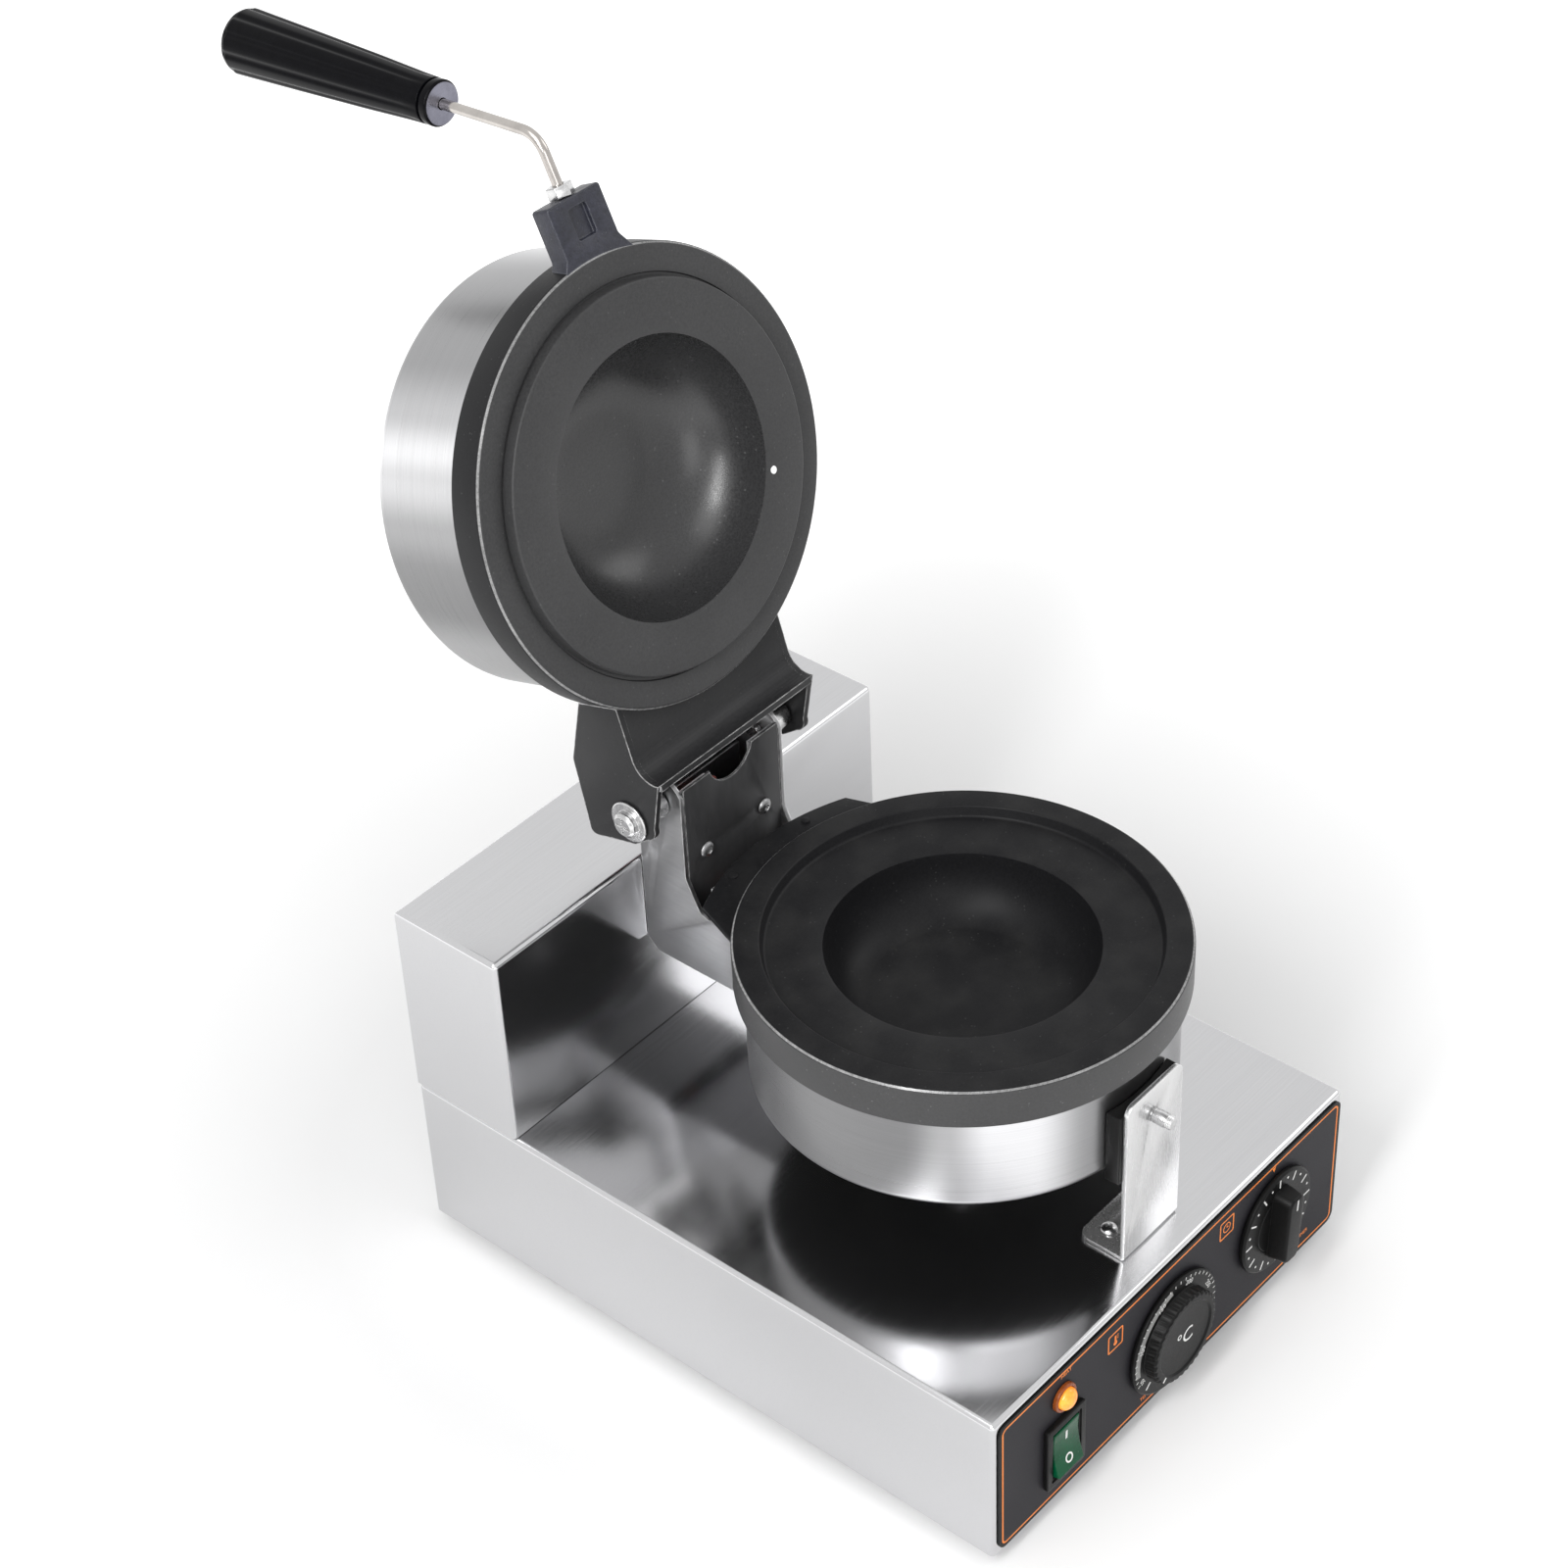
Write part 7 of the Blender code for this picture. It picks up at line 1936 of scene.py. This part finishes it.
@dataclass
class Yoke:
    """Bent yoke that carries the lid, with its stop bar and screws."""

    shop: Paintshop
    screws: Screws
    half: float = 50
    sheet: float = 3
    bend: float = 11
    pan: float = LID_PAN_BACK
    rim: float = LID_RIM_HEIGHT
    lift: float = 9

    def build(self) -> None:
        """Make the yoke, the stop bar and the yoke's screws."""
        self._yoke()
        self._stop()
        for side, way in SIDES:
            spot = UPPER_PAN @ at(way * YOKE_SCREWS, YOKE_SCREW_BACK, 19.3)
            self.screws.drive(f"yoke_screw_{side}", spot, Body.LID)

    def _ear(self) -> list[Flat]:
        """Give the outline of one ear, from the hinge axis of the closed lid.

        Returns:
            The points, once round.
        """
        face = self.rim + self.lift
        lip = bow((self.pan + 108, face - self.bend), (self.bend, self.bend), 90, 0, 10)
        toe = bow((2.5, -7.5), (6, 6), -90, 0, 10)
        start = self.pan + math.sqrt(96.5**2 - self.half**2) - 4
        return filleted([
            (start, face, 0), *lip, *toe, (12, 2, 2), (11, 28.6, 3), (-27, 25, 3), (start, 7, 0),
        ], closed=True)

    def _yoke(self) -> None:
        """Cut the ears, bend the web between them and clear the casting."""
        outline = self._ear()
        pieces = []
        for low in (-self.half, self.half - self.sheet):
            pieces.append(Bench.settle(
                Bench.plate("ear", outline, low * MM, (low + self.sheet) * MM), SIDEWAYS))
        front = (self.rim + self.lift) * MM
        bend_at = (self.pan + 108) * MM, front - self.bend * MM
        start = (self.pan + 83) * MM
        web = [
            (start, front), *arc(bend_at, self.bend * MM, 90, 0, 12),
            *arc(bend_at, (self.bend + self.sheet) * MM, 0, 90, 12), (start, front + self.sheet * MM)]
        pieces.append(Bench.settle(
            Bench.plate("web", web, (1.5 - self.half) * MM, (self.half - 1.5) * MM), SIDEWAYS))
        yoke = Bench.weld(*pieces)
        room = Bench.rod("room", at(0, self.pan, self.rim), CASTING_ROOM * MM, 70 * MM, 160)
        pin = Bench.rod("pin_hole", along("X", (-0.055, 0, 0)), HINGE_HOLE * MM, 0.11, 40)
        back, low = self.pan + YOKE_SCREW_BACK, self.rim + 10
        taps = [
            Bench.rod("tap", at(way * YOKE_SCREWS, back, low), SCREW_HOLE, 8 * MM, 24)
            for way in (-1, 1)]
        Bench.soften(Bench.carve(yoke, room, pin, *taps), 0.45 * MM, 3, 50)
        yoke.name = yoke.data.name = "lid_carrier"
        Bench.settle(yoke, HINGE)
        self.shop.deliver(yoke, Body.LID, Slot.PAINT, YOKE_PAINT, "lid_yoke")

    def _stop(self) -> None:
        """Cut the stop bar between the ears and round its edges."""
        low, high = millimetres(-46.7, 21.35, 208), millimetres(46.7, 25.35, 218)
        bar = Bench.block("stop_strip", low, high)
        Bench.soften(bar, 0.5 * MM, 3, 50)
        self.shop.deliver(bar, Body.LID, Slot.PAINT, YOKE_PAINT, "stop_bar")


@dataclass
class Handle:
    """Cranked rod with its lock nut and fluted grip."""

    shop: Paintshop
    rod: float = 2.3
    bore: float = 2.6
    seat: float = 16.3
    depth: float = 6.2
    reach: float = 48.7
    bend: float = 12
    tilt: float = 68.2
    run: float = 45.3
    length: float = 120
    front: float = 9.8
    end: float = 14.4
    flutes: int = 10

    def build(self) -> None:
        """Make the rod, the nut and the grip."""
        self._rod()
        self._nut()
        self._grip()

    def _rod(self) -> None:
        """Extrude a disc along the shank, spin it round the crank and extrude the run."""
        Bench.put_down()
        bpy.ops.mesh.primitive_circle_add(vertices=40, radius=self.rod * MM, fill_type="NGON")
        seat = along("-Y", millimetres(0, -self.seat, self.depth))
        rod = Bench.settle(Bench.named("handle_bar"), seat)
        Bench.open(rod)
        bpy.ops.mesh.select_all(action="SELECT")
        straight = (self.reach - self.seat) * MM
        bpy.ops.mesh.extrude_region_move(TRANSFORM_OT_translate={"value": (0, -straight, 0)})
        turn = math.radians(self.tilt)
        centre = millimetres(0, -self.reach, self.depth + self.bend)
        bpy.ops.mesh.spin(steps=18, angle=turn, center=centre, axis=(1, 0, 0))
        far = (self.run + 39.7) * MM
        step = (0, -far * math.cos(turn), far * math.sin(turn))
        bpy.ops.mesh.extrude_region_move(TRANSFORM_OT_translate={"value": step})
        Bench.tidy()
        Bench.put_down()
        Bench.settle(rod, LUG)
        self.shop.deliver(rod, Body.LID, Slot.ZINC, ROD_STEEL, "handle_rod", smooth=40)

    def _nut(self) -> None:
        """Face the lock nut at the lug's end."""
        spot = along("-Y", millimetres(0, -30.3, self.depth))
        nut = Bench.rod("handle_lock", spot, 5.8 * MM, 5 * MM, 6)
        spot = along("-Y", millimetres(0, -29, self.depth))
        Bench.carve(nut, Bench.rod("bore", spot, self.bore * MM, 8 * MM, 32))
        Bench.soften(nut, 0.5 * MM, 3, 50)
        Bench.settle(nut, LUG)
        self.shop.deliver(nut, Body.LID, Slot.ZINC, ZINC, "handle_nut")

    def _grip(self) -> None:
        """Turn the grip with its collar and groove, then press its flutes in."""
        sides = 16 * self.flutes
        front, end, length = self.front, self.end, self.length
        grip = Bench.turned("grip", filleted([
            (0, 0, 0), (9, 0, 0.6), (front, 1, 0.6), (front, 4, 0.3), (8.8, 4.1, 0), (8.8, 5.4, 0),
            (front, 5.5, 0.3), (front + 0.3, 14, 0), (front + 1.6, 40, 0), (front + 3.2, 80, 0),
            (end, 117, 1.5), (13.6, 119.2, 1.2), (12, length, 1), (0, length, 0)]), sides)
        Bench.open(grip)
        for step in range(-4, 5):
            deep = 0.06 * (1 + math.cos(math.pi * step / 4.5)) / 2

            def in_flute(place: Vector, _normal: Vector, step: int = step) -> bool:
                """Tell the vertices of one line of every flute.

                Args:
                    place: where the vertex is.
                    _normal: not used.
                    step: the line's number, counted from the flute's middle.

                Returns:
                    Whether it is on the line.
                """
                if not 9 * MM < place.z < 118 * MM or math.hypot(place.x, place.y) < 5 * MM:
                    return False
                index = round(math.atan2(place.y, place.x) / math.tau * sides)
                return (index - step) % 16 == 0

            Bench.select(grip, Pick.VERTS, in_flute)
            bpy.ops.transform.resize(value=(1 - deep, 1 - deep, 1), center_override=(0, 0, 0))
        Bench.put_down()
        Bench.carve(grip, Bench.rod("bore", at(0, 0, -1), self.bore * MM, 41 * MM, 32))
        grip.data.materials.append(self.shop.coat(BLACK_BAKELITE))

        def on_end(middle: Vector, normal: Vector) -> bool:
            """Tell the faces of the grip's bare end."""
            flat = middle.z < 0.05 * MM and normal.z < -0.9
            return flat and middle.xy.length < 9 * MM

        Bench.zone(grip, self.shop.coat(FERRULE), on_end)
        turn = math.radians(self.tilt)
        reach = self.reach + self.bend * math.sin(turn) + self.run * math.cos(turn)
        rise = self.depth + self.bend * (1 - math.cos(turn)) + self.run * math.sin(turn)
        Bench.settle(grip, LUG @ at(0, -reach, rise) @ spun("X", 90 - self.tilt))
        self.shop.deliver(grip, Body.LID, Slot.GRIP, None, "handle_grip", smooth=40)


@dataclass
class Innards:
    """Frame nodes whose own shape is right: they keep it and get a finish."""

    shop: Paintshop
    finishes: dict[str, Finish] = field(default_factory=lambda: {
        "bottom_plate": TRAY_STEEL, "thermostat_body": TRAY_STEEL, "timer_body": TRAY_STEEL,
        "lower_heater": HEATER_STEEL, "upper_heater": HEATER_STEEL, "lower_insulation": WOOL,
        "upper_insulation": WOOL, "temperature_probe": COPPER, "terminal_block": STEATITE,
        "lid_lead": SILICONE, "lid_supply_lead": SILICONE, "pan_lead": SILICONE,
    })

    def dress(self) -> None:
        """Give each node its finish through its object's material slots."""
        for name, finish in self.finishes.items():
            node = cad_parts[name]
            for slot in node.material_slots:
                slot.link = "OBJECT"
                slot.material = self.shop.coat(finish)
            LOG.info("%-26s keeps its shape", name)


@dataclass
class Studio:
    """Pale floor, soft light and the photograph's camera."""

    place: Point = (-0.85219, -0.81147, 1.14442)
    azimuth: float = -47.655
    elevation: float = 38.251
    roll: float = -2.880
    lens: float = 79.49
    day: float = 0.52
    lift: tuple[float, ...] = (0.2, 0.9, 0.05, 0.8)

    def build(self) -> None:
        """Set the floor, the world, the lamps and the camera."""
        bpy.context.scene.view_settings.view_transform = "Standard"
        self._floor()
        self._world()
        self._lamp("key_light", (-1.3, -0.3, 2.3), 1.6, 1.6, 15)
        self._lamp("front_light", (-1.5, -2.2, 0.9), 0.9, 1.2, 9)
        self._lamp("side_light", (1.9, -1.2, 1.8), 1.2, 1.2, 9)
        self._lamp("strip_light", (-1.55, -0.48, 1.4), 0.28, 1.2, 20)
        self._camera()

    def _floor(self) -> None:
        """Lay a wide pale floor that keeps the shadow."""
        Bench.put_down()
        bpy.ops.mesh.primitive_plane_add(size=12)
        floor = Bench.named("floor")
        material = bpy.data.materials.new("pale_floor")
        material.use_nodes = True
        tree = material.node_tree
        spot = tree.nodes.new("ShaderNodeTexCoord")
        reach = wired(tree, "ShaderNodeVectorMath", {0: spot.outputs["Object"]}, operation="LENGTH")
        fall = wired(tree, "ShaderNodeMapRange", {
            0: reach.outputs["Value"], **dict(enumerate(self.lift, 1))})
        lift = wired(tree, "ShaderNodeMath", {
            0: self._seen(tree), 1: fall.outputs[0]}, operation="MULTIPLY")
        fill(tree, tree.nodes["Principled BSDF"], {
            "Base Color": (0.85, 0.85, 0.85, 1), "Roughness": 0.9, "Specular IOR Level": 0.0,
            "Emission Color": lift.outputs[0], "Emission Strength": 1.0,
        })
        floor.data.materials.append(material)

    @staticmethod
    def _seen(tree: Tree) -> object:
        """Give 1 for rays that show the background: camera, glossy and transmission rays.

        Args:
            tree: the tree.

        Returns:
            The socket.
        """
        rays = tree.nodes.new("ShaderNodeLightPath")
        last = rays.outputs["Is Camera Ray"]
        for name in ("Is Glossy Ray", "Is Transmission Ray"):
            pair = {0: last, 1: rays.outputs[name]}
            last = wired(tree, "ShaderNodeMath", pair, operation="MAXIMUM").outputs[0]
        return last

    def _world(self) -> None:
        """Light softly from all round and show white behind the object."""
        world = bpy.context.scene.world or bpy.data.worlds.new("studio")
        bpy.context.scene.world = world
        world.use_nodes = True
        tree = world.node_tree
        mix = wired(tree, "ShaderNodeMix", {
            0: self._seen(tree), 6: (self.day, self.day, self.day, 1), 7: (1, 1, 1, 1),
        }, data_type="RGBA")
        fill(tree, tree.nodes["Background"], {"Color": mix.outputs[2], "Strength": 1.0})

    @staticmethod
    def _lamp(name: str, place: Point, width: float, height: float, power: float) -> None:
        """Hang a soft rectangular lamp that looks at the object's middle.

        Args:
            name: name of the lamp.
            place: where it hangs.
            width: its width.
            height: its height.
            power: its power in watts.
        """
        Bench.put_down()
        bpy.ops.object.light_add(type="AREA", location=place)
        lamp = Bench.named(name)
        lamp.data.shape = "RECTANGLE"
        lamp.data.size, lamp.data.size_y = width, height
        lamp.data.energy = power
        aim = Vector((0, 0, 0.2)) - Vector(place)
        lamp.rotation_euler = aim.to_track_quat("-Z", "Y").to_euler()

    def _camera(self) -> None:
        """Stand the camera where the photograph was taken from."""
        Bench.put_down()
        bpy.ops.object.camera_add()
        camera = Bench.named("camera")
        angles = (self.azimuth, self.elevation, self.roll)
        azimuth, elevation, roll = (math.radians(angle) for angle in angles)
        back = Vector((
            math.sin(azimuth) * math.cos(elevation), -math.cos(azimuth) * math.cos(elevation),
            math.sin(elevation)))
        right = (-back).cross(Vector((0, 0, 1))).normalized()
        up = right.cross(-back)
        level = right * math.cos(roll) + up * math.sin(roll)
        upright = up * math.cos(roll) - right * math.sin(roll)
        turn = Matrix((level, upright, back)).transposed().to_4x4()
        camera.matrix_world = Matrix.Translation(self.place) @ turn
        camera.data.sensor_width = 36
        camera.data.lens = self.lens
        camera.data.clip_start = 0.01
        bpy.context.scene.camera = camera


def main() -> None:
    """Build every sub-assembly in order and report it."""
    shop = Paintshop()
    screws = Screws(shop)
    screws.build()
    assemblies = [
        Cabinet(shop), RearBox(shop, screws), ControlPanel(shop),
        Pan(shop, "lower", LOWER_PAN, Body.BASE, LOWER_PAINTED_REFLECTIONS),
        Pan(shop, "upper", UPPER_PAN, Body.LID, UPPER_PAINTED_REFLECTIONS),
        VentPlug(shop), HingeStand(shop, screws), FrontStand(shop, screws), Yoke(shop, screws),
        Handle(shop),
    ]
    for assembly in assemblies:
        LOG.info("building %s", type(assembly).__name__)
        assembly.build()
    screws.clear()
    Innards(shop).dress()
    Studio().build()


if __name__ == "__main__":
    main()
